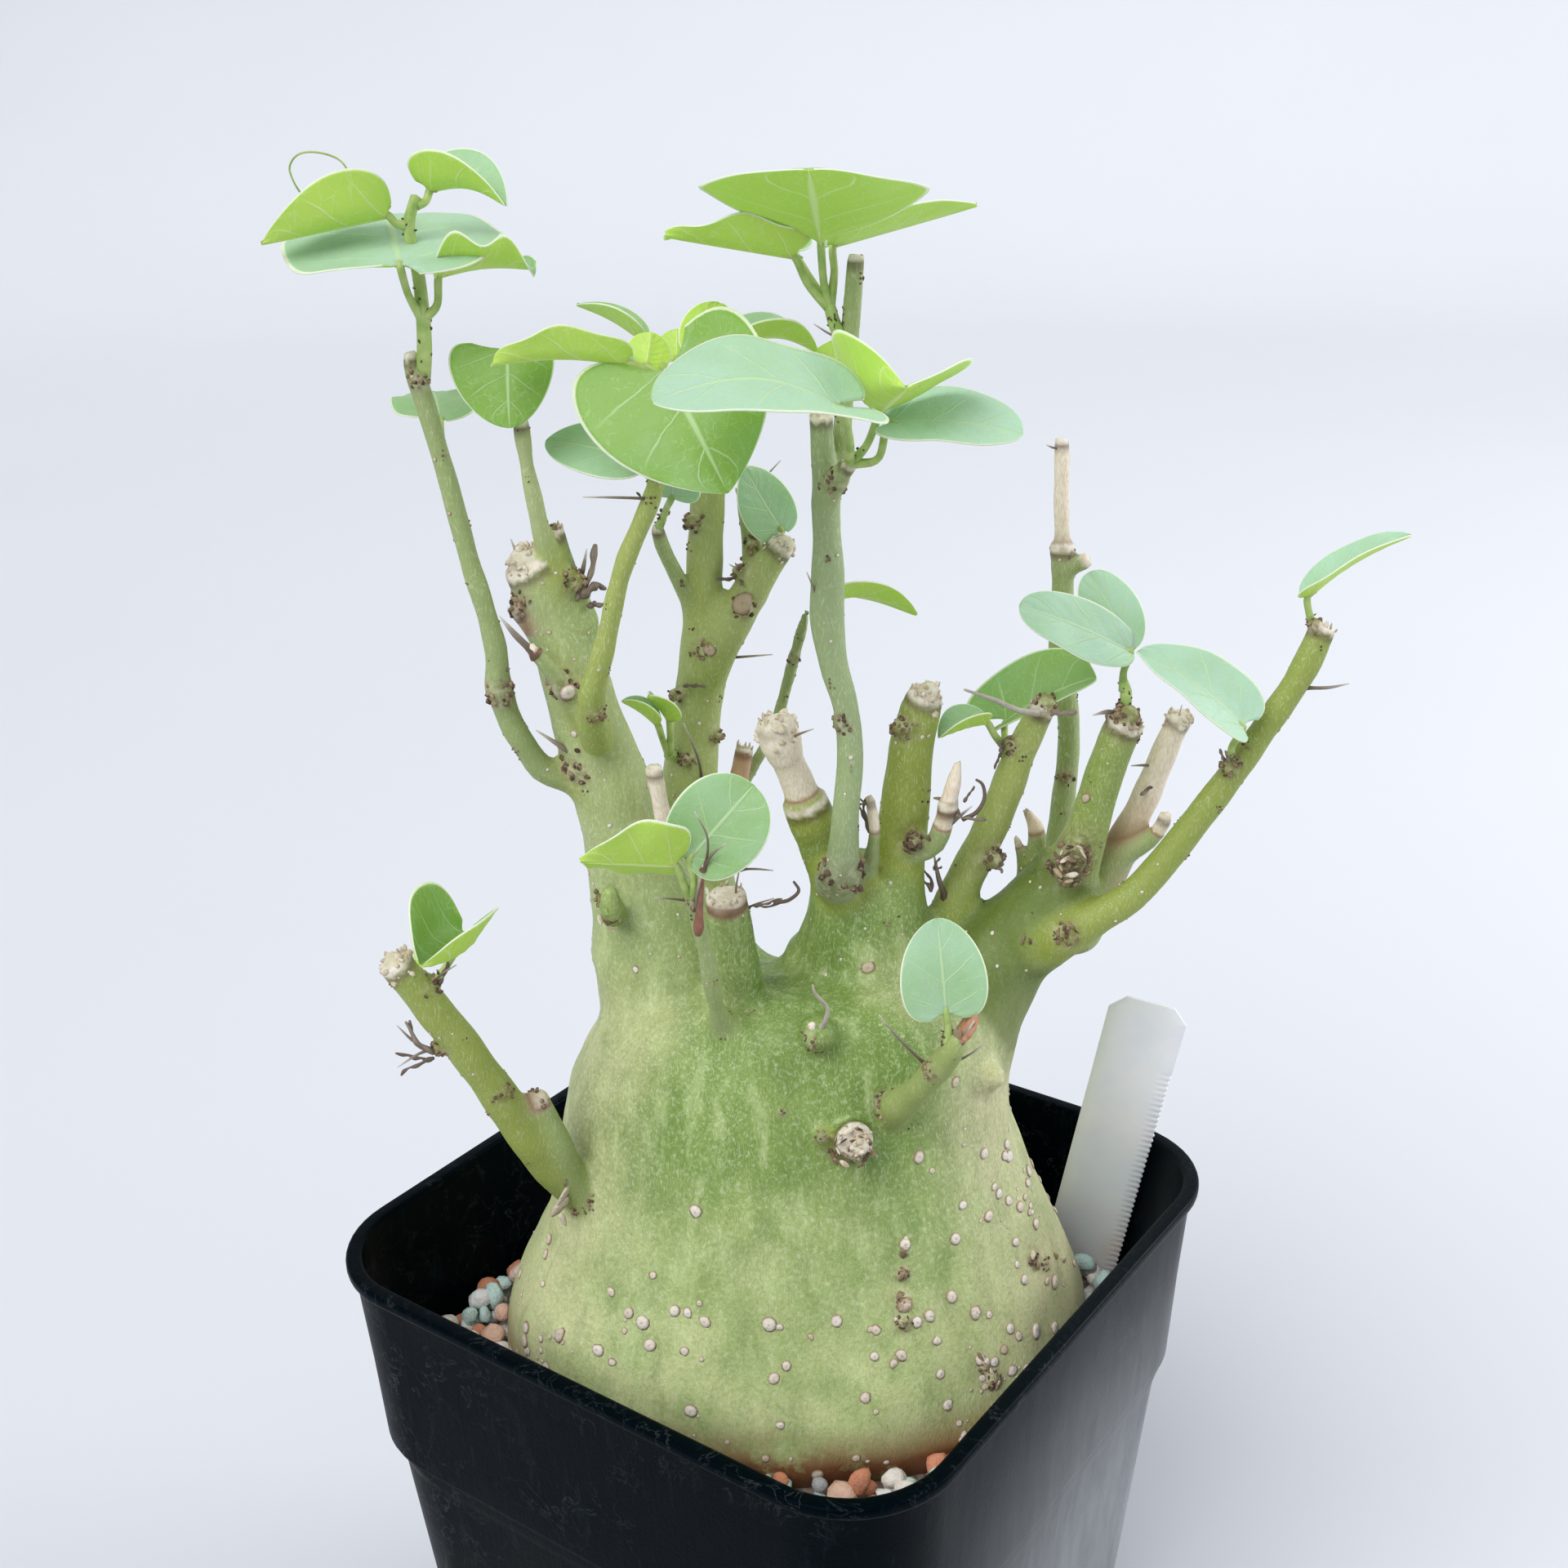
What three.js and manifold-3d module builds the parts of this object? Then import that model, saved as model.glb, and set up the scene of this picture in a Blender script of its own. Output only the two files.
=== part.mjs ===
// Potted caudex plant: a bottle-shaped green trunk with cut back, spiny stems and
// rounded leaves, standing in gravel in a square black nursery pot with a bare label.
// Millimetres, +Z up, origin at the centre of the pot's underside.
import * as THREE from 'three';
import { mergeVertices } from 'three/addons/utils/BufferGeometryUtils.js';
import Module from 'manifold-3d';

const wasm = await Module();
wasm.setup();

// Pot
const potHeight = 150;
const rimHalf = 75;
const rimCorner = 24;
const rimDepth = 2.5;
const collarHalf = 73.4;
const collarCorner = 22;
const stepTop = 104;
const stepBottom = 100;
const stepHalf = 70.3;
const bodyCorner = 27;
const baseHalf = 61.7;
const baseInset = 0.8;
const rimInnerHalf = 71.2;
const rimInnerCorner = 20;
const wall = 1.4;
const floorThickness = 2;
const cornerSteps = 4;
const drainHoleRadius = 4.5;
const drainHoleReach = 38;

// Fill
const seat = 0.3;
const mixTop = 98;
const gravelTop = 117;
const stonePitch = 10.8;
const stoneRadius = 4.4;

// Plant: points are [right, away, up, radius] seen from the plant's front,
// which is turned by plantTurn from the pot's sides
const plantTurn = THREE.MathUtils.degToRad(35.7);
const upAxis = new THREE.Vector3(0, 0, 1);
const bladeThickness = 0.8;
const petioleRadius = 0.9;
const finestRadius = 0.2;

// Label
const labelWidth = 18;
const labelThickness = 0.8;
const labelTop = 188.5;
const labelBottom = 86;
const labelCorner = 3.5;
const labelPoint = 12;
const labelLean = THREE.MathUtils.degToRad(10.5);
const labelTurn = THREE.MathUtils.degToRad(-14);
const labelFoot = [72.5, 25.2, 120];

// Trunk sections: height, centre right, centre away, half width, half depth
const trunkSections = [
  [72, 3, 4, 30, 24],
  [92, 3, 3, 50, 38],
  [106, 3, 3, 61, 48],
  [118, 3, 2.5, 67.5, 54],
  [130, 2.5, 2.5, 65, 52],
  [141, 2.5, 2.5, 60, 47.5],
  [152, 3, 2.5, 55.5, 43],
  [163, 2.5, 2.5, 51.5, 39],
  [174, 1.5, 2.5, 48.5, 36],
  [185, 2.5, 2.5, 47, 33.5],
  [196, 4.5, 2.5, 46.5, 31],
  [203, 5, 2.5, 43, 27],
  [208.5, 5.5, 2.5, 36, 21],
  [211.5, 6, 2.5, 22, 11],
];
const trunkSides = 24;

// Stems, each [sides, steps, points], from the sunk root to the cut end
const stems = {
  leftArm: [10, 8, [[-19, 5, 184, 20], [-23.5, 5, 205, 16.4], [-30, 6, 224, 12], [-33, 5, 240.5, 9.2],
    [-34.5, 4, 252, 8.3], [-37.5, 3, 263.5, 7.3], [-40, 2, 276, 6.6], [-42.5, 2, 286, 6.2],
    [-45.5, 1, 295.5, 5.9], [-47.5, 0, 299, 4.9]]],
  leftArmSpur: [5, 3, [[-39.5, 2, 288, 3.6], [-40.5, 2, 296, 2.9], [-42, 2, 301, 2.1], [-43, 2, 305.5, 1.5]]],
  leftTopStem: [5, 4, [[-42, -1, 295, 2.4], [-43.5, -3, 304, 1.9], [-44.5, -4, 310.5, 1.6],
    [-45.5, -5, 319.5, 1.4], [-46, -6, 328, 1.4]]],
  leftLongStem: [6, 12, [[-35, 3, 249, 3.4], [-40.5, 2, 252, 3.3], [-47, 0, 255.5, 2.7], [-50.5, -2, 262, 2.4],
    [-53, -3, 268.5, 2.4], [-54, -4, 274, 2.7], [-54, -5, 282, 2.1], [-55.5, -6, 292, 2], [-57.5, -6, 300.5, 1.9],
    [-59, -6, 308.5, 1.9], [-62, -6, 324, 1.8], [-63.5, -6, 331, 1.9], [-65, -6, 337, 1.7], [-65.5, -6, 340.5, 1.2]]],
  leftFrontStem: [6, 8, [[-35, -6, 264, 3.4], [-35.5, -11, 271, 2.9], [-34, -14, 278.5, 2.4], [-31.5, -15, 287, 2],
    [-27, -16, 302.5, 1.8], [-21, -16, 316, 1.7], [-18, -13, 327.5, 1.5], [-16.5, -12, 335, 1.3]]],
  leftSpur: [5, 4, [[-38, -2, 266, 3.8], [-41, -5, 272, 3.2], [-44, -6, 278, 2.7], [-47.5, -7, 283.5, 2],
    [-49.5, -8, 287, 1.3], [-52, -8, 290, 0.6]]],
  leftKnob: [5, 2, [[-43, 2, 281, 2.6], [-46, 1, 285, 2.4], [-50, -1, 290, 1.9]]],
  backArm: [8, 6, [[-16, 16, 188, 13], [-17.5, 22, 199, 11], [-18.5, 24, 224.5, 8.3], [-18.5, 25, 243.5, 6.2],
    [-16.5, 26, 258.5, 4.9], [-14.5, 27, 282, 4], [-13, 28, 302.5, 3.6], [-11.5, 28, 312, 3.5]]],
  backArmFork: [6, 4, [[-15, 26, 264, 4], [-9.5, 24, 276.5, 4.1], [-6, 24, 282.5, 3.9], [-2.5, 24, 288.5, 3.6],
    [2.5, 24, 295, 2.7]]],
  backArmTwin: [5, 2, [[-3.5, 26, 284, 2.2], [-4, 30, 295, 2.2], [-4.5, 31, 304.5, 2.1]]],
  backArmTwig: [4, 3, [[-15.5, 26.5, 279, 2], [-20, 22, 290.5, 1.6], [-22.5, 19, 298, 1.5], [-23, 18, 301.5, 1.3]]],
  backRidge: [6, 2, [[10, 18, 192, 7], [-2.5, 25, 201, 5.4], [-14, 24, 214, 5]]],
  backShoot: [4, 5, [[-16, 26, 226, 1.6], [-8, 33, 237, 1.4], [0, 38, 250, 1.2], [2.5, 39, 257.5, 1.3],
    [4.5, 39, 265, 1.2], [6, 38, 271, 1.2], [7.5, 36, 277, 0.8]]],
  backStub: [5, 2, [[-12, 26, 230, 2.2], [-8, 30, 241, 2.1], [-6.5, 31, 248, 1.9]]],
  greyStub: [5, 2, [[-22, -1, 236, 2], [-22.5, -7, 247, 1.7], [-24, -9, 259, 1.6]]],
  middleArm: [10, 3, [[19, 4, 186, 22], [19, 4, 201, 18], [19, 3, 213, 14.4], [19, 2, 224, 11.2], [19, 2, 232, 8.6]]],
  middleLeftFork: [6, 3, [[17, 2, 222, 7.4], [15, 2, 227, 6.9], [10.5, 2, 235.5, 5.3], [6.2, 1, 247, 4.2]]],
  middleLeftCork: [6, 4, [[7.5, 1, 243, 3.7], [4.5, 0, 252, 3.5], [2.7, -1, 257, 3.4], [1.5, -2, 261, 4.3],
    [0, -2, 266, 3.4]]],
  middleRightFork: [7, 5, [[23, 2, 220, 7], [26, 2, 237, 5.4], [27, 1, 248.5, 5], [28, 0, 258.5, 4.5],
    [29.5, -1, 266.5, 4.1], [30.7, -2, 271, 3.3]]],
  tallStem: [6, 10, [[13, -4, 231, 5], [13, -11, 236, 4.4], [13.5, -13, 241, 3.3], [14, -14, 249.5, 2.7],
    [15, -13, 262, 2.6], [14, -12, 273, 2.5], [12, -11, 280, 2.8], [11, -10, 287, 3.3], [11, -10, 301.5, 2.9],
    [10.5, -10, 318, 2.4], [10, -10, 328.5, 2.1]]],
  tallStemTwin: [5, 5, [[11.2, -9, 308, 1.6], [13.5, -6, 319.5, 1.7], [14.5, -4, 328.5, 1.8], [15.5, -3, 337, 1.7],
    [16, -2, 344.5, 1.7], [17, -2, 356, 1.5]]],
  tallStemSpur: [5, 2, [[11, -11, 312, 1.9], [13.5, -15, 318.5, 1.8], [15.5, -17, 321, 1.5]]],
  middleSideShoot: [5, 3, [[27, -1, 236, 2.6], [32, -5, 239, 2.2], [34, -7, 244.5, 2], [35, -8, 249.5, 1.8]]],
  middleSideTip: [5, 2, [[34.9, -8, 249, 1.7], [36, -8, 254.5, 1.4], [37, -8, 260, 0.4]]],
  middleTwig: [4, 2, [[19, -5, 233, 2], [20, -9, 244, 1.2], [19, -9, 252, 0.9]]],
  rightSlimStem: [6, 6, [[31, 7, 203, 6], [35, 8, 211.5, 5.3], [39, 8, 223, 4.1], [44, 8, 234, 3.8],
    [48, 8, 244.5, 3.5], [51, 8, 253.5, 3.2], [55.5, 8, 264, 2.8]]],
  rightBackStem: [6, 7, [[59, 14, 212, 4], [62.5, 27, 223, 2.9], [64.5, 31, 239.5, 2.5], [65, 32, 249, 2.4],
    [64, 32, 258.5, 2.4], [62.5, 32, 269.5, 2.5], [62.5, 32, 279, 2.5], [62, 32, 292, 2.3]]],
  rightBackStick: [5, 2, [[62, 32, 291, 1.8], [61.5, 32, 302, 1.6], [61, 32, 315, 1.5]]],
  rightBackBud: [4, 2, [[62.5, 32, 287, 1.7], [65, 30.5, 288, 1.6], [67, 29, 289.5, 1.7]]],
  rightArm: [10, 4, [[33, 1, 180, 20], [41, 2, 195, 15.6], [48.5, 3, 208.5, 11.6], [55.5, 4, 218.5, 9.2],
    [62, 4, 229, 7]]],
  rightFork: [6, 4, [[60, 4, 222, 6.6], [65, 3, 239.5, 4.4], [67.5, 2, 250, 4], [70, 1, 259.5, 3.9],
    [71.5, 0, 263.5, 3.8]]],
  rightDryStem: [6, 5, [[64, 7, 214, 5], [68.5, 10, 220.5, 4.4], [75.5, 10, 236.5, 2.8], [78.5, 9, 245, 2.6],
    [82.5, 8, 257.5, 2.4], [84, 8, 262, 2.4]]],
  rightDrySpur: [5, 3, [[73, 9.5, 229, 2.8], [77, 4, 234, 1.9], [79, 2, 235.5, 1.7], [80.5, 1, 239.5, 1.2]]],
  rightLongStem: [6, 9, [[54, -1, 215, 6], [60, -4, 218.5, 5.1], [66.5, -6, 223, 3.7], [73, -6, 227.5, 3.2],
    [79.5, -5, 234.5, 3.1], [85.5, -4, 242.5, 3], [95.5, -2, 256.5, 2.8], [105, 0, 271, 2.7], [108, 1, 277, 2.8],
    [110, 2, 282, 2.7]]],
  rightStub: [5, 3, [[54, 10, 215, 3], [55.5, 14, 225, 2.1], [56, 14, 234, 1.8], [53, 14, 239.5, 0.4]]],
  rightHook: [4, 3, [[54, 10, 216, 2], [53.5, 12, 224.5, 1.5], [52.2, 12, 231, 0.9], [50.5, 12, 234.5, 0.4]]],
  lowLeftBranch: [6, 5, [[-37, -8, 157, 6], [-44, -13, 164, 5], [-51.5, -20, 179.5, 4.3], [-57.5, -24, 194, 3.8],
    [-67.5, -29, 216, 3.4], [-74, -32, 228.5, 3.3]]],
  lowLeftSpur: [5, 2, [[-43, -16, 170, 3.2], [-45.5, -18, 179, 2.8], [-49, -20, 191, 1.4]]],
  lowMiddleShoot: [5, 4, [[-10, -14, 201, 3], [-12, -22, 209.5, 2.5], [-13, -26, 218.5, 1.9], [-14, -29, 229, 1.7],
    [-16.5, -31, 241.5, 1.2]]],
  lowMiddleStub: [6, 2, [[-8, -4, 195, 9], [-8.3, -11, 208, 6.2], [-9, -14, 221, 4.7], [-10, -16, 234, 4.1]]],
  lowRightShoot: [6, 3, [[21, -20, 178, 4.2], [24, -28, 189, 3.7], [27.5, -36, 200, 3.1], [31.5, -44, 213, 2.4],
    [32.5, -46, 216.5, 1.8]]],
  frontScar: [6, 2, [[14, -24, 183, 4], [15.3, -33.5, 187.5, 3.4]]],
  frontScarSpur: [4, 2, [[11, -26, 184, 2], [7.6, -33, 189, 1.3]]],
  frontKnob: [6, 2, [[8, -17, 204, 4.2], [7.7, -24.5, 208.5, 3.4]]],
  flankKnob: [5, 2, [[40, -11, 189, 3], [44.5, -16.5, 191.5, 1.8]]],
};

// Spines and dead twigs: root, tip, radius at the root
const spines = [
  [[-13, 26, 270], [0, 22, 272], 0.8],
  [[-16, 22, 243], [-18.5, 8, 262], 0.8],
  [[-15, -28, 238], [-23, -34, 242], 0.6],
  [[-8, -15, 230], [-7, -16, 240.5], 0.6],
  [[-7, -16, 239.5], [-0.5, -18, 240], 0.6],
  [[56, 7, 264], [38.5, -2, 271.5], 0.8],
  [[29.5, -40, 207], [19, -46, 222.5], 0.7],
  [[32, -44, 210.5], [39, -46, 216], 0.6],
  [[106, 0, 270], [114.5, -4, 272], 0.9],
  [[-68, -29, 221], [-61.5, -35, 229], 0.7],
  [[-66, -28, 207], [-74.5, -36, 207.5], 0.8],
  [[-20.5, -16, 314.5], [-33.5, -22, 316.5], 0.7],
  [[-6, 30, 304], [2.5, 28, 312], 0.7],
  [[15, -3, 341], [9, -8, 344.5], 0.6],
  [[70, 0, 265], [64, -3, 266], 1.3],
  [[61, 32, 312.5], [57.5, 29, 314], 0.6],
  [[-4, 25, 288], [-8.5, 21, 292], 1],
  [[2, -3, 261.5], [8, -8, 266], 0.7],
  [[-7, -13, 229], [-0.5, -16, 233], 0.6],
  [[-38, 1, 293], [-35.5, -1, 301.5], 1.3],
  [[-38, 0, 257], [-47.5, -3, 265], 1.6],
  [[36, 6, 222], [33, 3, 234], 1.5],
  [[34, -7, 243], [39.5, -9.5, 249.5], 1.2],
  [[-14, -28, 230], [-13.5, -36, 249.5], 1.1],
  [[-13.5, -35.5, 248], [-14.5, -40, 262], 0.6],
  [[-13.7, -35.5, 248], [-9, -40, 255.5], 0.7],
  [[-68, -29, 207], [-75, -31, 214], 0.9],
  [[80, 9, 251], [83.5, 5, 265], 0.8],
  [[80, 9, 250], [74, 6, 251.5], 0.8],
  [[9.5, -10.5, 291], [7, -14, 299.5], 0.6],
  [[-47.5, 0, 297], [-50, -2, 304], 1],
  [[-49, -15, 168], [-43, -19, 178], 2.2],
  [[33, -46, 214], [36.5, -49, 222.5], 1.7],
];

// Scabs, node scars and cork cut ends: centre, radius
const scabs = [
  [[-38, -1, 295], 2.8], [[-48, -2, 293], 1.9], [[-49.5, -2, 290.5], 2.1], [[-42, -6, 275.5], 2.8],
  [[-34, -13, 272], 1.7], [[-16.5, 25, 300], 2.2], [[-21, 22, 263.5], 2.2], [[-12, 23, 253.5], 1.8],
  [[-6.5, 23, 290], 2.2], [[-3, 28, 294], 2.2], [[-14, 23, 273], 2.2], [[-5.5, 20.5, 283], 2.2],
  [[13, -14, 317], 2], [[-64, -7, 335.5], 1.8], [[13, -13.5, 269], 1.8], [[25.5, -4, 264.5], 2.7],
  [[28, -5.5, 240.5], 2.8], [[46, 4.5, 231.5], 3], [[61, -2.5, 234.5], 4.6], [[64, 29.5, 240], 1.8],
  [[91.5, -4.5, 255], 2], [[108, 1, 283], 1.8], [[71, -1, 265], 3.6], [[48.5, 6.5, 256.5], 2],
  [[-56.5, -26, 195.5], 1.8], [[-68, -29, 207.5], 2], [[-68, -29.5, 222.5], 2.2], [[29.5, -43, 209], 1.5],
  [[-15.8, -31, 240.5], 1.7], [[60, -8, 220], 2.4], [[-37, -7, 231.5], 3.6], [[-48, -1, 299.5], 4.8],
  [[0.8, -3, 264], 4.4], [[31, -3, 271.5], 3.2], [[56, 7.5, 265], 2.8], [[-74, -32.3, 228.5], 3],
  [[3, 23.5, 295.5], 2.5], [[84, 7.5, 261.5], 2.5], [[-19, 19, 249.5], 1.8], [[-39.5, -1, 256], 3],
  [[-54, -4.6, 274], 2.8], [[15.4, -34, 187.8], 3], [[13, -11, 236], 4.8],
];

// Leaves: base, tip, width, facing of the upper side, and where they differ from
// leafDefaults the fold of the left and right half in degrees, the rise of the
// midrib and the reach of the back lobes as shares of the length, the wave of the
// edge in millimetres, and how sharply the tip narrows
const leafDefaults = { fold: [5, 5], arch: 0.05, wave: 0, lobe: 0.1, point: 0.6 };

// Leafy shoots: the woody or green stalks in front, then each leaf with its petiole
const shoots = {
  leafy_shoot_left_top: {
    stalks: [[5, 5, [[-63.5, -6, 336, 1.5], [-62.5, -7, 342, 1.4], [-62.5, -7, 354, 1.2], [-63.5, -7, 363, 1.1],
      [-62, -6, 368, 0.9]]]],
    tendril: [[-72, -10, 371], [-74, -10, 374.5], [-78.5, -10, 376], [-81.5, -10, 375.5], [-83, -10, 373.5],
      [-82.5, -10, 371], [-81, -9.5, 368]],
    leaves: [
      { petiole: [[-63.5, -7, 363], [-65.5, -8, 363.5]], base: [-67, -8, 365], tip: [-88.5, -14, 361], width: 22,
        face: [0, 0.3, 1], fold: [58, 55], arch: 0, point: 0.75 },
      { petiole: [[-62.5, -7, 346.5], [-64, -10, 351]], base: [-64, -16, 357], tip: [-72.5, 18, 363], width: 40,
        face: [0, -0.2, 1], fold: [-4, -4], wave: 1 },
      { petiole: [[-62.5, -7, 346.5], [-59.5, -8, 349]], base: [-58.5, -8, 354.5], tip: [-41.5, -6, 355], width: 19,
        face: [0, 0, 1], fold: [25, 50], arch: 0.06, wave: 1.5, point: 0.7 },
      { petiole: [[-62, -6, 366.5], [-60.5, -5, 367]], base: [-59.5, -4, 369], tip: [-45.5, -10, 366.5], width: 17,
        face: [-0.2, 0.2, 1], fold: [62, 52], arch: 0.12, lobe: 0.3, point: 0.8 },
    ],
  },
  leaf_left_behind: {
    leaves: [
      { petiole: [[-61.5, -5, 322], [-62.5, 2, 324]], base: [-63.5, 8, 325.5], tip: [-67.5, 26, 327.5], width: 18,
        face: [0, -0.1, 1], fold: [8, 8], wave: 0.5 },
    ],
  },
  leaf_left_hanging: {
    leaves: [
      { petiole: [[-46, -6, 326], [-46.5, -4, 334]], base: [-47.5, -5, 340.5], tip: [-47.5, -10, 327.5], width: 18,
        face: [0, -1, 0.3], fold: [-12, -12], lobe: 0.25 },
    ],
  },
  leafy_shoot_centre_left: {
    stalks: [[5, 2, [[-17, -12.5, 332, 1.5], [-16.7, -12, 336, 1.6]]]],
    leaves: [
      { petiole: [[-17, -12, 335], [-21, -15, 337.5]], base: [-25, -16, 339.5], tip: [-49, -16, 339.5], width: 15,
        face: [0, 0.15, 1], fold: [58, 35], wave: 0.6 },
      { petiole: [[-17, -12, 335], [-20, -4, 338]], base: [-23.5, 4, 341], tip: [-35.5, 6, 347], width: 12,
        face: [0.2, 0.2, 1], fold: [20, 40], point: 0.8 },
      { petiole: [[-17, -12, 335], [-20, -10, 336.5]], base: [-22, -8, 337.5], tip: [-21, -4, 343], width: 8.5,
        face: [0, 1, 0.2], point: 0.5 },
      { petiole: [[-16.5, -12, 335], [-16.5, -4, 335.5]], base: [-17, 6, 336.5], tip: [-17, 10, 341.5], width: 8,
        face: [0, 1, 0.2], point: 0.5 },
      { petiole: [[-16.5, -12, 335], [-14, -4, 335]], base: [-12, 4, 336.5], tip: [-8.5, 8, 346.5], width: 12,
        face: [0, 1, 0.2], point: 0.5 },
      { petiole: [[-16.5, -12, 335], [-11, -4, 336.5]], base: [-5.5, 2, 340], tip: [9.5, 6, 337.5], width: 16,
        face: [0, -0.3, 1], fold: [10, 60], arch: 0.14 },
      { petiole: [[-16.5, -12, 334], [-18, -16, 337.5]], base: [-18, -18, 338.5], tip: [-7, -30, 318.5], width: 33,
        face: [0, -1, 0.6], fold: [-8, -12], arch: 0.06, lobe: 0.3 },
    ],
  },
  leaf_centre_left_low: {
    leaves: [
      { petiole: [[-20.8, -16, 317], [-22, -12, 318.5]], base: [-23, -6, 319], tip: [-42.5, 4, 321.5], width: 13,
        face: [0, -0.8, 1], fold: [0, 8], lobe: 0.08 },
    ],
  },
  leaf_centre_left_small: {
    leaves: [
      { petiole: [[-22.7, 18.5, 300.5], [-20.5, 13, 306]], base: [-19, 8, 309.5], tip: [-17, 4, 318], width: 11,
        face: [0, -1, 0.5], point: 0.8 },
    ],
  },
  leaf_centre_hanging: {
    leaves: [
      { petiole: [[-3.8, 29, 291], [0, 26, 294]], base: [2.5, 26, 297.5], tip: [-5, 22, 312], width: 12,
        face: [0.3, -1, 0.4], arch: -0.05, point: 0.7 },
    ],
  },
  leafy_shoot_centre_top: {
    stalks: [[5, 2, [[15.8, -3, 338, 1.3], [13, -3, 343.5, 1.2], [12, -2, 347, 1.1]]]],
    leaves: [
      { petiole: [[12, -2, 346.5], [11, -2, 351]], base: [10.5, -2, 358], tip: [8.5, -26, 372.5], width: 41,
        face: [0, 0.2, 1], fold: [14, 14], arch: 0, lobe: 0.16, point: 0.8, wing: 1.35 },
      { petiole: [[12, -2, 346.5], [13, 0, 352.5]], base: [13, 2, 357.5], tip: [40, 8, 363.5], width: 18,
        face: [0, 0.12, 1], fold: [8, 30], arch: 0, point: 0.8 },
      { petiole: [[12, -2, 346.5], [8, -2, 351]], base: [5.5, -2, 356], tip: [-17.5, -8, 360.5], width: 16,
        face: [0, 0.25, 1], fold: [45, 20], arch: 0, wave: 0.8, lobe: 0.15, point: 0.75 },
      { petiole: [[12, -2, 346.5], [8.5, 3, 351.5]], base: [5.5, 6, 356], tip: [3.5, 18, 359], width: 9,
        face: [0, -0.6, 1], arch: 0 },
    ],
  },
  leaf_centre_top_low: {
    leaves: [
      { petiole: [[14.6, -4, 330], [15, 2, 330.5]], base: [14.5, 6, 331.5], tip: [13, 12, 338.5], width: 14,
        face: [0, 1, 0.2], arch: 0, point: 0.5 },
    ],
  },
  leafy_shoot_centre_front: {
    leaves: [
      { petiole: [[15, -16.5, 320.5], [18, -18, 324]], base: [20.5, -19, 330.5], tip: [24, -36, 337.5], width: 34,
        face: [-0.2, 0.5, 1], fold: [42, 50], arch: 0 },
      { petiole: [[15, -16.5, 320.5], [20, -18, 321.5]], base: [23.5, -20, 325.5], tip: [45.5, -24, 329], width: 16,
        face: [0, -0.7, 1], fold: [4, -6], point: 0.5 },
      { petiole: [[15, -16.5, 320.5], [14.5, -27, 328]], base: [12.5, -36, 334.5], tip: [-18.5, -48, 338], width: 26,
        face: [0, -0.4, 1], fold: [8, 6], arch: 0.14, lobe: 0.3, point: 0.55 },
    ],
  },
  leaf_centre_behind: {
    leaves: [
      { petiole: [[10.5, -9, 290], [11, -3, 290.5]], base: [11.5, 0, 290.5], tip: [29.5, 8, 284.5], width: 9,
        face: [0, 0.6, 1], fold: [10, 25], arch: 0.1, point: 0.75 },
    ],
  },
  leafy_shoot_back_arm: {
    stalks: [[4, 2, [[-20.5, 22, 249, 1.6], [-22.7, 19.5, 251, 1.3]]]],
    leaves: [
      { petiole: [[-22.5, 20, 250.5], [-23.5, 16, 255.5]], base: [-24.5, 14, 260], tip: [-31.5, 14, 265], width: 9,
        face: [0, 0, 1], fold: [45, 30] },
      { petiole: [[-22.5, 20, 250.5], [-22, 17, 255]], base: [-22, 16, 260], tip: [-26, 12, 266.5], width: 9,
        face: [0, 0, 1], fold: [20, 35] },
    ],
  },
  leafy_shoot_low_middle: {
    stalks: [[4, 2, [[-15.6, -29.5, 237, 1.1], [-16.5, -31, 241, 1.1]]]],
    leaves: [
      { petiole: [[-16.3, -31, 240], [-15.5, -33, 244.5]], base: [-14.5, -34, 248.5], tip: [-1.5, -31, 262.5],
        width: 18.5, face: [0, -1, 0.35], fold: [6, 6], lobe: 0.14, point: 0.45 },
      { petiole: [[-16.3, -31, 240], [-17.5, -33, 244.5]], base: [-18.5, -34, 248], tip: [-36, -38, 251.5], width: 19,
        face: [0, 0.9, 1], fold: [10, 50], arch: 0, wave: 0.5, lobe: 0.14, point: 0.85 },
    ],
  },
  leaf_low_left: {
    leaves: [
      { petiole: [[-67.5, -29, 221.5], [-65.5, -30, 226]], base: [-66, -30, 227.5], tip: [-59, -40, 245.5], width: 20,
        face: [0.2, 0.9, 0.4], fold: [48, 50], arch: 0, point: 0.8 },
    ],
  },
  leaf_low_right: {
    leaves: [
      { petiole: [[32, -45, 215], [32, -46, 220]], base: [31.5, -46.5, 223], tip: [30, -42, 240.5], width: 16.5,
        face: [0, -1, 0.25], fold: [6, 6], lobe: 0.08, point: 0.4 },
    ],
  },
  leafy_shoot_right_slim: {
    stalks: [[4, 2, [[50.5, 8, 254.5, 1.6], [47.6, 7, 256, 1.4]]]],
    leaves: [
      { petiole: [[48, 7.5, 255.5], [45.5, 5, 259]], base: [43.5, 4, 262.5], tip: [33.5, 0, 261], width: 12,
        face: [0, -0.2, 1], fold: [60, 20], point: 0.7 },
      { petiole: [[48, 7.5, 255.5], [48, 6, 259]], base: [48.5, 5, 261.5], tip: [65, -2, 275], width: 16,
        face: [0, -1, 0.5], fold: [6, 10], arch: 0.1, lobe: 0.35, point: 0.42 },
    ],
  },
  leaf_right_fork: {
    stalks: [[4, 2, [[70.5, 0, 262, 1.4], [71, 0, 269.5, 1.2], [70.3, 0, 272, 1]]]],
    leaves: [
      { petiole: [[70.5, 0, 270], [70.3, 0, 274]], base: [71.5, 0, 278], tip: [48, -8, 290.5], width: 12,
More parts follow.
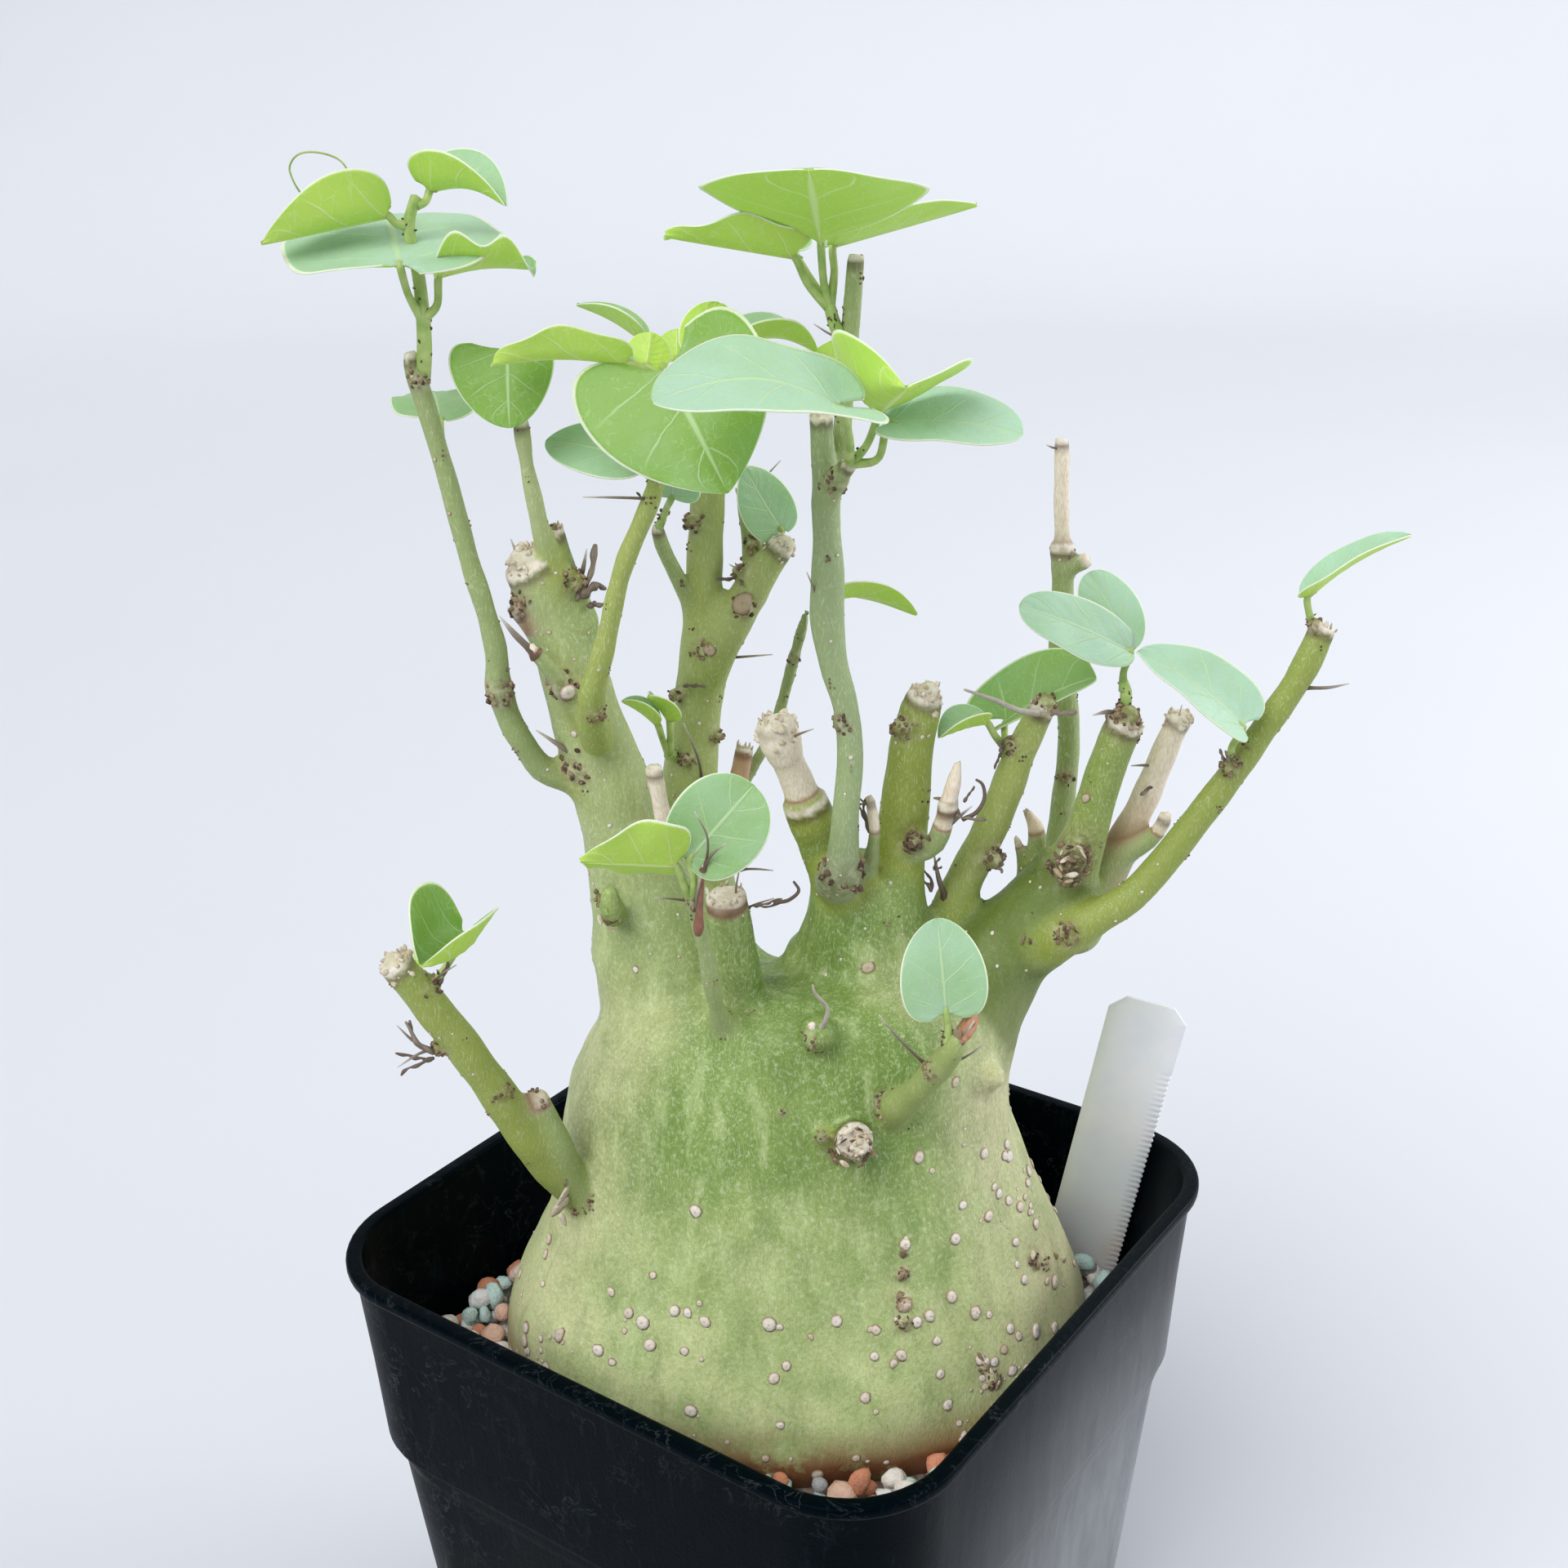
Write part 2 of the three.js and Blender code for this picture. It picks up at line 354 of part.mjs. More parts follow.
        face: [0, -1, 0.8], fold: [0, 6], lobe: 0.04, point: 0.45 },
      { petiole: [[70.5, 0, 270], [70.3, 0, 274]], base: [71.5, 0, 278.5], tip: [63.5, 6, 293], width: 12,
        face: [0, -1, 0.8], fold: [0, 0], arch: 0.04, lobe: 0.02, point: 0.45 },
    ],
  },
  leaf_right_long_stem: {
    leaves: [
      { petiole: [[93.5, -2, 253], [91.5, -6, 259.5]], base: [91, -10, 266], tip: [72, -6, 279], width: 18,
        face: [0.2, -0.8, 1], fold: [22, 22], arch: 0.08 },
    ],
  },
  leaf_right_long_stem_top: {
    leaves: [
      { petiole: [[109, 2, 280], [107, 2, 285]], base: [106.5, 2, 289.5], tip: [123, -6, 304], width: 10,
        face: [0, -0.3, 1], fold: [30, 40], arch: 0.06, point: 0.7 },
    ],
  },
};

const model = new THREE.Group();

// Repeatable random numbers between 0 and 1
let seed = 7;
function random() {
  seed = (seed * 16807) % 2147483647;
  return seed / 2147483647;
}

// A point or direction given as seen from the plant's front, in the part's frame
function place([right, away, up]) {
  return new THREE.Vector3(right, away, up).applyAxisAngle(upAxis, plantTurn);
}

// Closed skin over rings of points, each end closed by a fan round its middle
function skin(rings) {
  const count = rings[0].length;
  const last = rings.length - 1;
  const points = rings.flat();
  const middleOf = (ring) => ring.reduce((sum, p) => sum.add(p), new THREE.Vector3()).divideScalar(count);
  const startMiddle = points.push(middleOf(rings[0])) - 1;
  const endMiddle = points.push(middleOf(rings[last])) - 1;
  const index = [];
  for (let j = 0; j < count; j++) {
    const next = (j + 1) % count;
    index.push(startMiddle, next, j);
    index.push(endMiddle, last * count + j, last * count + next);
    for (let i = 0; i < last; i++) {
      const here = i * count;
      const above = here + count;
      index.push(here + j, here + next, above + next);
      index.push(here + j, above + next, above + j);
    }
  }
  const geometry = new THREE.BufferGeometry().setFromPoints(points);
  geometry.setIndex(index);
  return geometry;
}

function solid(geometry) {
  geometry.deleteAttribute('normal');
  geometry.deleteAttribute('uv');
  const merged = mergeVertices(geometry, 1e-4);
  return new wasm.Manifold(new wasm.Mesh({
    numProp: 3,
    vertProperties: Float32Array.from(merged.attributes.position.array),
    triVerts: Uint32Array.from(merged.index.array),
  }));
}

function join(solids) {
  return solids.reduce((whole, piece) => whole.add(piece));
}

// The largest body of a solid, with loose scraps left out
function largest(shape) {
  const bodies = shape.decompose();
  return bodies.reduce((best, body) => (body.volume() > best.volume() ? body : best));
}

function addMesh(name, shape, colour, roughness) {
  const cut = shape.getMesh();
  const geometry = new THREE.BufferGeometry();
  geometry.setAttribute('position', new THREE.BufferAttribute(Float32Array.from(cut.vertProperties), 3));
  geometry.setIndex(new THREE.BufferAttribute(Uint32Array.from(cut.triVerts), 1));
  geometry.computeVertexNormals();
  const material = new THREE.MeshStandardMaterial({ color: colour, roughness, metalness: 0, flatShading: true });
  const mesh = new THREE.Mesh(geometry, material);
  mesh.name = name;
  model.add(mesh);
}

// Square ring with rounded corners, counter-clockwise seen from above
function squareRing(half, corner, z) {
  const ring = [];
  for (let quarter = 0; quarter < 4; quarter++) {
    for (let i = 0; i <= cornerSteps; i++) {
      const angle = (quarter + i / cornerSteps) * Math.PI / 2;
      const side = quarter * Math.PI / 2 + Math.PI / 4;
      const centre = (half - corner) * Math.SQRT2;
      ring.push(new THREE.Vector3(
        centre * Math.cos(side) + corner * Math.cos(angle),
        centre * Math.sin(side) + corner * Math.sin(angle),
        z,
      ));
    }
  }
  return ring;
}

// Half width and corner radius of the pot's inside at a height
const bodySlope = (stepHalf - baseHalf) / stepBottom;
const insideProfile = [
  [floorThickness, baseHalf + bodySlope * floorThickness - wall, bodyCorner - wall],
  [stepBottom, stepHalf - wall, bodyCorner - wall],
  [stepTop, stepHalf - wall + seat, collarCorner - wall],
  [potHeight, rimInnerHalf, rimInnerCorner],
];

function insideAt(z) {
  const upper = Math.max(1, insideProfile.findIndex(([height]) => height >= z));
  const [z0, half0, corner0] = insideProfile[upper - 1];
  const [z1, half1, corner1] = insideProfile[upper];
  const share = (z - z0) / (z1 - z0);
  return [THREE.MathUtils.lerp(half0, half1, share), THREE.MathUtils.lerp(corner0, corner1, share)];
}

// Column that fits the pot's inside between two heights, one seat clear of the wall
function fillColumn(bottom, top) {
  const heights = [bottom, ...[stepBottom, stepTop].filter((z) => z > bottom && z < top), top];
  return solid(skin(heights.map((z) => {
    const [half, corner] = insideAt(z);
    return squareRing(half - seat, corner - seat, z);
  })));
}

// A stem from a smooth path of [right, away, up, radius], fattened by a clearance
function tube(points, sides, steps, clearance = 0) {
  const curve = new THREE.CatmullRomCurve3(points.map(place), false, 'centripetal');
  const frames = curve.computeFrenetFrames(steps, false);
  const rings = [];
  for (let i = 0; i <= steps; i++) {
    const t = curve.getUtoTmapping(i / steps);
    const along = t * (points.length - 1);
    const from = Math.min(Math.floor(along), points.length - 2);
    const radius = THREE.MathUtils.lerp(points[from][3], points[from + 1][3], along - from) + clearance;
    const centre = curve.getPoint(t);
    centre.addScaledVector(frames.tangents[i], clearance * (i === steps ? 1 : 0));
    const ring = [];
    for (let j = 0; j < sides; j++) {
      const angle = (j / sides) * Math.PI * 2;
      ring.push(centre.clone()
        .addScaledVector(frames.normals[i], radius * Math.cos(angle))
        .addScaledVector(frames.binormals[i], radius * Math.sin(angle)));
    }
    rings.push(ring);
  }
  return solid(skin(rings));
}

// Point of the trunk's skin at an angle from the plant's right, seen from above, and a height
function trunkPoint(angle, height, clearance = 0) {
  const upper = Math.max(1, trunkSections.findIndex(([z]) => z >= height));
  const [z0, ...low] = trunkSections[upper - 1];
  const [z1, ...high] = trunkSections[upper];
  const share = (height - z0) / (z1 - z0);
  const [right, away, halfWidth, halfDepth] = low.map((value, i) => THREE.MathUtils.lerp(value, high[i], share));
  const swell = 1 + 0.012 * Math.sin(3 * angle - 2.9) + 0.01 * Math.sin(5 * angle + height / 17);
  return [
    right + (halfWidth * swell + clearance) * Math.cos(angle),
    away + (halfDepth * swell + clearance) * Math.sin(angle),
    height,
  ];
}

function trunk(clearance) {
  return solid(skin(trunkSections.map(([height], level) => {
    const end = level === 0 ? -1 : Number(level === trunkSections.length - 1);
    return Array.from({ length: trunkSides }, (_, j) => {
      const point = trunkPoint((j / trunkSides) * Math.PI * 2, height, clearance);
      point[2] += end * clearance;
      return place(point);
    });
  })));
}

// A low faceted lump, turned at random, for scabs, bumps and stones
function lump(centre, geometry, flatness) {
  geometry.rotateX(random() * Math.PI);
  geometry.scale(1, 0.85 + 0.3 * random(), flatness);
  geometry.rotateZ(random() * Math.PI * 2);
  geometry.translate(centre.x, centre.y, centre.z);
  return solid(geometry);
}

// Corky bumps: dense on the trunk's lower third and to the right, few elsewhere
function corkBumps(clearance) {
  const bumps = [];
  const bumpCount = 30;
  for (let i = 0; i < bumpCount; i++) {
    const angle = i % 2 ? random() * Math.PI * 2 : -Math.PI / 2 + (random() - 0.25) * Math.PI * 0.7;
    const height = 124 + 70 * random() ** 2;
    const radius = 1 + 0.7 * random();
    bumps.push(lump(place(trunkPoint(angle, height)), new THREE.OctahedronGeometry(radius + clearance), 0.9));
  }
  return bumps;
}

// The whole grown body: trunk, stems, spines, scabs and bumps as one solid
function plantBody(clearance) {
  seed = 11;
  const pieces = [trunk(clearance)];
  for (const [sides, steps, points] of Object.values(stems)) {
    pieces.push(tube(points, sides, steps, clearance));
  }
  for (const [root, tip, radius] of spines) {
    pieces.push(tube([[...root, radius], [...tip, finestRadius]], 3, 1, clearance));
  }
  for (const [centre, radius] of scabs) {
    pieces.push(lump(place(centre), new THREE.OctahedronGeometry(radius * 1.1 + clearance), 0.85));
  }
  pieces.push(...corkBumps(clearance));
  return join(pieces);
}

// A blade as a surface of two parameters: t runs from base to tip, s from edge to edge.
// Half width follows t^0.42 (1 - t)^point; each half turns up by its fold angle within
// the inner two fifths of its width and runs straight from there.
function blade(leaf) {
  const { base, tip, width, face, fold, arch, wave, lobe, point, wing = 1 } = { ...leafDefaults, ...leaf };
  const start = place(base);
  const along = place(tip).sub(start);
  const length = along.length();
  along.normalize();
  const normal = place(face);
  normal.addScaledVector(along, -normal.dot(along)).normalize();
  const left = new THREE.Vector3().crossVectors(normal, along);
  const rise = 0.42;
  const widest = rise / (rise + point);
  const peak = widest ** rise * (1 - widest) ** point;
  const bend = 0.4;
  const rows = width > 25 ? 5 : 4;
  const columns = width > 14 ? 4 : 2;
  const endAngle = 0.24;

  const surface = (row, column, side) => {
    const turn = endAngle + (Math.PI - 2 * endAngle) * (row / rows);
    const t = (1 - Math.cos(turn)) / 2;
    const s = (2 * column) / columns - 1;
    const reach = Math.abs(s);
    const half = (width / 2) * ((t ** rise * (1 - t) ** point) / peak) ** wing;
    const turnUp = THREE.MathUtils.degToRad(s > 0 ? fold[0] : fold[1]) || 1e-3;
    const inner = turnUp * Math.min(reach / bend, 1);
    const outer = Math.max(reach - bend, 0);
    const across = half * ((bend / turnUp) * Math.sin(inner) + outer * Math.cos(turnUp)) * Math.sign(s);
    const lift = half * ((bend / turnUp) * (1 - Math.cos(inner)) + outer * Math.sin(turnUp))
      + arch * length * Math.sin(Math.PI * t)
      + wave * s * s * Math.sin(2 * Math.PI * (2 * t + 0.25 * Math.sign(s)));
    const forward = length * t - lobe * length * s * s * (1 - t) ** 3 * (half / (width / 2) + 0.4);
    // The thickness is laid off square to the folded half
    const tilt = s === 0 ? 0 : inner * Math.sign(s);
    const upward = normal.clone().multiplyScalar(Math.cos(tilt)).addScaledVector(left, -Math.sin(tilt));
    return start.clone()
      .addScaledVector(along, forward)
      .addScaledVector(left, across)
      .addScaledVector(normal, lift)
      .addScaledVector(upward, (side * bladeThickness) / 2);
  };

  const points = [];
  for (const side of [1, -1]) {
    for (let row = 0; row <= rows; row++) {
      for (let column = 0; column <= columns; column++) {
        points.push(surface(row, column, side));
      }
    }
  }
  const sheet = (rows + 1) * (columns + 1);
  const at = (row, column, lower) => lower * sheet + row * (columns + 1) + column;
  const index = [];
  const quad = (a, b, c, d) => index.push(a, b, c, a, c, d);
  for (let row = 0; row < rows; row++) {
    for (let column = 0; column < columns; column++) {
      quad(at(row, column, 0), at(row + 1, column, 0), at(row + 1, column + 1, 0), at(row, column + 1, 0));
      index.push(at(row, column, 1), at(row + 1, column + 1, 1), at(row + 1, column, 1));
      index.push(at(row, column, 1), at(row, column + 1, 1), at(row + 1, column + 1, 1));
    }
    quad(at(row, 0, 0), at(row, 0, 1), at(row + 1, 0, 1), at(row + 1, 0, 0));
    quad(at(row, columns, 0), at(row + 1, columns, 0), at(row + 1, columns, 1), at(row, columns, 1));
  }
  for (let column = 0; column < columns; column++) {
    quad(at(0, column, 0), at(0, column + 1, 0), at(0, column + 1, 1), at(0, column, 1));
    quad(at(rows, column, 0), at(rows, column, 1), at(rows, column + 1, 1), at(rows, column + 1, 0));
  }
  const geometry = new THREE.BufferGeometry().setFromPoints(points);
  geometry.setIndex(index);
  return solid(geometry);
}

// Petiole from its root on the stem to a little way along the blade's midrib
function petiole({ petiole: path, base, tip }) {
  const ends = base.map((value, i) => value + (tip[i] - value) * 0.09);
  const points = [...path, base, ends].map((point) => [...point, petioleRadius]);
  return tube(points, 4, 3);
}

function shoot({ stalks = [], tendril, leaves }) {
  const pieces = stalks.map(([sides, steps, points]) => tube(points, sides, steps));
  if (tendril) {
    pieces.push(tube(tendril.map((point) => [...point, 0.45]), 4, 9));
  }
  for (const leaf of leaves) {
    pieces.push(petiole(leaf), blade(leaf));
  }
  return join(pieces);
}

function pot() {
  const profile = [
    [baseHalf - baseInset, bodyCorner - baseInset, 0],
    [baseHalf, bodyCorner, baseInset * 2],
    [stepHalf, bodyCorner, stepBottom],
    [stepHalf, collarCorner, stepTop],
    [collarHalf, collarCorner, potHeight - rimDepth],
    [rimHalf, rimCorner, potHeight - rimDepth],
    [rimHalf, rimCorner, potHeight - 0.5],
    [rimHalf - 0.5, rimCorner - 0.5, potHeight],
    [rimInnerHalf + 0.4, rimInnerCorner + 0.4, potHeight],
    ...[potHeight - 0.5, stepTop, stepBottom, floorThickness].map((z) => [...insideAt(z), z]),
  ];
  let shell = solid(skin(profile.map(([half, corner, z]) => squareRing(half, corner, z))));
  for (const x of [-1, 0, 1]) {
    for (const y of [-1, 0, 1]) {
      if (x === 0 && y === 0) {
        continue;
      }
      const hole = new THREE.CylinderGeometry(drainHoleRadius, drainHoleRadius, floorThickness * 3, 10);
      hole.rotateX(Math.PI / 2);
      hole.translate(x * drainHoleReach, y * drainHoleReach, 0);
      shell = shell.subtract(solid(hole));
    }
  }
  return shell;
}

// Gravel bed with its top stones raised, clear of the trunk and of the pot's wall
function gravelBed() {
  seed = 23;
  const pieces = [fillColumn(mixTop + seat, gravelTop)];
  const reach = Math.floor(rimInnerHalf / stonePitch);
  const [, right, away, halfWidth, halfDepth] = trunkSections[3];
  for (let i = -reach; i <= reach; i++) {
    for (let j = -reach; j <= reach; j++) {
      const x = (i + 0.5 * (j % 2) + 0.5 * (random() - 0.5)) * stonePitch;
      const y = (j + 0.5 * (random() - 0.5)) * stonePitch;
      const z = gravelTop - 0.6 + 1.6 * random();
      const radius = stoneRadius * (0.85 + 0.3 * random());
      const seen = new THREE.Vector3(x, y, 0).applyAxisAngle(upAxis, -plantTurn);
      const underTrunk = Math.hypot((seen.x - right) / (halfWidth + 1), (seen.y - away) / (halfDepth + 1)) < 1;
      const [half, corner] = insideAt(gravelTop);
      const middle = half - corner;
      const fromMiddle = Math.hypot(Math.max(Math.abs(x) - middle, 0), Math.max(Math.abs(y) - middle, 0));
      const atWall = fromMiddle > corner - radius - 1;
      if (!underTrunk && !atWall) {
        pieces.push(lump(new THREE.Vector3(x, y, z), new THREE.IcosahedronGeometry(radius), 0.75));
      }
    }
  }
  return join(pieces);
}

// Flat label with clipped top corners and a pointed foot
function label(clearance) {
  const half = labelWidth / 2 + clearance;
  const shape = new THREE.Shape([
    new THREE.Vector2(-half, labelTop - labelCorner),
    new THREE.Vector2(-half, labelBottom + labelPoint),
    new THREE.Vector2(-half * 0.2, labelBottom - clearance),
    new THREE.Vector2(half * 0.2, labelBottom - clearance),
    new THREE.Vector2(half, labelBottom + labelPoint),
    new THREE.Vector2(half, labelTop - labelCorner),
    new THREE.Vector2(half - labelCorner, labelTop + clearance),
    new THREE.Vector2(-half + labelCorner, labelTop + clearance),
  ]);
  const depth = labelThickness + 2 * clearance;
  const geometry = new THREE.ExtrudeGeometry(shape, { depth, bevelEnabled: false });
  geometry.translate(0, -labelFoot[2], -depth / 2);
  geometry.rotateX(Math.PI / 2);
  geometry.rotateY(labelLean);
  geometry.rotateZ(labelTurn);
  geometry.translate(...labelFoot);
  geometry.rotateZ(plantTurn);
  return solid(geometry);
}

const plant = plantBody(0);
const plantClear = plantBody(seat);
const labelClear = label(seat);

addMesh('pot', pot(), 0x25282d, 0.45);
addMesh('potting_mix', largest(fillColumn(floorThickness + seat, mixTop).subtract(plantClear).subtract(labelClear)),
  0x3d3129, 1);
addMesh('gravel', largest(gravelBed().subtract(plantClear).subtract(labelClear)), 0xb49a88, 0.9);
addMesh('caudex_and_stems', largest(plant), 0x93a860, 0.6);
addMesh('label', label(0), 0xf2f4f6, 0.4);
for (const [name, parts] of Object.entries(shoots)) {
  addMesh(name, largest(shoot(parts).subtract(plantClear)), 0x86b36a, 0.5);
}

export default model;
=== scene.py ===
# Potted adenia spinosa: a green caudex with cut back stems, spines and round leaves,
# in gravel in a square nursery pot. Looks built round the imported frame.
import math
import bmesh
import bpy
import numpy as np
from mathutils import Matrix, Vector


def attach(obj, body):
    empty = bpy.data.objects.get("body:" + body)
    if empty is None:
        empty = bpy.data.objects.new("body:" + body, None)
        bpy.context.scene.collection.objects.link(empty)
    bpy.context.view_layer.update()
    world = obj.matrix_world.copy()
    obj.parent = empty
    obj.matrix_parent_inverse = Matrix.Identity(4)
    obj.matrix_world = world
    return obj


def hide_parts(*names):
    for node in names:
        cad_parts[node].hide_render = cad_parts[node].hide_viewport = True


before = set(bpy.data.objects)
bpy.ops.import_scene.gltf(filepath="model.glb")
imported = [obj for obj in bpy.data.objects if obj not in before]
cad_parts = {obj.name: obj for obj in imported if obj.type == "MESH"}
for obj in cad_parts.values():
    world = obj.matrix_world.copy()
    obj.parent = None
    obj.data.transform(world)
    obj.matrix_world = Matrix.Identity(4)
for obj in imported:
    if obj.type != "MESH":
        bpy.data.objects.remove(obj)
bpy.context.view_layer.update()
print("stage: frame loaded")

# Lengths below are millimetres: right, away and up as seen from the plant's front,
# which is turned by plantTurn degrees from the pot's sides
plantTurn = 35.73


def toFrame(points, turned=True):
    # turn about the upright axis, then millimetres to metres
    p = np.asarray(points, float)
    angle = math.radians(plantTurn) if turned else 0.0
    c, s = math.cos(angle), math.sin(angle)
    return np.stack([c * p[..., 0] - s * p[..., 1], s * p[..., 0] + c * p[..., 1], p[..., 2]], -1) * 0.001


def toPlant(points):
    # the way back: metres in the frame to the plant's own millimetres
    p = np.asarray(points, float) * 1000
    c, s = math.cos(math.radians(plantTurn)), math.sin(math.radians(plantTurn))
    return np.stack([c * p[..., 0] + s * p[..., 1], c * p[..., 1] - s * p[..., 0], p[..., 2]], -1)


def unit(v):
    return v / np.maximum(np.linalg.norm(v, axis=-1, keepdims=True), 1e-9)


# Meshes from arrays


def gridFaces(rows, columns, closed=False):
    # quads between neighbouring points of a grid; closed joins the last column to the first
    across = columns if closed else columns - 1
    i, j = np.meshgrid(np.arange(rows - 1), np.arange(across), indexing="ij")
    n = (j + 1) % columns
    corners = [i * columns + j, i * columns + n, (i + 1) * columns + n, (i + 1) * columns + j]
    return np.stack(corners, -1).reshape(-1, 4)


def closedRings(rings, count, flip=False):
    # quads between rings of points and a fan at each end, to the two points that come after
    j = np.arange(count)
    n = (j + 1) % count
    first, top = rings * count, (rings - 1) * count
    fans = np.concatenate([np.stack([np.full(count, first), n, j], -1),
                           np.stack([np.full(count, first + 1), top + j, top + n], -1)])
    quads = gridFaces(rings, count, True)
    return (quads[:, ::-1], fans[:, [0, 2, 1]]) if flip else (quads, fans)


def sheetFaces(rows, columns):
    # two equal grids of points, upper then lower, as one sheet closed by a rim of quads
    sheet = rows * columns
    grid = gridFaces(rows, columns)
    edge = np.concatenate([np.arange(columns), np.arange(2, rows) * columns - 1,
                           np.arange(sheet - 1, sheet - columns - 1, -1),
                           np.arange(rows - 2, 0, -1) * columns])
    onward = np.roll(edge, -1)
    rim = np.stack([edge, onward, onward + sheet, edge + sheet], -1)
    return np.concatenate([grid[:, ::-1], grid + sheet, rim])


def joined(parts):
    # several (points, quads, tris) as one, with the number of points in each
    points, quads, tris, at = [], [], [], 0
    for p, q, t in parts:
        points.append(p)
        quads.append(q + at)
        tris.append(t + at)
        at += len(p)
    return np.concatenate(points), np.concatenate(quads), np.concatenate(tris), [len(p) for p, _, _ in parts]


noTris = np.zeros((0, 3), int)
noQuads = np.zeros((0, 4), int)


def meshPiece(name, points, quads, tris, materials, slots=None, attributes={}, turned=True, uv=None):
    # one object from arrays; slots holds the material of each face, quads first
    mesh = bpy.data.meshes.new(name)
    corners = np.concatenate([quads.ravel(), tris.ravel()]).astype(np.int32)
    sizes = np.concatenate([np.full(len(quads), 4), np.full(len(tris), 3)]).astype(np.int32)
    mesh.vertices.add(len(points))
    mesh.vertices.foreach_set("co", toFrame(points, turned).astype(np.float32).ravel())
    mesh.loops.add(len(corners))
    mesh.loops.foreach_set("vertex_index", corners)
    mesh.polygons.add(len(sizes))
    mesh.polygons.foreach_set("loop_start", np.concatenate([[0], np.cumsum(sizes)[:-1]]).astype(np.int32))
    mesh.polygons.foreach_set("use_smooth", np.ones(len(sizes), bool))
    if slots is not None:
        mesh.polygons.foreach_set("material_index", np.asarray(slots, np.int32))
    mesh.update(calc_edges=True)
    for material in materials:
        mesh.materials.append(material)
    addAttributes(mesh, attributes)
    if uv is not None:
        layer = mesh.uv_layers.new(name="UVMap")
        layer.data.foreach_set("uv", uv[corners].astype(np.float32).ravel())
    piece = bpy.data.objects.new(name, mesh)
    bpy.context.scene.collection.objects.link(piece)
    return piece


def addAttributes(mesh, attributes):
    for key, values in attributes.items():
        values = np.asarray(values, np.float32)
        kind = "FLOAT_VECTOR" if values.ndim == 2 else "FLOAT"
        layer = mesh.attributes.new(key, kind, "POINT")
        layer.data.foreach_set("vector" if values.ndim == 2 else "value", values.ravel())


def smoothPath(points, count):
    # cubic through the points, its slope at each one that between its neighbours, the
    # steps between them the root of their distance; count samples evenly spaced along it
    p = np.asarray(points, float)
    knots = np.concatenate([[0], np.cumsum(np.sqrt(np.linalg.norm(np.diff(p[:, :3], axis=0), axis=1)))])
    slope = np.gradient(p, knots, axis=0)

    def at(u):
        i = np.clip(np.searchsorted(knots, u, side="right") - 1, 0, len(p) - 2)
        h = (knots[i + 1] - knots[i])[:, None]
        x = (u - knots[i])[:, None] / h
        return ((1 + 2 * x) * (1 - x) ** 2 * p[i] + x * (1 - x) ** 2 * h * slope[i]
                + x * x * (3 - 2 * x) * p[i + 1] + x * x * (x - 1) * h * slope[i + 1])

    fine = np.linspace(0, knots[-1], 240)
    line = at(fine)
    length = np.concatenate([[0], np.cumsum(np.linalg.norm(np.diff(line[:, :3], axis=0), axis=1))])
    samples = at(np.interp(np.linspace(0, length[-1], count), length, fine))
    if p.shape[1] > 3:
        samples[:, 3] = np.maximum(samples[:, 3], 0.12)
    return samples


def tube(path, sides, rings, dome=0.0):
    # circles carried along a smooth path of right, away, up and radius, closed at both
    # ends by a fan; the side direction is square to the path and to one fixed axis
    line = smoothPath(path, rings)
    centre, radius = line[:, :3], line[:, 3:4]
    ahead = unit(np.gradient(centre, axis=0))
    fixed = np.eye(3)[np.argmin(np.abs(ahead.mean(0)))]
    side = unit(np.cross(ahead, fixed))
    over = np.cross(side, ahead)
    turn = np.linspace(0, 2 * math.pi, sides, endpoint=False)
    ring = np.cos(turn)[None, :, None] * side[:, None] + np.sin(turn)[None, :, None] * over[:, None]
    points = (centre[:, None] + radius[:, None] * ring).reshape(-1, 3)
    start = centre[0] - ahead[0] * radius[0] * dome
    end = centre[-1] + ahead[-1] * radius[-1] * dome
    # side x over points against the path, so the rings run clockwise seen from ahead
    return np.concatenate([points, [start, end]]), *closedRings(rings, sides, flip=True)


# The trunk and stems, one grown body

trunk = {
    # height, middle right, middle away, half width, half depth
    "sections": [[72, 3, 4, 30, 24], [92, 3, 3, 50, 38], [106, 3, 3, 61, 48], [118, 3, 2.5, 67.5, 54],
                 [130, 2.5, 2.5, 65, 52], [141, 2.5, 2.5, 60, 47.5], [152, 3, 2.5, 55.5, 43],
                 [163, 2.5, 2.5, 51.5, 39], [174, 1.5, 2.5, 48.5, 36], [185, 2, 2, 46.5, 33],
                 [196, 4.1, 0.5, 43.8, 29], [203, 4.8, -4.5, 38.2, 20.5], [208, 4.5, -9.5, 30, 13.5],
                 [210, 5, -11, 18, 6]],
    "rings": 60, "sides": 96,
    "easing": 3.0,  # how far up and down the sections flow into each other
    "voxel": 0.92,  # width of a mesh cell
    "triangles": 188000,  # the skin is thinned to this many, most where it is flat
    "lumps": (0.5, 34.0), "ripples": (0.12, 7.5),  # height and width of swellings in the skin
    "rounds": [(1.6, 3, 3.0), (1, 3, 1.2)],  # mesh cell, rounds onto the skin, most in one round
}

# how the bark takes its looks from the trunk and stems near it, in millimetres
blending = {
    "trunkFade": 1.6, "stemFade": 1.2, "stemWeight": 1.4,  # how far each counts off its own skin
    "cutDepth": 0.4, "rimFrom": 1.7, "rimWidth": 1.0, "onEnd": 0.9,  # a cut end's face and its ring
    "scabSink": 0.72, "scabFlow": 1.4, "scabReach": 1.15,  # how a scab swells and stains the skin
    "flankLightTop": 222, "flankLightFade": 25,
}

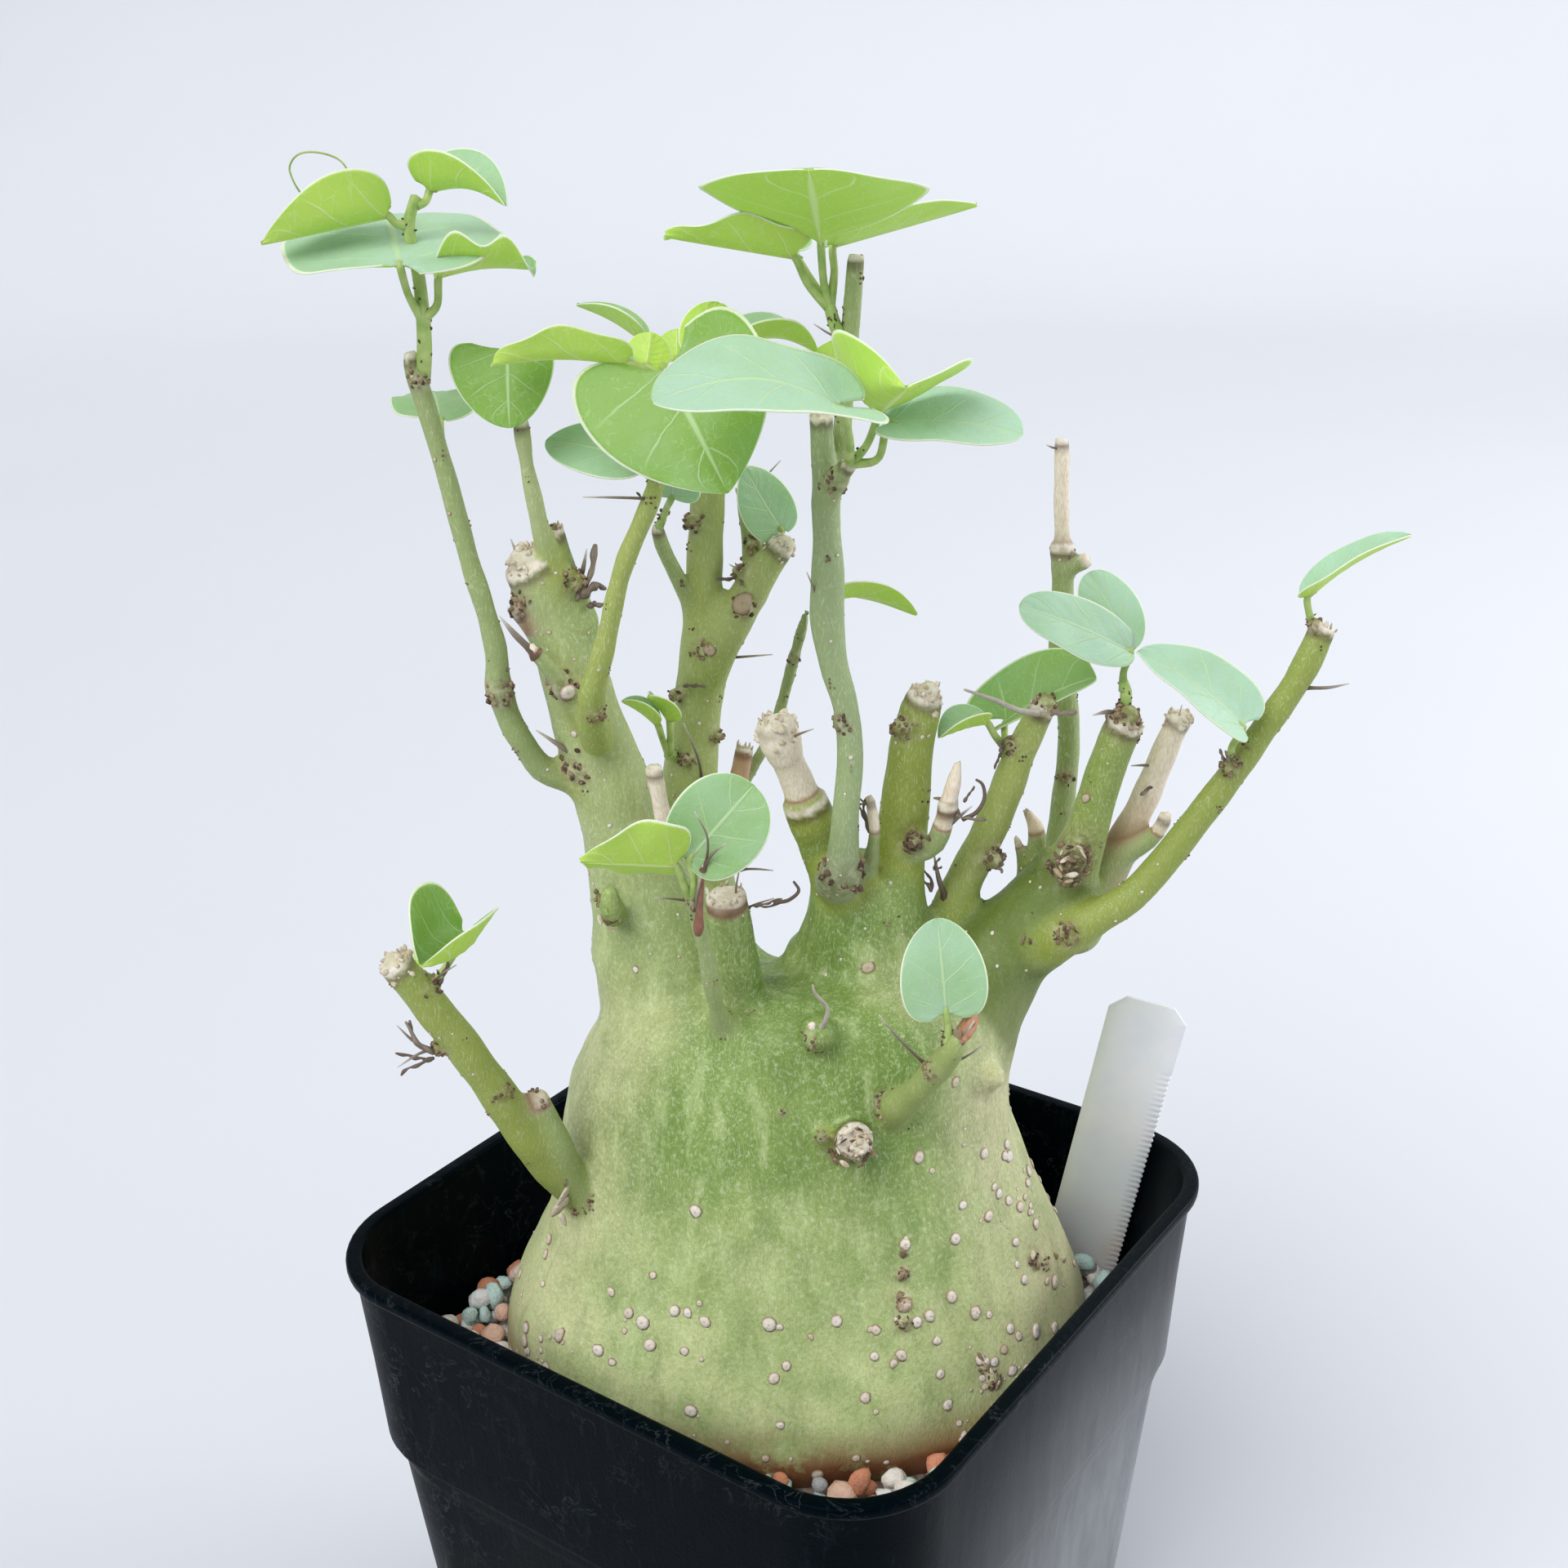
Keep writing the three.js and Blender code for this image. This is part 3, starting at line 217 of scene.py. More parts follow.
# right, away, up and radius from the sunk root to the cut end
stemPaths = {
    "leftArm": [[-18, 5, 184, 18.8], [-22.5, 5, 205, 16.3], [-28.2, 6, 224, 11.3], [-32, 5, 240.5, 8.6],
        [-34.2, 4, 252, 8], [-37.5, 3, 263.5, 7.3], [-40, 2, 276, 6.6], [-42.5, 2, 286, 6.2],
        [-45.5, 1, 295.5, 5.9], [-47.5, 0, 299, 4.9]],
    "leftArmSpur": [[-38.5, 2, 286, 3.8], [-40.4, 1.5, 292.8, 3.2], [-41.5, 1, 298.9, 2.7],
        [-42.5, 1, 304.8, 2.5]],
    "leftTopStem": [[-42, -1, 295, 2.4], [-43.5, -3, 304, 1.9], [-44.5, -4, 310.5, 1.6],
        [-45.5, -5, 319.5, 1.4], [-46, -6, 328, 1.4]],
    "leftLongStem": [[-35, 3, 249, 3.4], [-40.5, 2, 252, 3.3], [-47, 0, 255.5, 2.7], [-50.5, -2, 262, 2.4],
        [-53, -3, 268.5, 2.4], [-54, -4, 274, 2.7], [-54, -5, 282, 2.1], [-55.5, -6, 292, 2],
        [-57.5, -6, 300.5, 1.9], [-59, -6, 308.5, 1.9], [-62, -6, 324, 1.8], [-63.5, -6, 331, 1.9],
        [-65, -6, 337, 1.7], [-65.5, -6, 340.5, 1.2]],
    "leftFrontStem": [[-35, -6, 264, 3.4], [-35.5, -11, 271, 2.9], [-34, -14, 278.5, 2.4],
        [-31.5, -15, 287, 2], [-27, -16, 302.5, 1.8], [-21, -16, 316, 1.7], [-18, -13, 327.5, 1.5],
        [-16.5, -12, 335, 1.3]],
    "leftSpur": [[-37, -3, 267.5, 2.6], [-40.6, -6.5, 274.2, 2.1], [-44, -8, 280.3, 1.5],
        [-46.6, -8.6, 283.8, 1.1]],
    "leftKnob": [[-43, 2, 281, 2.6], [-46, 1, 285, 2.4], [-50, -1, 290, 1.9]],
    "backArm": [[-16, 16, 188, 13], [-17.5, 22, 199, 11], [-18.5, 24, 224.5, 8.3], [-18.5, 25, 243.5, 6.2],
        [-16.5, 26, 258.5, 4.9], [-14.5, 27, 282, 4], [-13, 28, 302.5, 3.6], [-11.5, 28, 312, 3.5]],
    "backArmFork": [[-15, 26, 264, 4], [-9.5, 24, 276.5, 4.1], [-6, 24, 282.5, 3.9], [-2.5, 24, 288.5, 3.6],
        [2.5, 24, 295, 2.7]],
    "backArmTwin": [[-3.5, 26, 284, 2.2], [-4, 30, 295, 2.2], [-4.5, 31, 304.5, 2.1]],
    "backArmTwig": [[-15.5, 26.5, 279, 2], [-20, 22, 290.5, 1.6], [-22.5, 19, 298, 1.5],
        [-23, 18, 301.5, 1.3]],
    "backRidge": [[10, 18, 187, 6], [-2.5, 25, 192, 4.6], [-14, 24, 207, 4.6]],
    "backShoot": [[-16, 26, 226, 1.6], [-8, 33, 237, 1.4], [0, 38, 250, 1.2], [2.5, 39, 257.5, 1.3],
        [4.5, 39, 265, 1.2], [6, 38, 271, 1.2], [7.5, 36, 277, 0.8]],
    "backStub": [[-12, 26, 230, 2.2], [-8, 30, 241, 2.1], [-6.5, 31, 248, 1.9]],
    "leftBud": [[-33.5, -7, 226, 2.8], [-33.6, -11, 229.5, 2.3], [-33.8, -12, 232.8, 1.7]],
    "greyStub": [[-22, -1, 236, 2], [-22.5, -7, 247, 1.7], [-24, -9, 259, 1.6]],
    "middleArm": [[19, 4, 186, 22], [19, 4, 201, 18], [19, 3, 213, 14.4], [19, 2, 224, 11.2],
        [19, 2, 232, 8.6]],
    "middleLeftFork": [[17, 2, 222, 7.4], [15, 2, 227, 6.9], [10.5, 2, 235.5, 5.3], [6.2, 1, 247, 4.2]],
    "middleLeftCork": [[7.5, 1, 243, 3.7], [4.5, 0, 252, 3.5], [2.7, -1, 257, 3.4], [1.5, -2, 261, 4.3],
        [0, -2, 266, 3.4]],
    "middleRightFork": [[23, 2, 220, 7], [26, 2, 237, 5.4], [27, 1, 248.5, 5], [28, 0, 258.5, 4.5],
        [29.5, -1, 266.5, 4.1], [30.7, -2, 271, 3.3]],
    "tallStem": [[13, -4, 231, 5], [13, -11, 236, 4.4], [13.5, -13, 241, 3.3], [14, -14, 249.5, 2.7],
        [15, -13, 262, 2.6], [14, -12, 273, 2.5], [12, -11, 280, 2.8], [11, -10, 287, 3.3],
        [11, -10, 301.5, 2.9], [10.5, -10, 318, 2.4], [10, -10, 328.5, 2.1]],
    "tallStemTwin": [[11.2, -9, 308, 1.6], [13.5, -6, 319.5, 1.7], [14.5, -4, 328.5, 1.8],
        [15.5, -3, 337, 1.7], [16, -2, 344.5, 1.7], [17, -2, 356, 1.5]],
    "tallStemSpur": [[11, -11, 312, 1.9], [13.5, -15, 318.5, 1.8], [15.5, -17, 321, 1.5]],
    "middleSideShoot": [[27, -1, 236, 2.6], [32, -5, 239, 2.2], [34, -7, 244.5, 2], [35, -8, 249.5, 1.8]],
    "middleSideTip": [[34.9, -8, 249, 1.7], [36, -8, 254.5, 1.4], [37, -8, 260, 0.4]],
    "middleTwig": [[19, -5, 233, 2], [20, -9, 244, 1.2], [19, -9, 252, 0.9]],
    "rightSlimStem": [[31, 7, 203, 6], [35, 8, 211.5, 5.3], [39, 8, 223, 4.1], [44, 8, 234, 3.8],
        [48, 8, 244.5, 3.5], [51, 8, 253.5, 3.2], [55.5, 8, 264, 2.8]],
    "rightBackStem": [[59, 14, 212, 4], [62.5, 27, 223, 2.9], [64.5, 31, 239.5, 2.5], [65, 32, 249, 2.4],
        [64, 32, 258.5, 2.4], [62.5, 32, 269.5, 2.5], [62.5, 32, 279, 2.5], [62, 32, 292, 2.3]],
    "rightBackStick": [[62, 32, 291, 1.8], [61.5, 32, 302, 1.6], [61, 32, 315, 1.5]],
    "rightBackBud": [[62.5, 32, 287, 1.7], [65, 30.5, 288, 1.6], [67, 29, 289.5, 1.7]],
    "rightArm": [[29, 1, 180, 16.5], [38.6, 2, 195, 13.2], [47.3, 3, 209.2, 10.4], [55.5, 4, 218.5, 9.2],
        [62, 4, 229, 7]],
    "rightFork": [[60, 4, 222, 6.6], [65, 3, 239.5, 4.4], [67.5, 2, 250, 4], [70, 1, 259.5, 3.9],
        [71.5, 0, 263.5, 3.8]],
    "rightDryStem": [[64, 7, 214, 5], [68.5, 10, 220.5, 4.6], [75.5, 10, 236.5, 3.2], [78.5, 9, 245, 2.9],
        [82.5, 8, 257.5, 2.7], [84, 8, 261.5, 2.8]],
    "rightDrySpur": [[71, 9, 228, 3], [75, 6.5, 232, 2.1], [78.5, 5, 235, 1.7], [80.6, 4, 238.5, 1.6],
        [81.2, 3, 242, 1.3]],
    "rightLongStem": [[54, -1, 215, 6], [60, -4, 218.5, 5.1], [66.5, -6, 223, 3.7], [73, -6, 227.5, 3.2],
        [79.5, -5, 234.5, 3.1], [85.5, -4, 242.5, 3], [95.5, -2, 256.5, 2.8], [105, 0, 271, 2.7],
        [108, 1, 277, 2.8], [110, 2, 282, 2.7]],
    "rightStub": [[54, 10, 215, 3], [55.5, 14, 225, 2.1], [56, 14, 234, 1.8], [53, 14, 239.5, 0.4]],
    "rightHook": [[54, 10, 216, 2], [53.5, 12, 224.5, 1.5], [52.2, 12, 231, 0.9], [50.5, 12, 234.5, 0.4]],
    "lowLeftBranch": [[-37, -8, 157, 6], [-44, -13, 164, 5], [-51.5, -20, 179.5, 4.3],
        [-57.5, -24, 194, 3.8], [-67.5, -29, 216, 3.4], [-74, -32, 228.5, 3.3]],
    "lowLeftSpur": [[-40, -16, 160, 3], [-44, -18.5, 170, 2.4], [-46, -20, 178.5, 2.5],
        [-50, -20.5, 190.5, 2]],
    "lowMiddleShoot": [[-10, -14, 201, 3], [-12, -22, 209.5, 2.5], [-13, -26, 218.5, 1.9],
        [-14, -29, 229, 1.7], [-16.5, -31, 241.5, 1.2]],
    "lowMiddleStub": [[-8, -4, 195, 9], [-8.3, -11, 208, 6.2], [-9, -14, 221, 4.7], [-10, -16, 234, 4.1]],
    "lowRightShoot": [[20.5, -19, 182, 3.6], [23.4, -27.5, 191, 3.3], [27, -35.5, 199.5, 2.8],
        [30.5, -41.5, 208, 2.5], [33, -45.5, 214.5, 2.1], [33.6, -46.3, 217, 1.6]],
    "frontScar": [[13.2, -22, 181.5, 5.6], [14.9, -34.2, 187.6, 3.7]],
    "frontScarSpur": [[11, -26, 183.5, 2.2], [8.2, -32.5, 187.8, 1.5]],
    "frontKnob": [[8, -16, 202, 5], [7.9, -25.5, 207.2, 3.3]],
    "flankKnob": [[40, -11, 189, 3], [44.5, -16.5, 191.5, 1.8]],
}

# stems that end in a point or a twig and not in a flat cut
pointedStems = {"leftBud", "leftSpur", "backShoot", "middleSideTip", "rightStub", "rightHook", "lowLeftSpur",
                "lowMiddleShoot", "lowRightShoot", "frontScarSpur", "frontKnob", "flankKnob"}

# arms that others go on from
openStems = {"middleArm", "rightArm", "backRidge"}

# how widely a stem flows into what bears it, in millimetres; the rest by their radius
stemFlow = {"leftArm": 2.8, "backArm": 5, "middleArm": 5, "rightArm": 5, "rightSlimStem": 3.5,
    "backRidge": 4, "lowMiddleStub": 1.8, "middleLeftFork": 3.5, "middleRightFork": 3.5, "tallStem": 1.4,
    "rightLongStem": 3, "leftLongStem": 2.5, "lowLeftBranch": 1.8, "lowRightShoot": 0.7, "frontScar": 1.6,
    "frontKnob": 1.4, "leftBud": 1.2, "backArmFork": 3.5, "leftFrontStem": 1.4, "rightFork": 4}

# 0 is old bark, 1 a fresh smooth shoot
stemYouth = {"leftArm": 0.3, "backArm": 0.45, "middleArm": 0.25, "rightArm": 0.25, "rightSlimStem": 0.5,
    "backRidge": 0.2, "lowMiddleStub": 0.3, "middleLeftFork": 0.35, "middleRightFork": 0.5,
    "backArmFork": 0.45, "rightFork": 0.4, "lowLeftBranch": 0.6, "lowRightShoot": 0.72, "frontScar": 0.3,
    "frontKnob": 0.2, "flankKnob": 0.3, "tallStem": 0.95, "rightLongStem": 0.6, "leftFrontStem": 0.6,
    "leftArmSpur": 0.3, "leftSpur": 0.8, "leftKnob": 0.2, "leftBud": 0.35}

# above 0 the bark is paler than the trunk's, below 0 deeper: partly the stems' own tint, partly painted
# light on the lit left arm and painted shade on the right arm
stemTintAndLight = {"leftArm": 0.5, "backArm": 0.35, "backArmFork": 0.35, "rightArm": -1.3, "leftArmSpur": -0.6,
    "leftFrontStem": 0.1, "rightFork": 0.1, "rightLongStem": -0.2, "leftTopStem": 0.4, "rightSlimStem": 0.2}

# where along a stem, as a share of its length, it has died back to dry wood
stemDryFrom = {"middleLeftCork": 0.25, "middleSideTip": 0.1, "rightBackStick": 0.0, "rightDryStem": 0.36,
    "greyStub": 0.1, "rightStub": 0.75, "rightHook": 0.8, "lowLeftSpur": 0.95, "leftSpur": 0.95,
    "middleSideShoot": 0.7, "rightDrySpur": 0.72, "leftKnob": 0.5, "lowMiddleStub": 0.94, "backStub": 0.5,
    "middleTwig": 0.6}

# over how much of a stem the bark gives way to dry wood, where that isn't at once
stemDryWidth = {"rightDryStem": 0.4, "lowMiddleStub": 0.06}

# how rusty the dry wood is a third of the way up a stem, and near its end
stemRust = {"backStub": (1, 0.7), "rightDryStem": (0.55, 0), "lowMiddleStub": (0.6, 0.6),
    "middleSideTip": (0.1, 0), "greyStub": (0.1, 0), "rightStub": (0.2, 0.2)}


def easedSections():
    # the sections at every half millimetre, each value averaged over its neighbours
    table = np.array(trunk["sections"], float)
    h = np.arange(table[0, 0], table[-1, 0] + 0.25, 0.5)
    reach = int(trunk["easing"] / 0.5) * 2
    weights = np.exp(-0.5 * (np.arange(-reach, reach + 1) * 0.5 / trunk["easing"]) ** 2)
    weights /= weights.sum()
    columns = [np.interp(h, table[:, 0], table[:, k]) for k in range(1, 5)]
    padded = [np.concatenate([2 * c[0] - c[reach:0:-1], c,
                              2 * c[-1] - c[-2:-reach - 2:-1]]) for c in columns]
    return h, [np.convolve(c, weights, "valid") for c in padded]


sectionHeights, sectionColumns = easedSections()
sectionSlopes = [np.gradient(c, sectionHeights) for c in sectionColumns]


def trunkSection(h):
    return [np.interp(h, sectionHeights, c) for c in sectionColumns]


def swellOf(angle, h):
    return 1 + 0.012 * np.sin(3 * angle - 2.9) + 0.01 * np.sin(5 * angle + h / 17)


def trunkDistance(p):
    # rho is how many half widths from the middle of the section at that height; the
    # distance is rho less 1, over how fast rho changes there; planes close top and foot
    h = np.clip(p[:, 2], sectionHeights[0], sectionHeights[-1])
    right, away, wide, deep = trunkSection(h)
    x, y = p[:, 0] - right, p[:, 1] - away
    swell = swellOf(np.arctan2(y / deep, x / wide), h)
    wide, deep = wide * swell, deep * swell
    rho = np.maximum(np.sqrt((x / wide) ** 2 + (y / deep) ** 2), 0.05)
    flat = np.sqrt((x / wide ** 2) ** 2 + (y / deep ** 2) ** 2) / rho
    wideSlope, deepSlope = (np.interp(h, sectionHeights, s) for s in sectionSlopes[2:])
    upright = (x * x * wideSlope / wide ** 3 + y * y * deepSlope / deep ** 3) / rho
    wall = (rho - 1) / np.sqrt(flat ** 2 + upright ** 2)
    return np.maximum(wall, np.maximum(p[:, 2] - sectionHeights[-1], sectionHeights[0] - p[:, 2]))


def stemDistance(p, line, flatEnd):
    # nearest of the cones between neighbouring samples, cut square at the end; also how
    # far along the stem that is, as a share, and the distance past the cut
    a, along = line[:-1], np.diff(line, axis=0)
    rel = p[:, None, :] - a[None, :, :3]
    t = np.clip(np.einsum("nsk,sk->ns", rel, along[:, :3]) / (along[:, :3] ** 2).sum(1), 0, 1)
    gap = np.linalg.norm(rel - t[..., None] * along[None, :, :3], axis=-1) - (a[:, 3] + t * along[:, 3])
    k = np.argmin(gap, axis=1)
    rows = np.arange(len(p))
    distance, share = gap[rows, k], (k + t[rows, k]) / len(a)
    past = (p - line[-1, :3]) @ unit(line[-1, :3] - line[-3, :3])
    if flatEnd:
        distance = np.where(share > 0.7, np.maximum(distance, past), distance)
    return distance, share, past


def flowed(a, b, reach):
    # the lesser of two distances, rounded where they are within reach of each other
    mix = np.clip(0.5 + 0.5 * (b - a) / reach, 0, 1)
    return b + (a - b) * mix - reach * mix * (1 - mix)


def waves(p, width, seed, count=7):
    # a soft uneven field between about -1 and 1: a sum of slanted sine waves
    rng = np.random.default_rng(seed)
    heading = unit(rng.normal(size=(count, 3)))
    pace = 2 * math.pi / (width * rng.uniform(0.6, 1.5, count))
    return np.sin(p @ (heading * pace[:, None]).T + rng.uniform(0, 6.3, count)).sum(1) / math.sqrt(count)


stemLines = {key: smoothPath(path, max(8, int(np.linalg.norm(np.subtract(path[-1], path[0])[:3]) / 2.2)))
             for key, path in stemPaths.items()}


def bodyField(p, marks=False):
    # distance to the skin of the whole grown body, and with marks what grows where
    nearest = trunkDistance(p)
    tone = {key: np.zeros(len(p)) for key in ("youth", "fresh", "dry", "cut", "rim", "shade", "rust")}
    weight = np.exp(-np.clip(nearest, -3, 30) / blending["trunkFade"])
    ownWeight = np.zeros(len(p))
    for key, line in stemLines.items():
        flow = stemFlow.get(key, min(3.2, 1.1 * line[0, 3]))
        reach = line[:, 3].max() + flow + 5
        near = np.all((p > line[:, :3].min(0) - reach) & (p < line[:, :3].max(0) + reach), axis=1)
        if not near.any():
            continue
        d, share, past = stemDistance(p[near], line, key not in pointedStems)
        nearest[near] = flowed(nearest[near], d, flow)
        if marks:
            w = np.exp(-np.clip(d, -3, 30) / blending["stemFade"]) * blending["stemWeight"]
            dryFrom = stemDryFrom.get(key, 2.0)
            dry = np.clip((share - dryFrom) / stemDryWidth.get(key, 0.07) + 0.5, 0, 1)
            tone["youth"][near] += w * stemYouth.get(key, 0.8)
            tone["dry"][near] += w * dry
            tone["shade"][near] += w * stemTintAndLight.get(key, 0) * np.clip((share - 0.12) / 0.25, 0, 1)
            tone["rust"][near] += w * np.interp(share, [0.35, 0.7], stemRust.get(key, (0, 0)))
            ownWeight[near] += w
            if key not in pointedStems | openStems:
                onEnd = d < blending["onEnd"]
                inside = np.clip((1 - np.abs(past + 0.1)) / blending["cutDepth"], 0, 1) * onEnd
                tone["cut"][near] = np.maximum(tone["cut"][near], inside)
                ring = np.exp(-((past + blending["rimFrom"]) / blending["rimWidth"]) ** 2)
                ring = ring * onEnd * (share > 0.8)
                tone["rim"][near] = np.maximum(tone["rim"][near], ring)
    for spot, radius in scabSpots + corkSpots:
        gap = np.linalg.norm(p - spot, axis=1)
        nearest = flowed(nearest, gap - radius * blending["scabSink"], blending["scabFlow"])
    old = np.clip(1 - trunkDistance(p) / 12, 0, 1)
    (lump, lumpWidth), (ripple, rippleWidth) = trunk["lumps"], trunk["ripples"]
    nearest = nearest - lump * waves(p, lumpWidth, 5) * old - ripple * waves(p, rippleWidth, 9)
    if not marks:
        return nearest
    # fresh is how young the nearest stem is, youth also fades into the trunk
    tone["fresh"] = tone["youth"] / np.maximum(ownWeight, 1e-6)
    for key in ("youth", "dry", "shade", "rust"):
        tone[key] /= weight + ownWeight
    # the flanks of the trunk as seen from the front are paler and tan, the right one more: partly a
    # weathered tan, partly painted side light
    middle, _, wide, _ = trunkSection(p[:, 2])
    flank = np.clip((np.abs(p[:, 0] - middle) / wide - 0.5) / 0.42, 0, 1)
    side = np.where(p[:, 0] > middle, 1.25, 0.85)
    tone["flankLightAndTan"] = side * flank * flank * (3 - 2 * flank) * np.clip(
        (blending["flankLightTop"] - p[:, 2]) / blending["flankLightFade"], 0, 1)
    scab = np.zeros(len(p))
    for spot, radius in scabSpots:
        gap = np.linalg.norm(p - spot, axis=1)
        scab = np.maximum(scab, np.exp(-(gap / (radius * blending["scabReach"])) ** 2))
    tone["scab"] = scab
    for spot, radius in corkSpots:
        tone["cut"] = np.maximum(tone["cut"], np.exp(-(np.linalg.norm(p - spot, axis=1) / radius) ** 4))
    return nearest, tone


def trunkLoft():
    # ellipses of the sections, one above the other, closed by fans
    h = np.linspace(sectionHeights[0], sectionHeights[-1], trunk["rings"])[:, None]
    turn = np.linspace(0, 2 * math.pi, trunk["sides"], endpoint=False)[None]
    right, away, wide, deep = trunkSection(h)
    swell = swellOf(turn, h)
    x, y = right + wide * swell * np.cos(turn), away + deep * swell * np.sin(turn)
    points = np.stack([x, y, np.broadcast_to(h, x.shape)], -1).reshape(-1, 3)
    points = np.concatenate([points, [[3, 3, sectionHeights[0]], [6, 2.5, sectionHeights[-1]]]])
    return points, *closedRings(trunk["rings"], trunk["sides"])


def finished(piece, kind, **settings):
    # the piece's mesh as one modifier leaves it
    modifier = piece.modifiers.new("finish", kind)
    for key, value in settings.items():
        setattr(modifier, key, value)
    graph = bpy.context.evaluated_depsgraph_get()
    mesh = bpy.data.meshes.new_from_object(piece.evaluated_get(graph))
    piece.modifiers.remove(modifier)
    old = piece.data
    piece.data = mesh
    bpy.data.meshes.remove(old)
    mesh.name = piece.name


def remeshed(piece, voxel):
    # one even skin over all that overlaps
    finished(piece, "REMESH", mode="VOXEL", voxel_size=voxel * 0.001, use_smooth_shade=True)


def rowsOf(values, key):
    # the co or vector of all vertices or normals, as rows of three
    flat = np.empty(len(values) * 3, np.float32)
    values.foreach_get(key, flat)
    return flat.reshape(-1, 3).astype(float)


def settle(mesh, rounds, most):
    # moves each point along its normal onto the flowed skin
    for _ in range(rounds):
        p, n = rowsOf(mesh.vertices, "co"), rowsOf(mesh.vertex_normals, "vector")
        step = np.clip(bodyField(toPlant(p)), -most, most)
        mesh.vertices.foreach_set("co", (p - n * step[:, None] * 0.00085).astype(np.float32).ravel())
        mesh.update()


def buildCaudex():
    parts = [trunkLoft()]
    parts += [tube(path, 16, max(5, len(stemLines[key]))) for key, path in stemPaths.items()]
    points, quads, tris, _ = joined(parts)
    piece = meshPiece("caudex", points, quads, tris, [])
    for cell, rounds, most in trunk["rounds"]:
        remeshed(piece, trunk["voxel"] * cell)
        settle(piece.data, rounds, most)
    finished(piece, "DECIMATE", ratio=min(1, trunk["triangles"] / (2 * len(piece.data.polygons))))
    piece.data.polygons.foreach_set("use_smooth", np.ones(len(piece.data.polygons), bool))
    addAttributes(piece.data, bodyField(toPlant(rowsOf(piece.data.vertices, "co")), True)[1])
    print("stage: caudex,", len(piece.data.polygons), "faces")
    return piece


# Materials


def linear(hexText):
    # an sRGB hex value as linear red, green, blue and alpha
    value = np.array([int(hexText[k:k + 2], 16) for k in (1, 3, 5)]) / 255
    value = np.where(value <= 0.04045, value / 12.92, ((value + 0.055) / 1.055) ** 2.4)
    return (*value.tolist(), 1.0)


def feed(tree, node, inputs):
    # a socket is linked, anything else becomes the input's own value; a dictionary names
    # the inputs, a list fills them in order
    for key, value in inputs.items() if isinstance(inputs, dict) else enumerate(inputs):
        if isinstance(value, bpy.types.NodeSocket):
            tree.links.new(value, node.inputs[key])
        else:
            node.inputs[key].default_value = linear(value) if isinstance(value, str) else value


def add(tree, kind, inputs=(), out=0, stops=(), between="LINEAR", **settings):
    # one node with its settings and links; gives back one of its outputs
    node = tree.nodes.new("ShaderNode" + kind)
    for key, value in settings.items():
        setattr(node, key, value)
    feed(tree, node, inputs)
    if stops:
        ramp = node.color_ramp
        ramp.interpolation = between
        while len(ramp.elements) < len(stops):
            ramp.elements.new(0.5)
        for element, (at, shade) in zip(ramp.elements, stops):
            element.position, element.color = at, linear(shade)
    return node.outputs[out]


def cover(tree, *factors):
    # the product of numbers, sockets and tuples; a tuple is a socket with the two values
    # between which it goes from 0 to 1, or from a third value to a fourth
    product = None
    for factor in factors:
        if isinstance(factor, tuple):
            factor = add(tree, "MapRange", factor)
        if product is not None:
            factor = add(tree, "Math", [product, factor], operation="MULTIPLY", use_clamp=True)
        product = factor
    return product


def layered(tree, base, *layers):
    # colour laid over colour; each layer is its colour and the factors of how much it covers
    for colour, *factors in layers:
        base = add(tree, "Mix", {0: cover(tree, *factors), 6: base, 7: colour}, 2, data_type="RGBA")
    return base


def surfaced(tree, surface, shade, roughness, height, depth, strength=1.0, others={}):
    # what every surface here gets: a colour, a roughness and a relief, its depth in metres
    normal = add(tree, "Bump", {"Height": height, "Distance": depth, "Strength": strength})
    feed(tree, surface, {"Base Color": shade, "Roughness": roughness, "Normal": normal, **others})


def substance(name):
    # a material is painted once and then kept
    def named(paint):
        def material():
            if name not in bpy.data.materials:
                made = bpy.data.materials.new(name)
                made.use_nodes = True
                paint(made.node_tree, made.node_tree.nodes["Principled BSDF"])
            return bpy.data.materials[name]
        return material
    return named


bark = {
    "green": "#678731", "pale": "#96ac5a", "deep": "#567230", "low": "#dae8a8", "tan": "#e3d8a4",
    "flankLitTan": "#dfd8ab", "foot": "#8a5a38", "streak": "#e9f0d0", "rust": "#b8784a", "seam": "#7d5038",
    "seamPale": "#a9744f", "litPaleArm": "#d5d9a6", "shadedDeepArm": "#54680f", "shoot": "#98a540",
    "freshShoot": "#9aab79", "dry": "#f8ecdc", "dryDark": "#e6d3b8", "cut": "#efe7da", "ring": "#54392a",
    "scab": "#6a4f3a", "scabPale": "#d5c8b2",
    # noise cells to the metre, detail and roughness: mottling, grain, patches, pores
    "noises": [(46, 5, 0.6), (420, 4, 0.65), (70, 6, 0.7), (1100, 3, 0.6)],
    # cells to the metre across and along the stem: flecks 0.25 by 1.4 mm, bands 4 mm wide
    "stretched": [((3800, 3800, 520), 2, 0.5), ((240, 240, 45), 4, 0.6)],
}


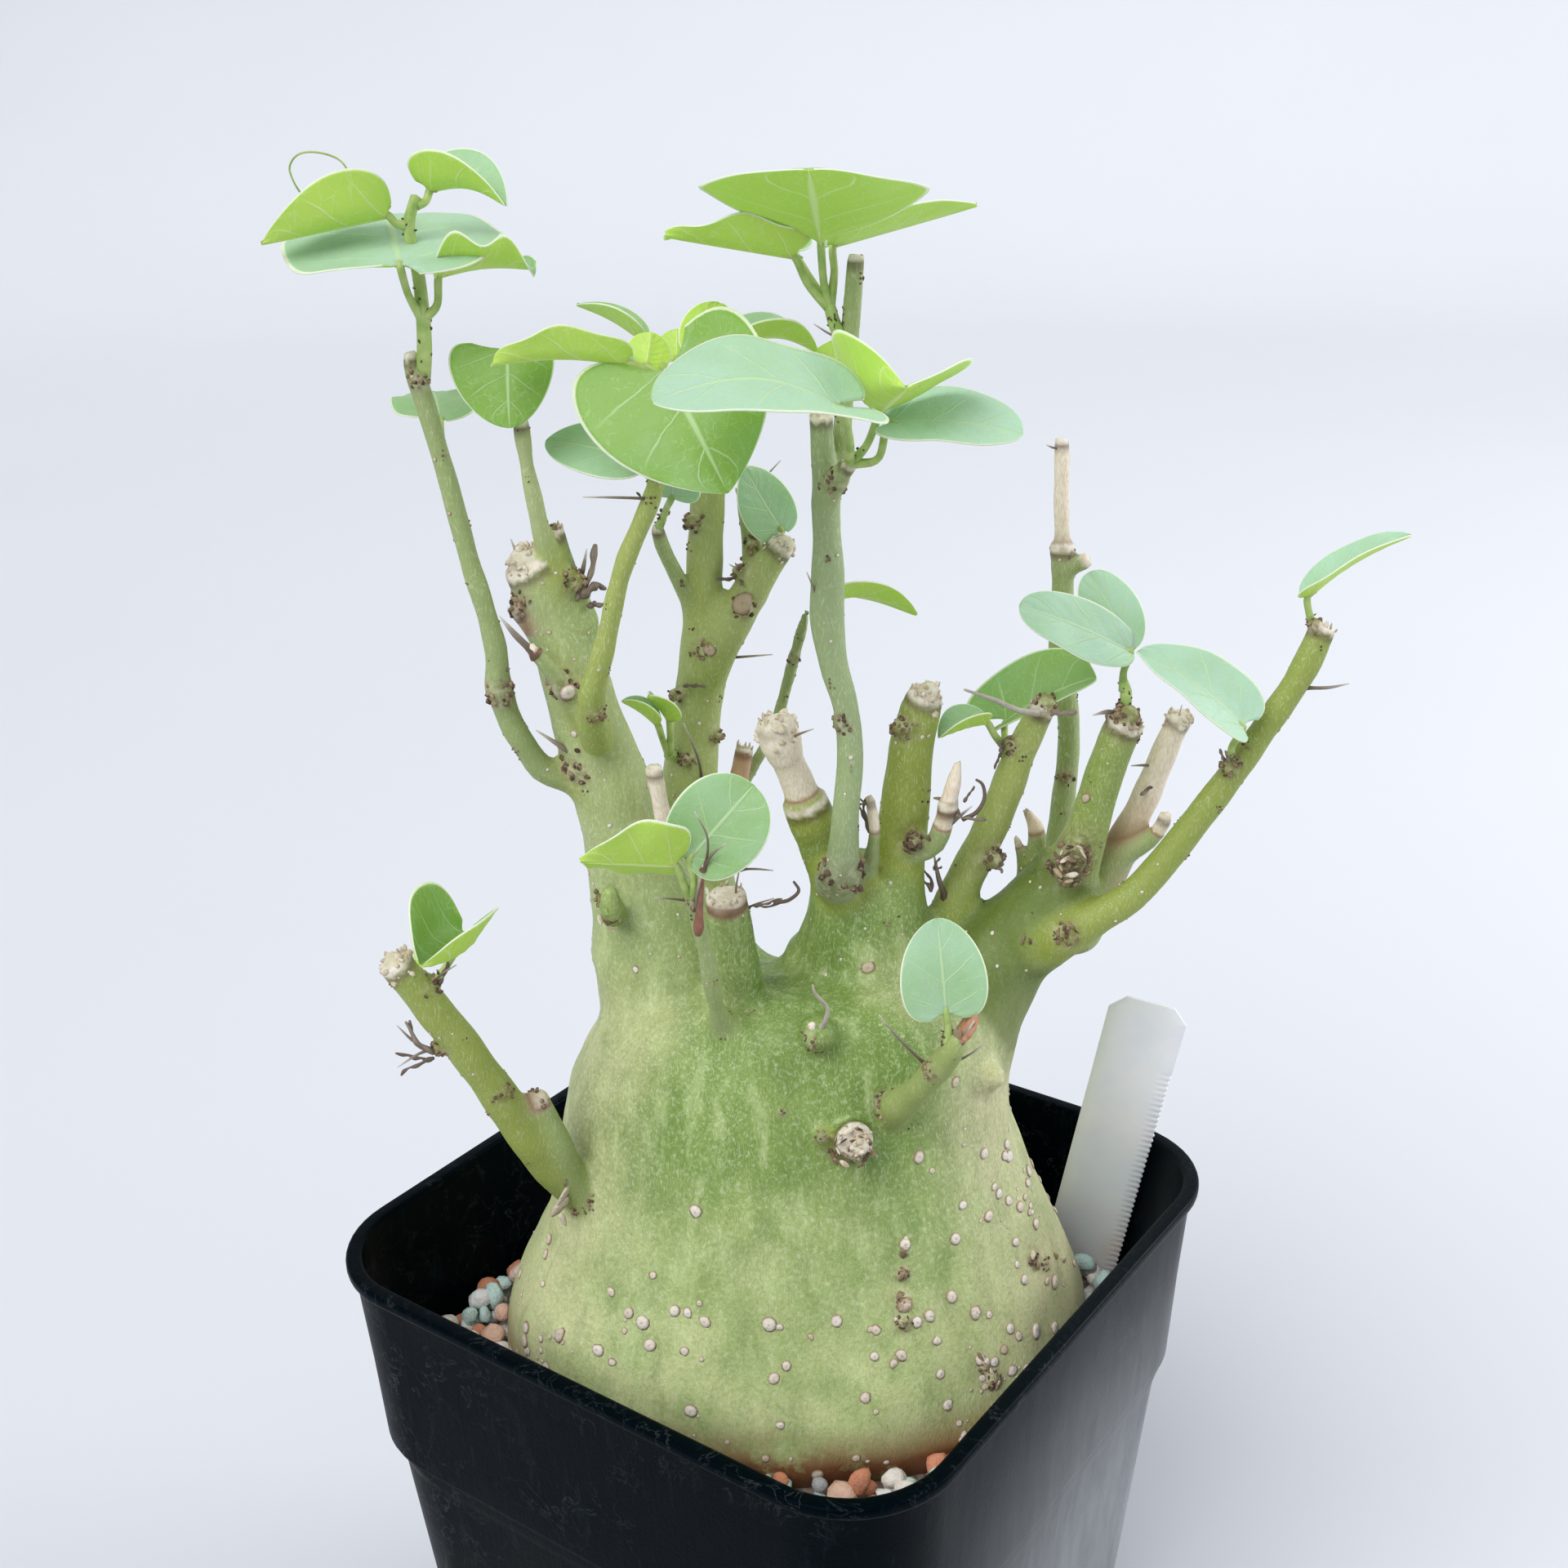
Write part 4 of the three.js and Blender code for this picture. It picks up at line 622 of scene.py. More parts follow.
@substance("living_green_bark")
def barkMaterial(tree, surface):
    # living green bark of a caudex: a waxy skin over chlorophyll, finely streaked where it
    # stretched, going tan and corky near the soil; dead stems are bare beige wood
    place = add(tree, "TexCoord", out="Object")
    z = add(tree, "SeparateXYZ", [place], 2)
    mottle, fine, patchy, pores = (
        add(tree, "TexNoise", {"Vector": place, "Scale": scale, "Detail": detail, "Roughness": rough})
        for scale, detail, rough in bark["noises"])
    # flecks and bands run upright, but wander a little
    drift = add(tree, "TexNoise", {"Vector": place, "Scale": 130, "Detail": 2}, 1)
    drifted = add(tree, "VectorMath", [drift, (0.004, 0.004, 0.004), place], operation="MULTIPLY_ADD")
    streak, bands = (
        add(tree, "TexNoise", {"Vector": add(tree, "Mapping", {"Vector": drifted, "Scale": scale}),
                               "Scale": 1, "Detail": detail, "Roughness": rough})
        for scale, detail, rough in bark["stretched"])
    youth, fresh, dry, shade, rust, rim, cut, scab, flankLightAndTan = (
        add(tree, "Attribute", out="Fac", attribute_name=name)
        for name in ("youth", "fresh", "dry", "shade", "rust", "rim", "cut", "scab", "flankLightAndTan"))
    low = (z, 0.182, 0.118)  # from 65 mm above the gravel down to it
    plainer = (z, 0.135, 0.19, 0.6, 1.0)
    lines = cover(tree, (streak, 0.55, 0.64), plainer, (patchy, 0.35, 0.6, 0.35, 1.0))
    # young shoots are plainer, the youngest with a grey bloom
    young = layered(tree, bark["shoot"], (bark["freshShoot"], (fresh, 0.55, 0.9)),
                    (bark["streak"], lines, 0.3))
    wood = layered(tree, bark["dryDark"], (bark["dry"], (streak, 0.35, 0.62)), (bark["rust"], rust))
    seam = layered(tree, bark["seam"], (bark["seamPale"], fine))
    torn = layered(tree, bark["scabPale"], (bark["cut"], (fine, 0.4, 0.6)))
    crust = layered(tree, bark["scab"], (bark["scabPale"], (fine, 0.45, 0.65)))
    skinTone = layered(
        tree, bark["green"],
        (bark["pale"], (mottle, 0.28, 0.72)),
        # the lower trunk pale and tan: partly its own corky tan, partly painted light against the shade
        # inside the pot
        (bark["low"], low, (patchy, 0.38, 0.62, 0.6, 1.0)),
        (bark["tan"], low, (patchy, 0.42, 0.6), 0.3),
        # pale tan flanks: partly weathering, partly painted side light
        (bark["flankLitTan"], flankLightAndTan, (mottle, 0.3, 0.6, 0.2, 0.62)),
        (bark["deep"], (bands, 0.52, 0.7, 0.0, 0.26)),
        (bark["low"], (bands, 0.48, 0.34, 0.0, 0.3)),
        (bark["streak"], lines, 0.3),
        # deep green where the streak relief is low: painted shade in its hollows
        (bark["deep"], (streak, 0.46, 0.34), plainer, 0.25),
        (bark["deep"], (pores, 0.52, 0.68, 0.0, 0.18)),
        (bark["streak"], (pores, 0.46, 0.3, 0.0, 0.3)),
        (bark["foot"], (z, 0.129, 0.1195), (patchy, 0.35, 0.5)),  # a ragged line at the gravel
        (young, (youth, 0.3, 0.55)),
        # pale and deep olive by the stem table: partly the arms' own tint, partly painted light and painted
        # shade
        (bark["litPaleArm"], (shade, 0.0, 0.8, 0.0, 0.6)),
        (bark["shadedDeepArm"], (shade, 0.0, -0.8, 0.0, 0.75)),
        (wood, dry),
        (seam, (dry, 0.1, 0.5), (dry, 0.95, 0.5), 0.8),  # rusty where living bark ends
        (bark["ring"], rim, 0.7),
        (torn, cut),
        (crust, scab, 0.75))
    grain = [cover(tree, streak, 0.5), cover(tree, pores, 0.5)]
    grain = add(tree, "Math", grain, operation="ADD", use_clamp=True)
    surfaced(tree, surface, skinTone, 0.55, grain, 0.0004, 0.6,
             {"Subsurface Weight": 0.12, "Subsurface Radius": (0.6, 0.8, 0.25), "Subsurface Scale": 0.002})


@substance("dead_scab_cork")
def crustMaterial(tree, surface):
    # dead, cracked scab where a leaf or spine stood: dull brown cork with grey flecks
    place = add(tree, "TexCoord", out="Object")
    fine = add(tree, "TexNoise", {"Vector": place, "Scale": 900, "Detail": 4})
    tint = add(tree, "Attribute", out="Fac", attribute_name="tint")
    shade = add(tree, "ValToRGB", [tint], stops=[(0.0, "#4a382c"), (0.45, "#77604b"), (0.72, "#a38d72"),
                                                 (0.8, "#cdbda4"), (1.0, "#eee4d4")])
    # fresh peeled flakes, their tint above 1, are orange inside
    shade = layered(tree, shade, ("#b39b7c", (fine, 0.5, 0.7)), ("#a8662f", (tint, 1.1, 1.3, 0.0, 0.8)))
    surfaced(tree, surface, shade, 0.85, fine, 0.0005)


@substance("lenticel_cork")
def wartMaterial(tree, surface):
    # corky lenticels: dry pale cork, darker round the rim and in a pit on top
    place = add(tree, "TexCoord", out="Object")
    fine = add(tree, "TexNoise", {"Vector": place, "Scale": 1300, "Detail": 3})
    tint, crown = (add(tree, "Attribute", out="Fac", attribute_name=name) for name in ("tint", "crown"))
    shade = add(tree, "ValToRGB", [tint], stops=[(0.0, "#d8cab0"), (0.4, "#ece2d2"), (0.8, "#f4eee4"),
                                                 (0.9, "#cdbda6"), (1.0, "#b7a48d")])
    shade = layered(tree, shade, ("#a38a64", fine, 0.3), ("#8a6750", (crown, 0.72, 0.3), 0.85),
                    ("#a5876c", (crown, 0.93, 0.98, 0.0, 0.55)))
    surfaced(tree, surface, shade, 0.8, fine, 0.0003)


@substance("hardened_spine")
def spineMaterial(tree, surface):
    # dry hardened spines: brown at the root, reddish, with a pale worn tip
    place = add(tree, "TexCoord", out="Object")
    fine = add(tree, "TexNoise", {"Vector": place, "Scale": 700, "Detail": 3})
    along = [add(tree, "Attribute", out="Fac", attribute_name="along"), cover(tree, fine, 0.2)]
    shade = add(tree, "ValToRGB", [add(tree, "Math", along, operation="ADD", use_clamp=True)],
                stops=[(0.12, "#93604c"), (0.24, "#5c483b"), (0.45, "#6f6053"), (0.78, "#95887b"),
                       (1.0, "#cdc5b8")])
    surfaced(tree, surface, shade, 0.5, fine, 0.0002)


leafTones = {
    "green": "#86ad4a", "bloom": "#b0d0b6", "vein": "#c3dca8", "margin": "#e6f1d2",
    "under": "#c3e05e", "underDeep": "#a6cf52", "underVein": "#e2efb0",
}


@substance("waxy_leaf_blade")
def leafMaterial(tree, surface):
    # soft living leaf with a wax bloom above, bare and lime green below, where light comes
    # through; veins paler, the margin a thin pale line
    t, v = (add(tree, "SeparateXYZ", [add(tree, "UVMap", uv_map="UVMap")], axis) for axis in (0, 1))
    s = add(tree, "Math", [v, 2.0, -1.0], operation="MULTIPLY_ADD")
    reach = add(tree, "Math", [s], operation="ABSOLUTE")
    spot = add(tree, "Attribute", out="Vector", attribute_name="bladeMm")
    wobble, blotch = (add(tree, "TexNoise", {"Vector": spot, "Scale": scale, "Detail": detail})
                      for scale, detail in ((0.25, 2), (0.09, 3)))
    # side veins: t less a third of the reach, in even steps, bent a little by noise
    shifted = add(tree, "Math", [wobble, 0.05, t], operation="MULTIPLY_ADD")
    wave = reach
    for how, *values in (("POWER", 0.9), ("MULTIPLY_ADD", -0.34, shifted),
                         ("DIVIDE", bladeMesh["veinStep"]), ("PINGPONG", 1.0)):
        wave = add(tree, "Math", [wave, *values], operation=how)
    # a fine net between them: the edges of cells about 2 mm wide
    strayed = add(tree, "TexNoise", {"Vector": spot, "Scale": 0.5, "Detail": 2}, 1)
    strayed = add(tree, "VectorMath", [strayed, (2.5, 2.5, 2.5), spot], operation="MULTIPLY_ADD")
    net = add(tree, "TexVoronoi", {"Vector": strayed, "Scale": 0.5}, feature="DISTANCE_TO_EDGE")
    veins = 0.0
    middle, side = [(reach, 0.05, 0.015)], [(wave, 0.075, 0.01), (reach, 0.95, 0.5)]
    for line in (middle, side, [(net, 0.06, 0.01), 0.3]):
        veins = add(tree, "Math", [veins, cover(tree, *line)], operation="MAXIMUM", use_clamp=True)
    bloom = [add(tree, "MapRange", [blotch, 0.3, 0.7, -0.15, 0.15], clamp=False),
             add(tree, "Attribute", out="Fac", attribute_name="bloom")]
    bloom = add(tree, "Math", bloom, operation="ADD", use_clamp=True)
    above = layered(tree, leafTones["green"], (leafTones["bloom"], bloom), (leafTones["vein"], veins, 0.7))
    below = layered(tree, leafTones["under"], (leafTones["underDeep"], blotch, 0.35),
                    (leafTones["underVein"], veins, 0.75))
    upperSide = add(tree, "Attribute", out="Fac", attribute_name="upperSide")
    shade = layered(tree, below, (above, upperSide), (leafTones["margin"], (reach, 0.96, 0.975)))
    surfaced(tree, surface, shade, 0.5, veins, 0.00025, 0.5,
             {"Subsurface Weight": 0.35, "Subsurface Radius": (0.5, 1.0, 0.2), "Subsurface Scale": 0.0012})


@substance("fresh_stalk")
def stalkMaterial(tree, surface):
    # fresh petioles and shoots: smooth yellow-green, a little paler in patches
    place = add(tree, "TexCoord", out="Object")
    noise = add(tree, "TexNoise", {"Vector": place, "Scale": 300, "Detail": 3})
    shade = layered(tree, "#8fae55", ("#b9cc7e", (noise, 0.35, 0.65)))
    surfaced(tree, surface, shade, 0.5, noise, 0.0002, 1.0,
             {"Subsurface Weight": 0.2, "Subsurface Scale": 0.001})


@substance("mixed_gravel_chips")
def stoneMaterial(tree, surface):
    # mixed pumice, lava and granite chips, dull and dry
    place = add(tree, "TexCoord", out="Object")
    fine = add(tree, "TexNoise", {"Vector": place, "Scale": 700, "Detail": 4, "Roughness": 0.7})
    speck = add(tree, "TexVoronoi", {"Vector": place, "Scale": 1500})
    tint = add(tree, "Attribute", out="Fac", attribute_name="tint")
    shade = add(tree, "ValToRGB", [tint], between="CONSTANT",
                stops=[(0.0, "#e2936f"), (0.12, "#f7cbb2"), (0.24, "#fff7ee"), (0.42, "#d9f7f2"),
                       (0.62, "#e6ecea"), (0.72, "#ffffff"), (0.9, "#b8bcbf"), (0.95, "#f6d9cb")])
    shade = layered(tree, shade, ("#a89d92", (fine, 0.4, 0.68, 0.0, 0.22)),
                    ("#efe7db", (speck, 0.16, 0.08, 0.0, 0.5)))
    surfaced(tree, surface, shade, 0.85, fine, 0.0008)


@substance("dark_grit")
def gritMaterial(tree, surface):
    # shaded grit between the stones, and the dark crumbly mix below them
    place = add(tree, "TexCoord", out="Object")
    fine = add(tree, "TexNoise", {"Vector": place, "Scale": 350, "Detail": 6, "Roughness": 0.7})
    shade = add(tree, "ValToRGB", [fine], stops=[(0.3, "#7a6a5d"), (0.55, "#b9a593"), (0.75, "#e8dccd")])
    surfaced(tree, surface, shade, 0.95, fine, 0.002)


potTones = {
    "black": "#000509", "blackPale": "#030c12", "scuff": "#24343d", "scratch": "#484e52", "dustAndSheen": "#63686b",
    "tint": "#8fb4c8",
    # the patch of one side painted grey as a sheen, with some dust: axis, and where in metres it sets in and
    # is full
    "sheenPatch": [(0, 0.05, 0.07), (2, 0.16, 0.06), (1, -0.07, 0.02)],
}


@substance("moulded_black_polypropylene")
def potMaterial(tree, surface):
    # injection moulded polypropylene, black, satin: faint scuffs up the sides, and dust and a painted sheen
    # on one side
    place = add(tree, "TexCoord", out="Object")
    mapped = add(tree, "Mapping", {"Vector": place, "Scale": (260, 260, 45), "Rotation": (0.25, 0.1, 0)})
    cloud, scuff, fine, crack = (
        add(tree, "TexNoise", {"Vector": where, "Scale": scale, "Detail": detail, "Roughness": rough,
                               "Distortion": bent})
        for where, scale, detail, rough, bent in ((place, 28, 5, 0.6, 0), (mapped, 1, 4, 0.7, 0),
                                                  (place, 1200, 2, 0.5, 0), (place, 120, 5, 0.6, 0.8)))
    # wandering hair scratches: thin lines where a noise crosses its middle value
    crack = add(tree, "Math", [add(tree, "Math", [crack, 0.5], operation="SUBTRACT")], operation="ABSOLUTE")
    # the side at +x is rubbed smooth and mirrors the pale floor; its grey patch is painted sheen, with some
    # dust
    sides = [add(tree, "MapRange", [add(tree, "SeparateXYZ", [place], axis), none, full],
                 interpolation_type="SMOOTHSTEP") for axis, none, full in potTones["sheenPatch"]]
    bloom = cover(tree, *sides, (scuff, 0.75, 0.35, 0.7, 1.0))
    shade = layered(tree, potTones["black"], (potTones["blackPale"], cloud, 0.5),
                    (potTones["scuff"], (scuff, 0.58, 0.78, 0.0, 0.35)),
                    (potTones["scratch"], (crack, 0.012, 0.003), (cloud, 0.45, 0.62, 0.0, 0.4)),
                    # grey over the +x side: painted sheen, with some dust
                    (potTones["dustAndSheen"], bloom))
    height = [cover(tree, scuff, 0.5), cover(tree, fine, 0.3)]
    surfaced(tree, surface, shade, cover(tree, (cloud, 0.3, 0.7, 0.3, 0.46)),
             add(tree, "Math", height, operation="ADD", use_clamp=True), 0.0003, 0.5,
             {"Coat Weight": bloom, "Coat IOR": 2.1, "Coat Roughness": 0.25, "IOR": 1.49,
              "Specular IOR Level": 0.045, "Specular Tint": potTones["tint"]})


@substance("white_label_polypropylene")
def labelMaterial(tree, surface):
    # sheet polypropylene, white and slightly see-through at the edges, satin
    place = add(tree, "TexCoord", out="Object")
    z = add(tree, "SeparateXYZ", [place], 2)
    cloud = add(tree, "TexNoise", {"Vector": place, "Scale": 120, "Detail": 4})
    # soiled where it comes out of the gravel
    shade = layered(tree, "#eff4fd", ("#f9fcff", (cloud, 0.3, 0.7)),
                    ("#b9ab95", (z, 0.135, 0.118), cloud, 0.8))
    surfaced(tree, surface, shade, 0.38, cloud, 0.0001, 0.4,
             {"Subsurface Weight": 0.15, "Subsurface Scale": 0.002})


@substance("pale_studio_floor")
def floorMaterial(tree, surface):
    # matt painted board, a little uneven
    place = add(tree, "TexCoord", out="Object")
    cloud = add(tree, "TexNoise", {"Vector": place, "Scale": 2.5, "Detail": 3})
    shade = layered(tree, "#d2d5da", (studio["floor"], cloud))
    feed(tree, surface, {"Base Color": shade, "Roughness": 0.9})


# Small growth on the skin: scabs, corky warts, spines


def pebble(level):
    # points and triangles of a round body of about radius 1
    shape = bmesh.new()
    bmesh.ops.create_icosphere(shape, subdivisions=level, radius=1)
    points = np.array([v.co for v in shape.verts])
    tris = np.array([[v.index for v in f.verts] for f in shape.faces])
    shape.free()
    return points, tris


def scattered(template, centres, sizes, turns, dents, seed):
    # copies of a round template: each flattened by a few planes at random, stretched,
    # turned by its own matrix and moved to its own centre
    points, tris = template
    rng = np.random.default_rng(seed)
    n = len(centres)
    headings = unit(rng.normal(size=(n, dents, 3)))
    depth = rng.uniform(0.62, 0.95, (n, dents))
    facing = np.einsum("vk,ndk->nvd", points, headings)
    pull = np.where(facing > depth[:, None], depth[:, None] / np.maximum(facing, 1e-3), 1.0).min(-1)
    shaped = points[None] * pull[..., None] * sizes[:, None]
    placed = np.einsum("nij,nvj->nvi", turns, shaped) + centres[:, None]
    faces = tris[None] + (np.arange(n) * len(points))[:, None, None]
    return placed.reshape(-1, 3), faces.reshape(-1, 3)


def turnsFor(outward, seed):
    # matrices whose third axis points outward, turned at random about it
    rng = np.random.default_rng(seed)
    spare = unit(rng.normal(size=outward.shape))
    side = unit(np.cross(spare, outward))
    return np.stack([side, np.cross(outward, side), outward], -1)


scabSpots = [
    [[-38, -1, 295], 2.8], [[-48, -2, 293], 1.9], [[-49.5, -2, 290.5], 2.1], [[-42, -6, 275.5], 2.8],
    [[-34, -13, 272], 1.7], [[-16.5, 25, 300], 2.2], [[-21, 22, 263.5], 2.2], [[-12, 23, 253.5], 1.8],
    [[-6.5, 23, 290], 2.2], [[-3, 28, 294], 2.2], [[-14, 23, 273], 2.2], [[-5.5, 20.5, 283], 2.2],
    [[13, -14, 317], 2], [[-64, -7, 335.5], 1.8], [[13, -13.5, 269], 1.8], [[25.5, -4, 264.5], 2.7],
    [[28, -5.5, 240.5], 2.8], [[46, 4.5, 231.5], 3], [[61, -2.5, 234.5], 4.6], [[64, 29.5, 240], 1.8],
    [[91.5, -4.5, 255], 2], [[108, 1, 283], 1.8], [[71, -1, 265], 3.6], [[48.5, 6.5, 256.5], 2],
    [[-56.5, -26, 195.5], 1.8], [[-68, -29, 207.5], 2], [[-68, -29.5, 222.5], 2.2], [[29.5, -43, 209], 1.5],
    [[-15.8, -31, 240.5], 1.7], [[60, -8, 220], 2.4], [[-36.5, -7.5, 230], 2], [[56, 7.5, 265], 2.8],
    [[-19, 19, 249.5], 1.8], [[-39.5, -1, 256], 3], [[-54, -4.6, 274], 2.8], [[13, -11, 236], 4.8],
    [[7.7, -27, 206.5], 1.7], [[-40, -15, 163], 2.2], [[21.6, -26, 191.5], 2.4], [[11.5, -32, 183.5], 1.8],
    [[7.8, -33.4, 188.2], 1.1], [[-42.5, 1, 304.8], 1.8], [[-50, -20.5, 190.3], 1.8], [[4.6, 38, 266], 1.4],
    [[24.4, -35.4, 156.5], 1.5], [[24, -37.3, 151.8], 1.4], [[24.3, -39, 147.1], 1.6], [[53.8, -18, 147.4],
    1.9], [[56.5, -16, 144.5], 1.6], [[43.3, -37.5, 131], 2], [[41, -36.8, 134], 1.4], [[0.4, -29.5, 191.2],
    0.9],
]
# pale torn cork on cut ends
corkSpots = [
    [[-74, -32.3, 228.5], 3], [[0.8, -3, 264], 4.4], [[31, -3, 271.5], 3.2], [[84, 7.5, 261.5], 2.5],
    [[-48, -1, 299.5], 3.8], [[3, 23.5, 295.5], 2.5], [[15.9, -35.5, 187.2], 2.8],
]
scabs = {
    "chunks": 18, "chunkSize": 0.23,  # pieces of crust to a scab, and their size as a share of it
    "scarEvery": 7.5, "scarSize": 0.75,  # leaf scars along the stems: their distance and width
    "scarStems": ["leftLongStem", "leftTopStem", "leftFrontStem", "backArm", "backArmTwin", "backArmTwig",
                  "backShoot",
                  "tallStem", "tallStemTwin", "rightSlimStem", "rightBackStem", "rightLongStem",
                  "lowLeftBranch",
                  "lowMiddleShoot", "lowRightShoot", "rightFork", "middleRightFork", "lowMiddleStub"],
}


def nearestOnSkin(points, skin, normals):
    k = np.array([np.argmin(((skin - q) ** 2).sum(1)) for q in points])
    return skin[k], normals[k]


def leafScars(rng):
    # spots near the stems' sides, a third to half a turn on at each step
    spots = []
    for key in scabs["scarStems"]:
        line = stemLines[key]
        length = np.linalg.norm(np.diff(line[:, :3], axis=0), axis=1).sum()
        count = max(2, int(length / scabs["scarEvery"]))
        share = (np.arange(count) + rng.uniform(0.2, 0.8, count)) / count
        where = np.stack([np.interp(share, np.linspace(0, 1, len(line)), line[:, k]) for k in range(4)], -1)
        turn = np.cumsum(rng.uniform(1.9, 3.1, count)) + rng.uniform(0, 6.3)
        side = np.stack([np.cos(turn), np.sin(turn), 0 * turn], -1)
        spots.append(where[:, :3] + side * where[:, 3:4])
    return np.concatenate(spots)


# torn curled bark round a big old scar: middle, outward, radius, flakes
rosettes = [
    [[60.2, -7.5, 235.2], [0.1, -1, 0.35], 4.4, 34], [[28, -6.5, 240.5], [0, -1, 0.3], 2.2, 12],
    [[22, -27.5, 191.5], [-0.5, -1, 0.4], 3.6, 16], [[14.3, -36, 187], [0, -1, 0.4], 4.3, 18],
    [[54.5, -6, 216.5], [0.3, -1, 0], 4, 16], [[-33.7, -11.3, 227], [0, -1, 0.3], 2.4, 9],
]


def rosetteFlakes(rng):
    # flakes on a sunflower spiral, each lying along its ring and tilted up off the skin
    rows = []
    for middle, outward, radius, count in rosettes:
        outward = unit(np.array(outward, float))
        side = unit(np.cross(outward, [0.2, 0.1, 1]))
        over = np.cross(outward, side)
        for k in range(count):
            turn, far = 2.4 * k, radius * math.sqrt((k + 0.5) / count)
            spoke = math.cos(turn) * side + math.sin(turn) * over
            around = np.cross(outward, spoke)
            place = np.array(middle) + spoke * far - outward * 0.22 * far * far / radius
            heading = around + 0.35 * outward + rng.normal(size=3) * 0.2
            size = np.array([0.45, 0.22, 1.0]) * rng.uniform(0.7, 1.5)
            rows.append([place, heading, size, rng.choice([0.05, 0.2, 0.35, 0.55, 0.75, 0.9])])
    return rows


def splinters(rng):
    # torn fibres standing round the rim of each flat cut, along the stem with a lean
    centres, sizes, ways = [], [], []
    for key, line in stemLines.items():
        end = line[-1]
        if key in pointedStems | openStems or end[3] < 1.8:
            continue
        ahead = unit(line[-1, :3] - line[-3, :3])
        side = unit(np.cross(ahead, [0.3, 1, 0.1]))
        over = np.cross(ahead, side)
        count = int(5 * end[3])
        turn = rng.uniform(0, 2 * math.pi, count)[:, None]
        far = end[3] * np.sqrt(rng.uniform(0.35, 1, count))[:, None]
        out = (np.cos(turn) * side + np.sin(turn) * over) * far
        long = rng.uniform(0.35, 1.25, count)[:, None]
        centres.append(end[:3] + out + ahead * long * 0.3)
        sizes.append(np.concatenate([long * 0.45, rng.uniform(0.15, 0.35, (count, 1)), long], 1))
        ways.append(unit(ahead + rng.normal(size=(count, 3)) * 0.28))
    return np.concatenate(centres), np.concatenate(sizes), np.concatenate(ways)


def buildScabs(skin, normals):
    rng = np.random.default_rng(31)
    scars = leafScars(rng)
    spots = np.concatenate([[spot for spot, _ in corkSpots + scabSpots], scars])
    radii = np.concatenate([[radius for _, radius in corkSpots + scabSpots],
                            scabs["scarSize"] * rng.uniform(0.6, 1.5, len(scars))])
    n = np.maximum(4, np.round(scabs["chunks"] * np.minimum(radii / 2, 1)).astype(int))
    wide = np.repeat(radii, n)
    around = np.repeat(spots, n, 0) + rng.normal(size=(len(wide), 3)) * wide[:, None] * 0.45
    centres, outward = nearestOnSkin(around, skin, normals)
    size = (wide * scabs["chunkSize"] + 0.12)[:, None] * rng.uniform(0.35, 1.25, (len(centres), 3))
    outward = unit(outward + rng.normal(size=outward.shape) * 0.5)
    tint = rng.random(len(centres)) * 0.75
    tint[:n[:len(corkSpots)].sum()] = 0.25 * tint[:n[:len(corkSpots)].sum()] + 0.8
    ends, endSize, endWay = splinters(rng)
    pairs = (centres, ends), (size, endSize), (outward, endWay)
    centres, size, outward = (np.concatenate(pair) for pair in pairs)
    tint = np.concatenate([tint, rng.uniform(0.8, 1.0, len(ends))])
    points, tris = scattered(pebble(1), centres, size, turnsFor(outward, 32), 3, 33)
    tint = np.repeat(tint, len(points) // len(centres))
    # places, headings, sizes and tints each come from a draw of their own
    draws = [barkFlakes + rosetteFlakes(rng) for _ in range(4)]
    middles, headings, sizes, tints = (np.array([flake[k] for flake in rows]) for k,
                                       rows in enumerate(draws))
    flakes, flakeTris = scattered(pebble(2), middles, sizes, turnsFor(unit(headings), 34), 4, 35)
    tint = np.concatenate([tint, np.repeat(tints, len(flakes) // len(middles))])
    points, _, tris, _ = joined([(points, noQuads, tris), (flakes, noQuads, flakeTris)])
    return meshPiece("scabs", points, noQuads, tris, [crustMaterial()], attributes={"tint": tint})


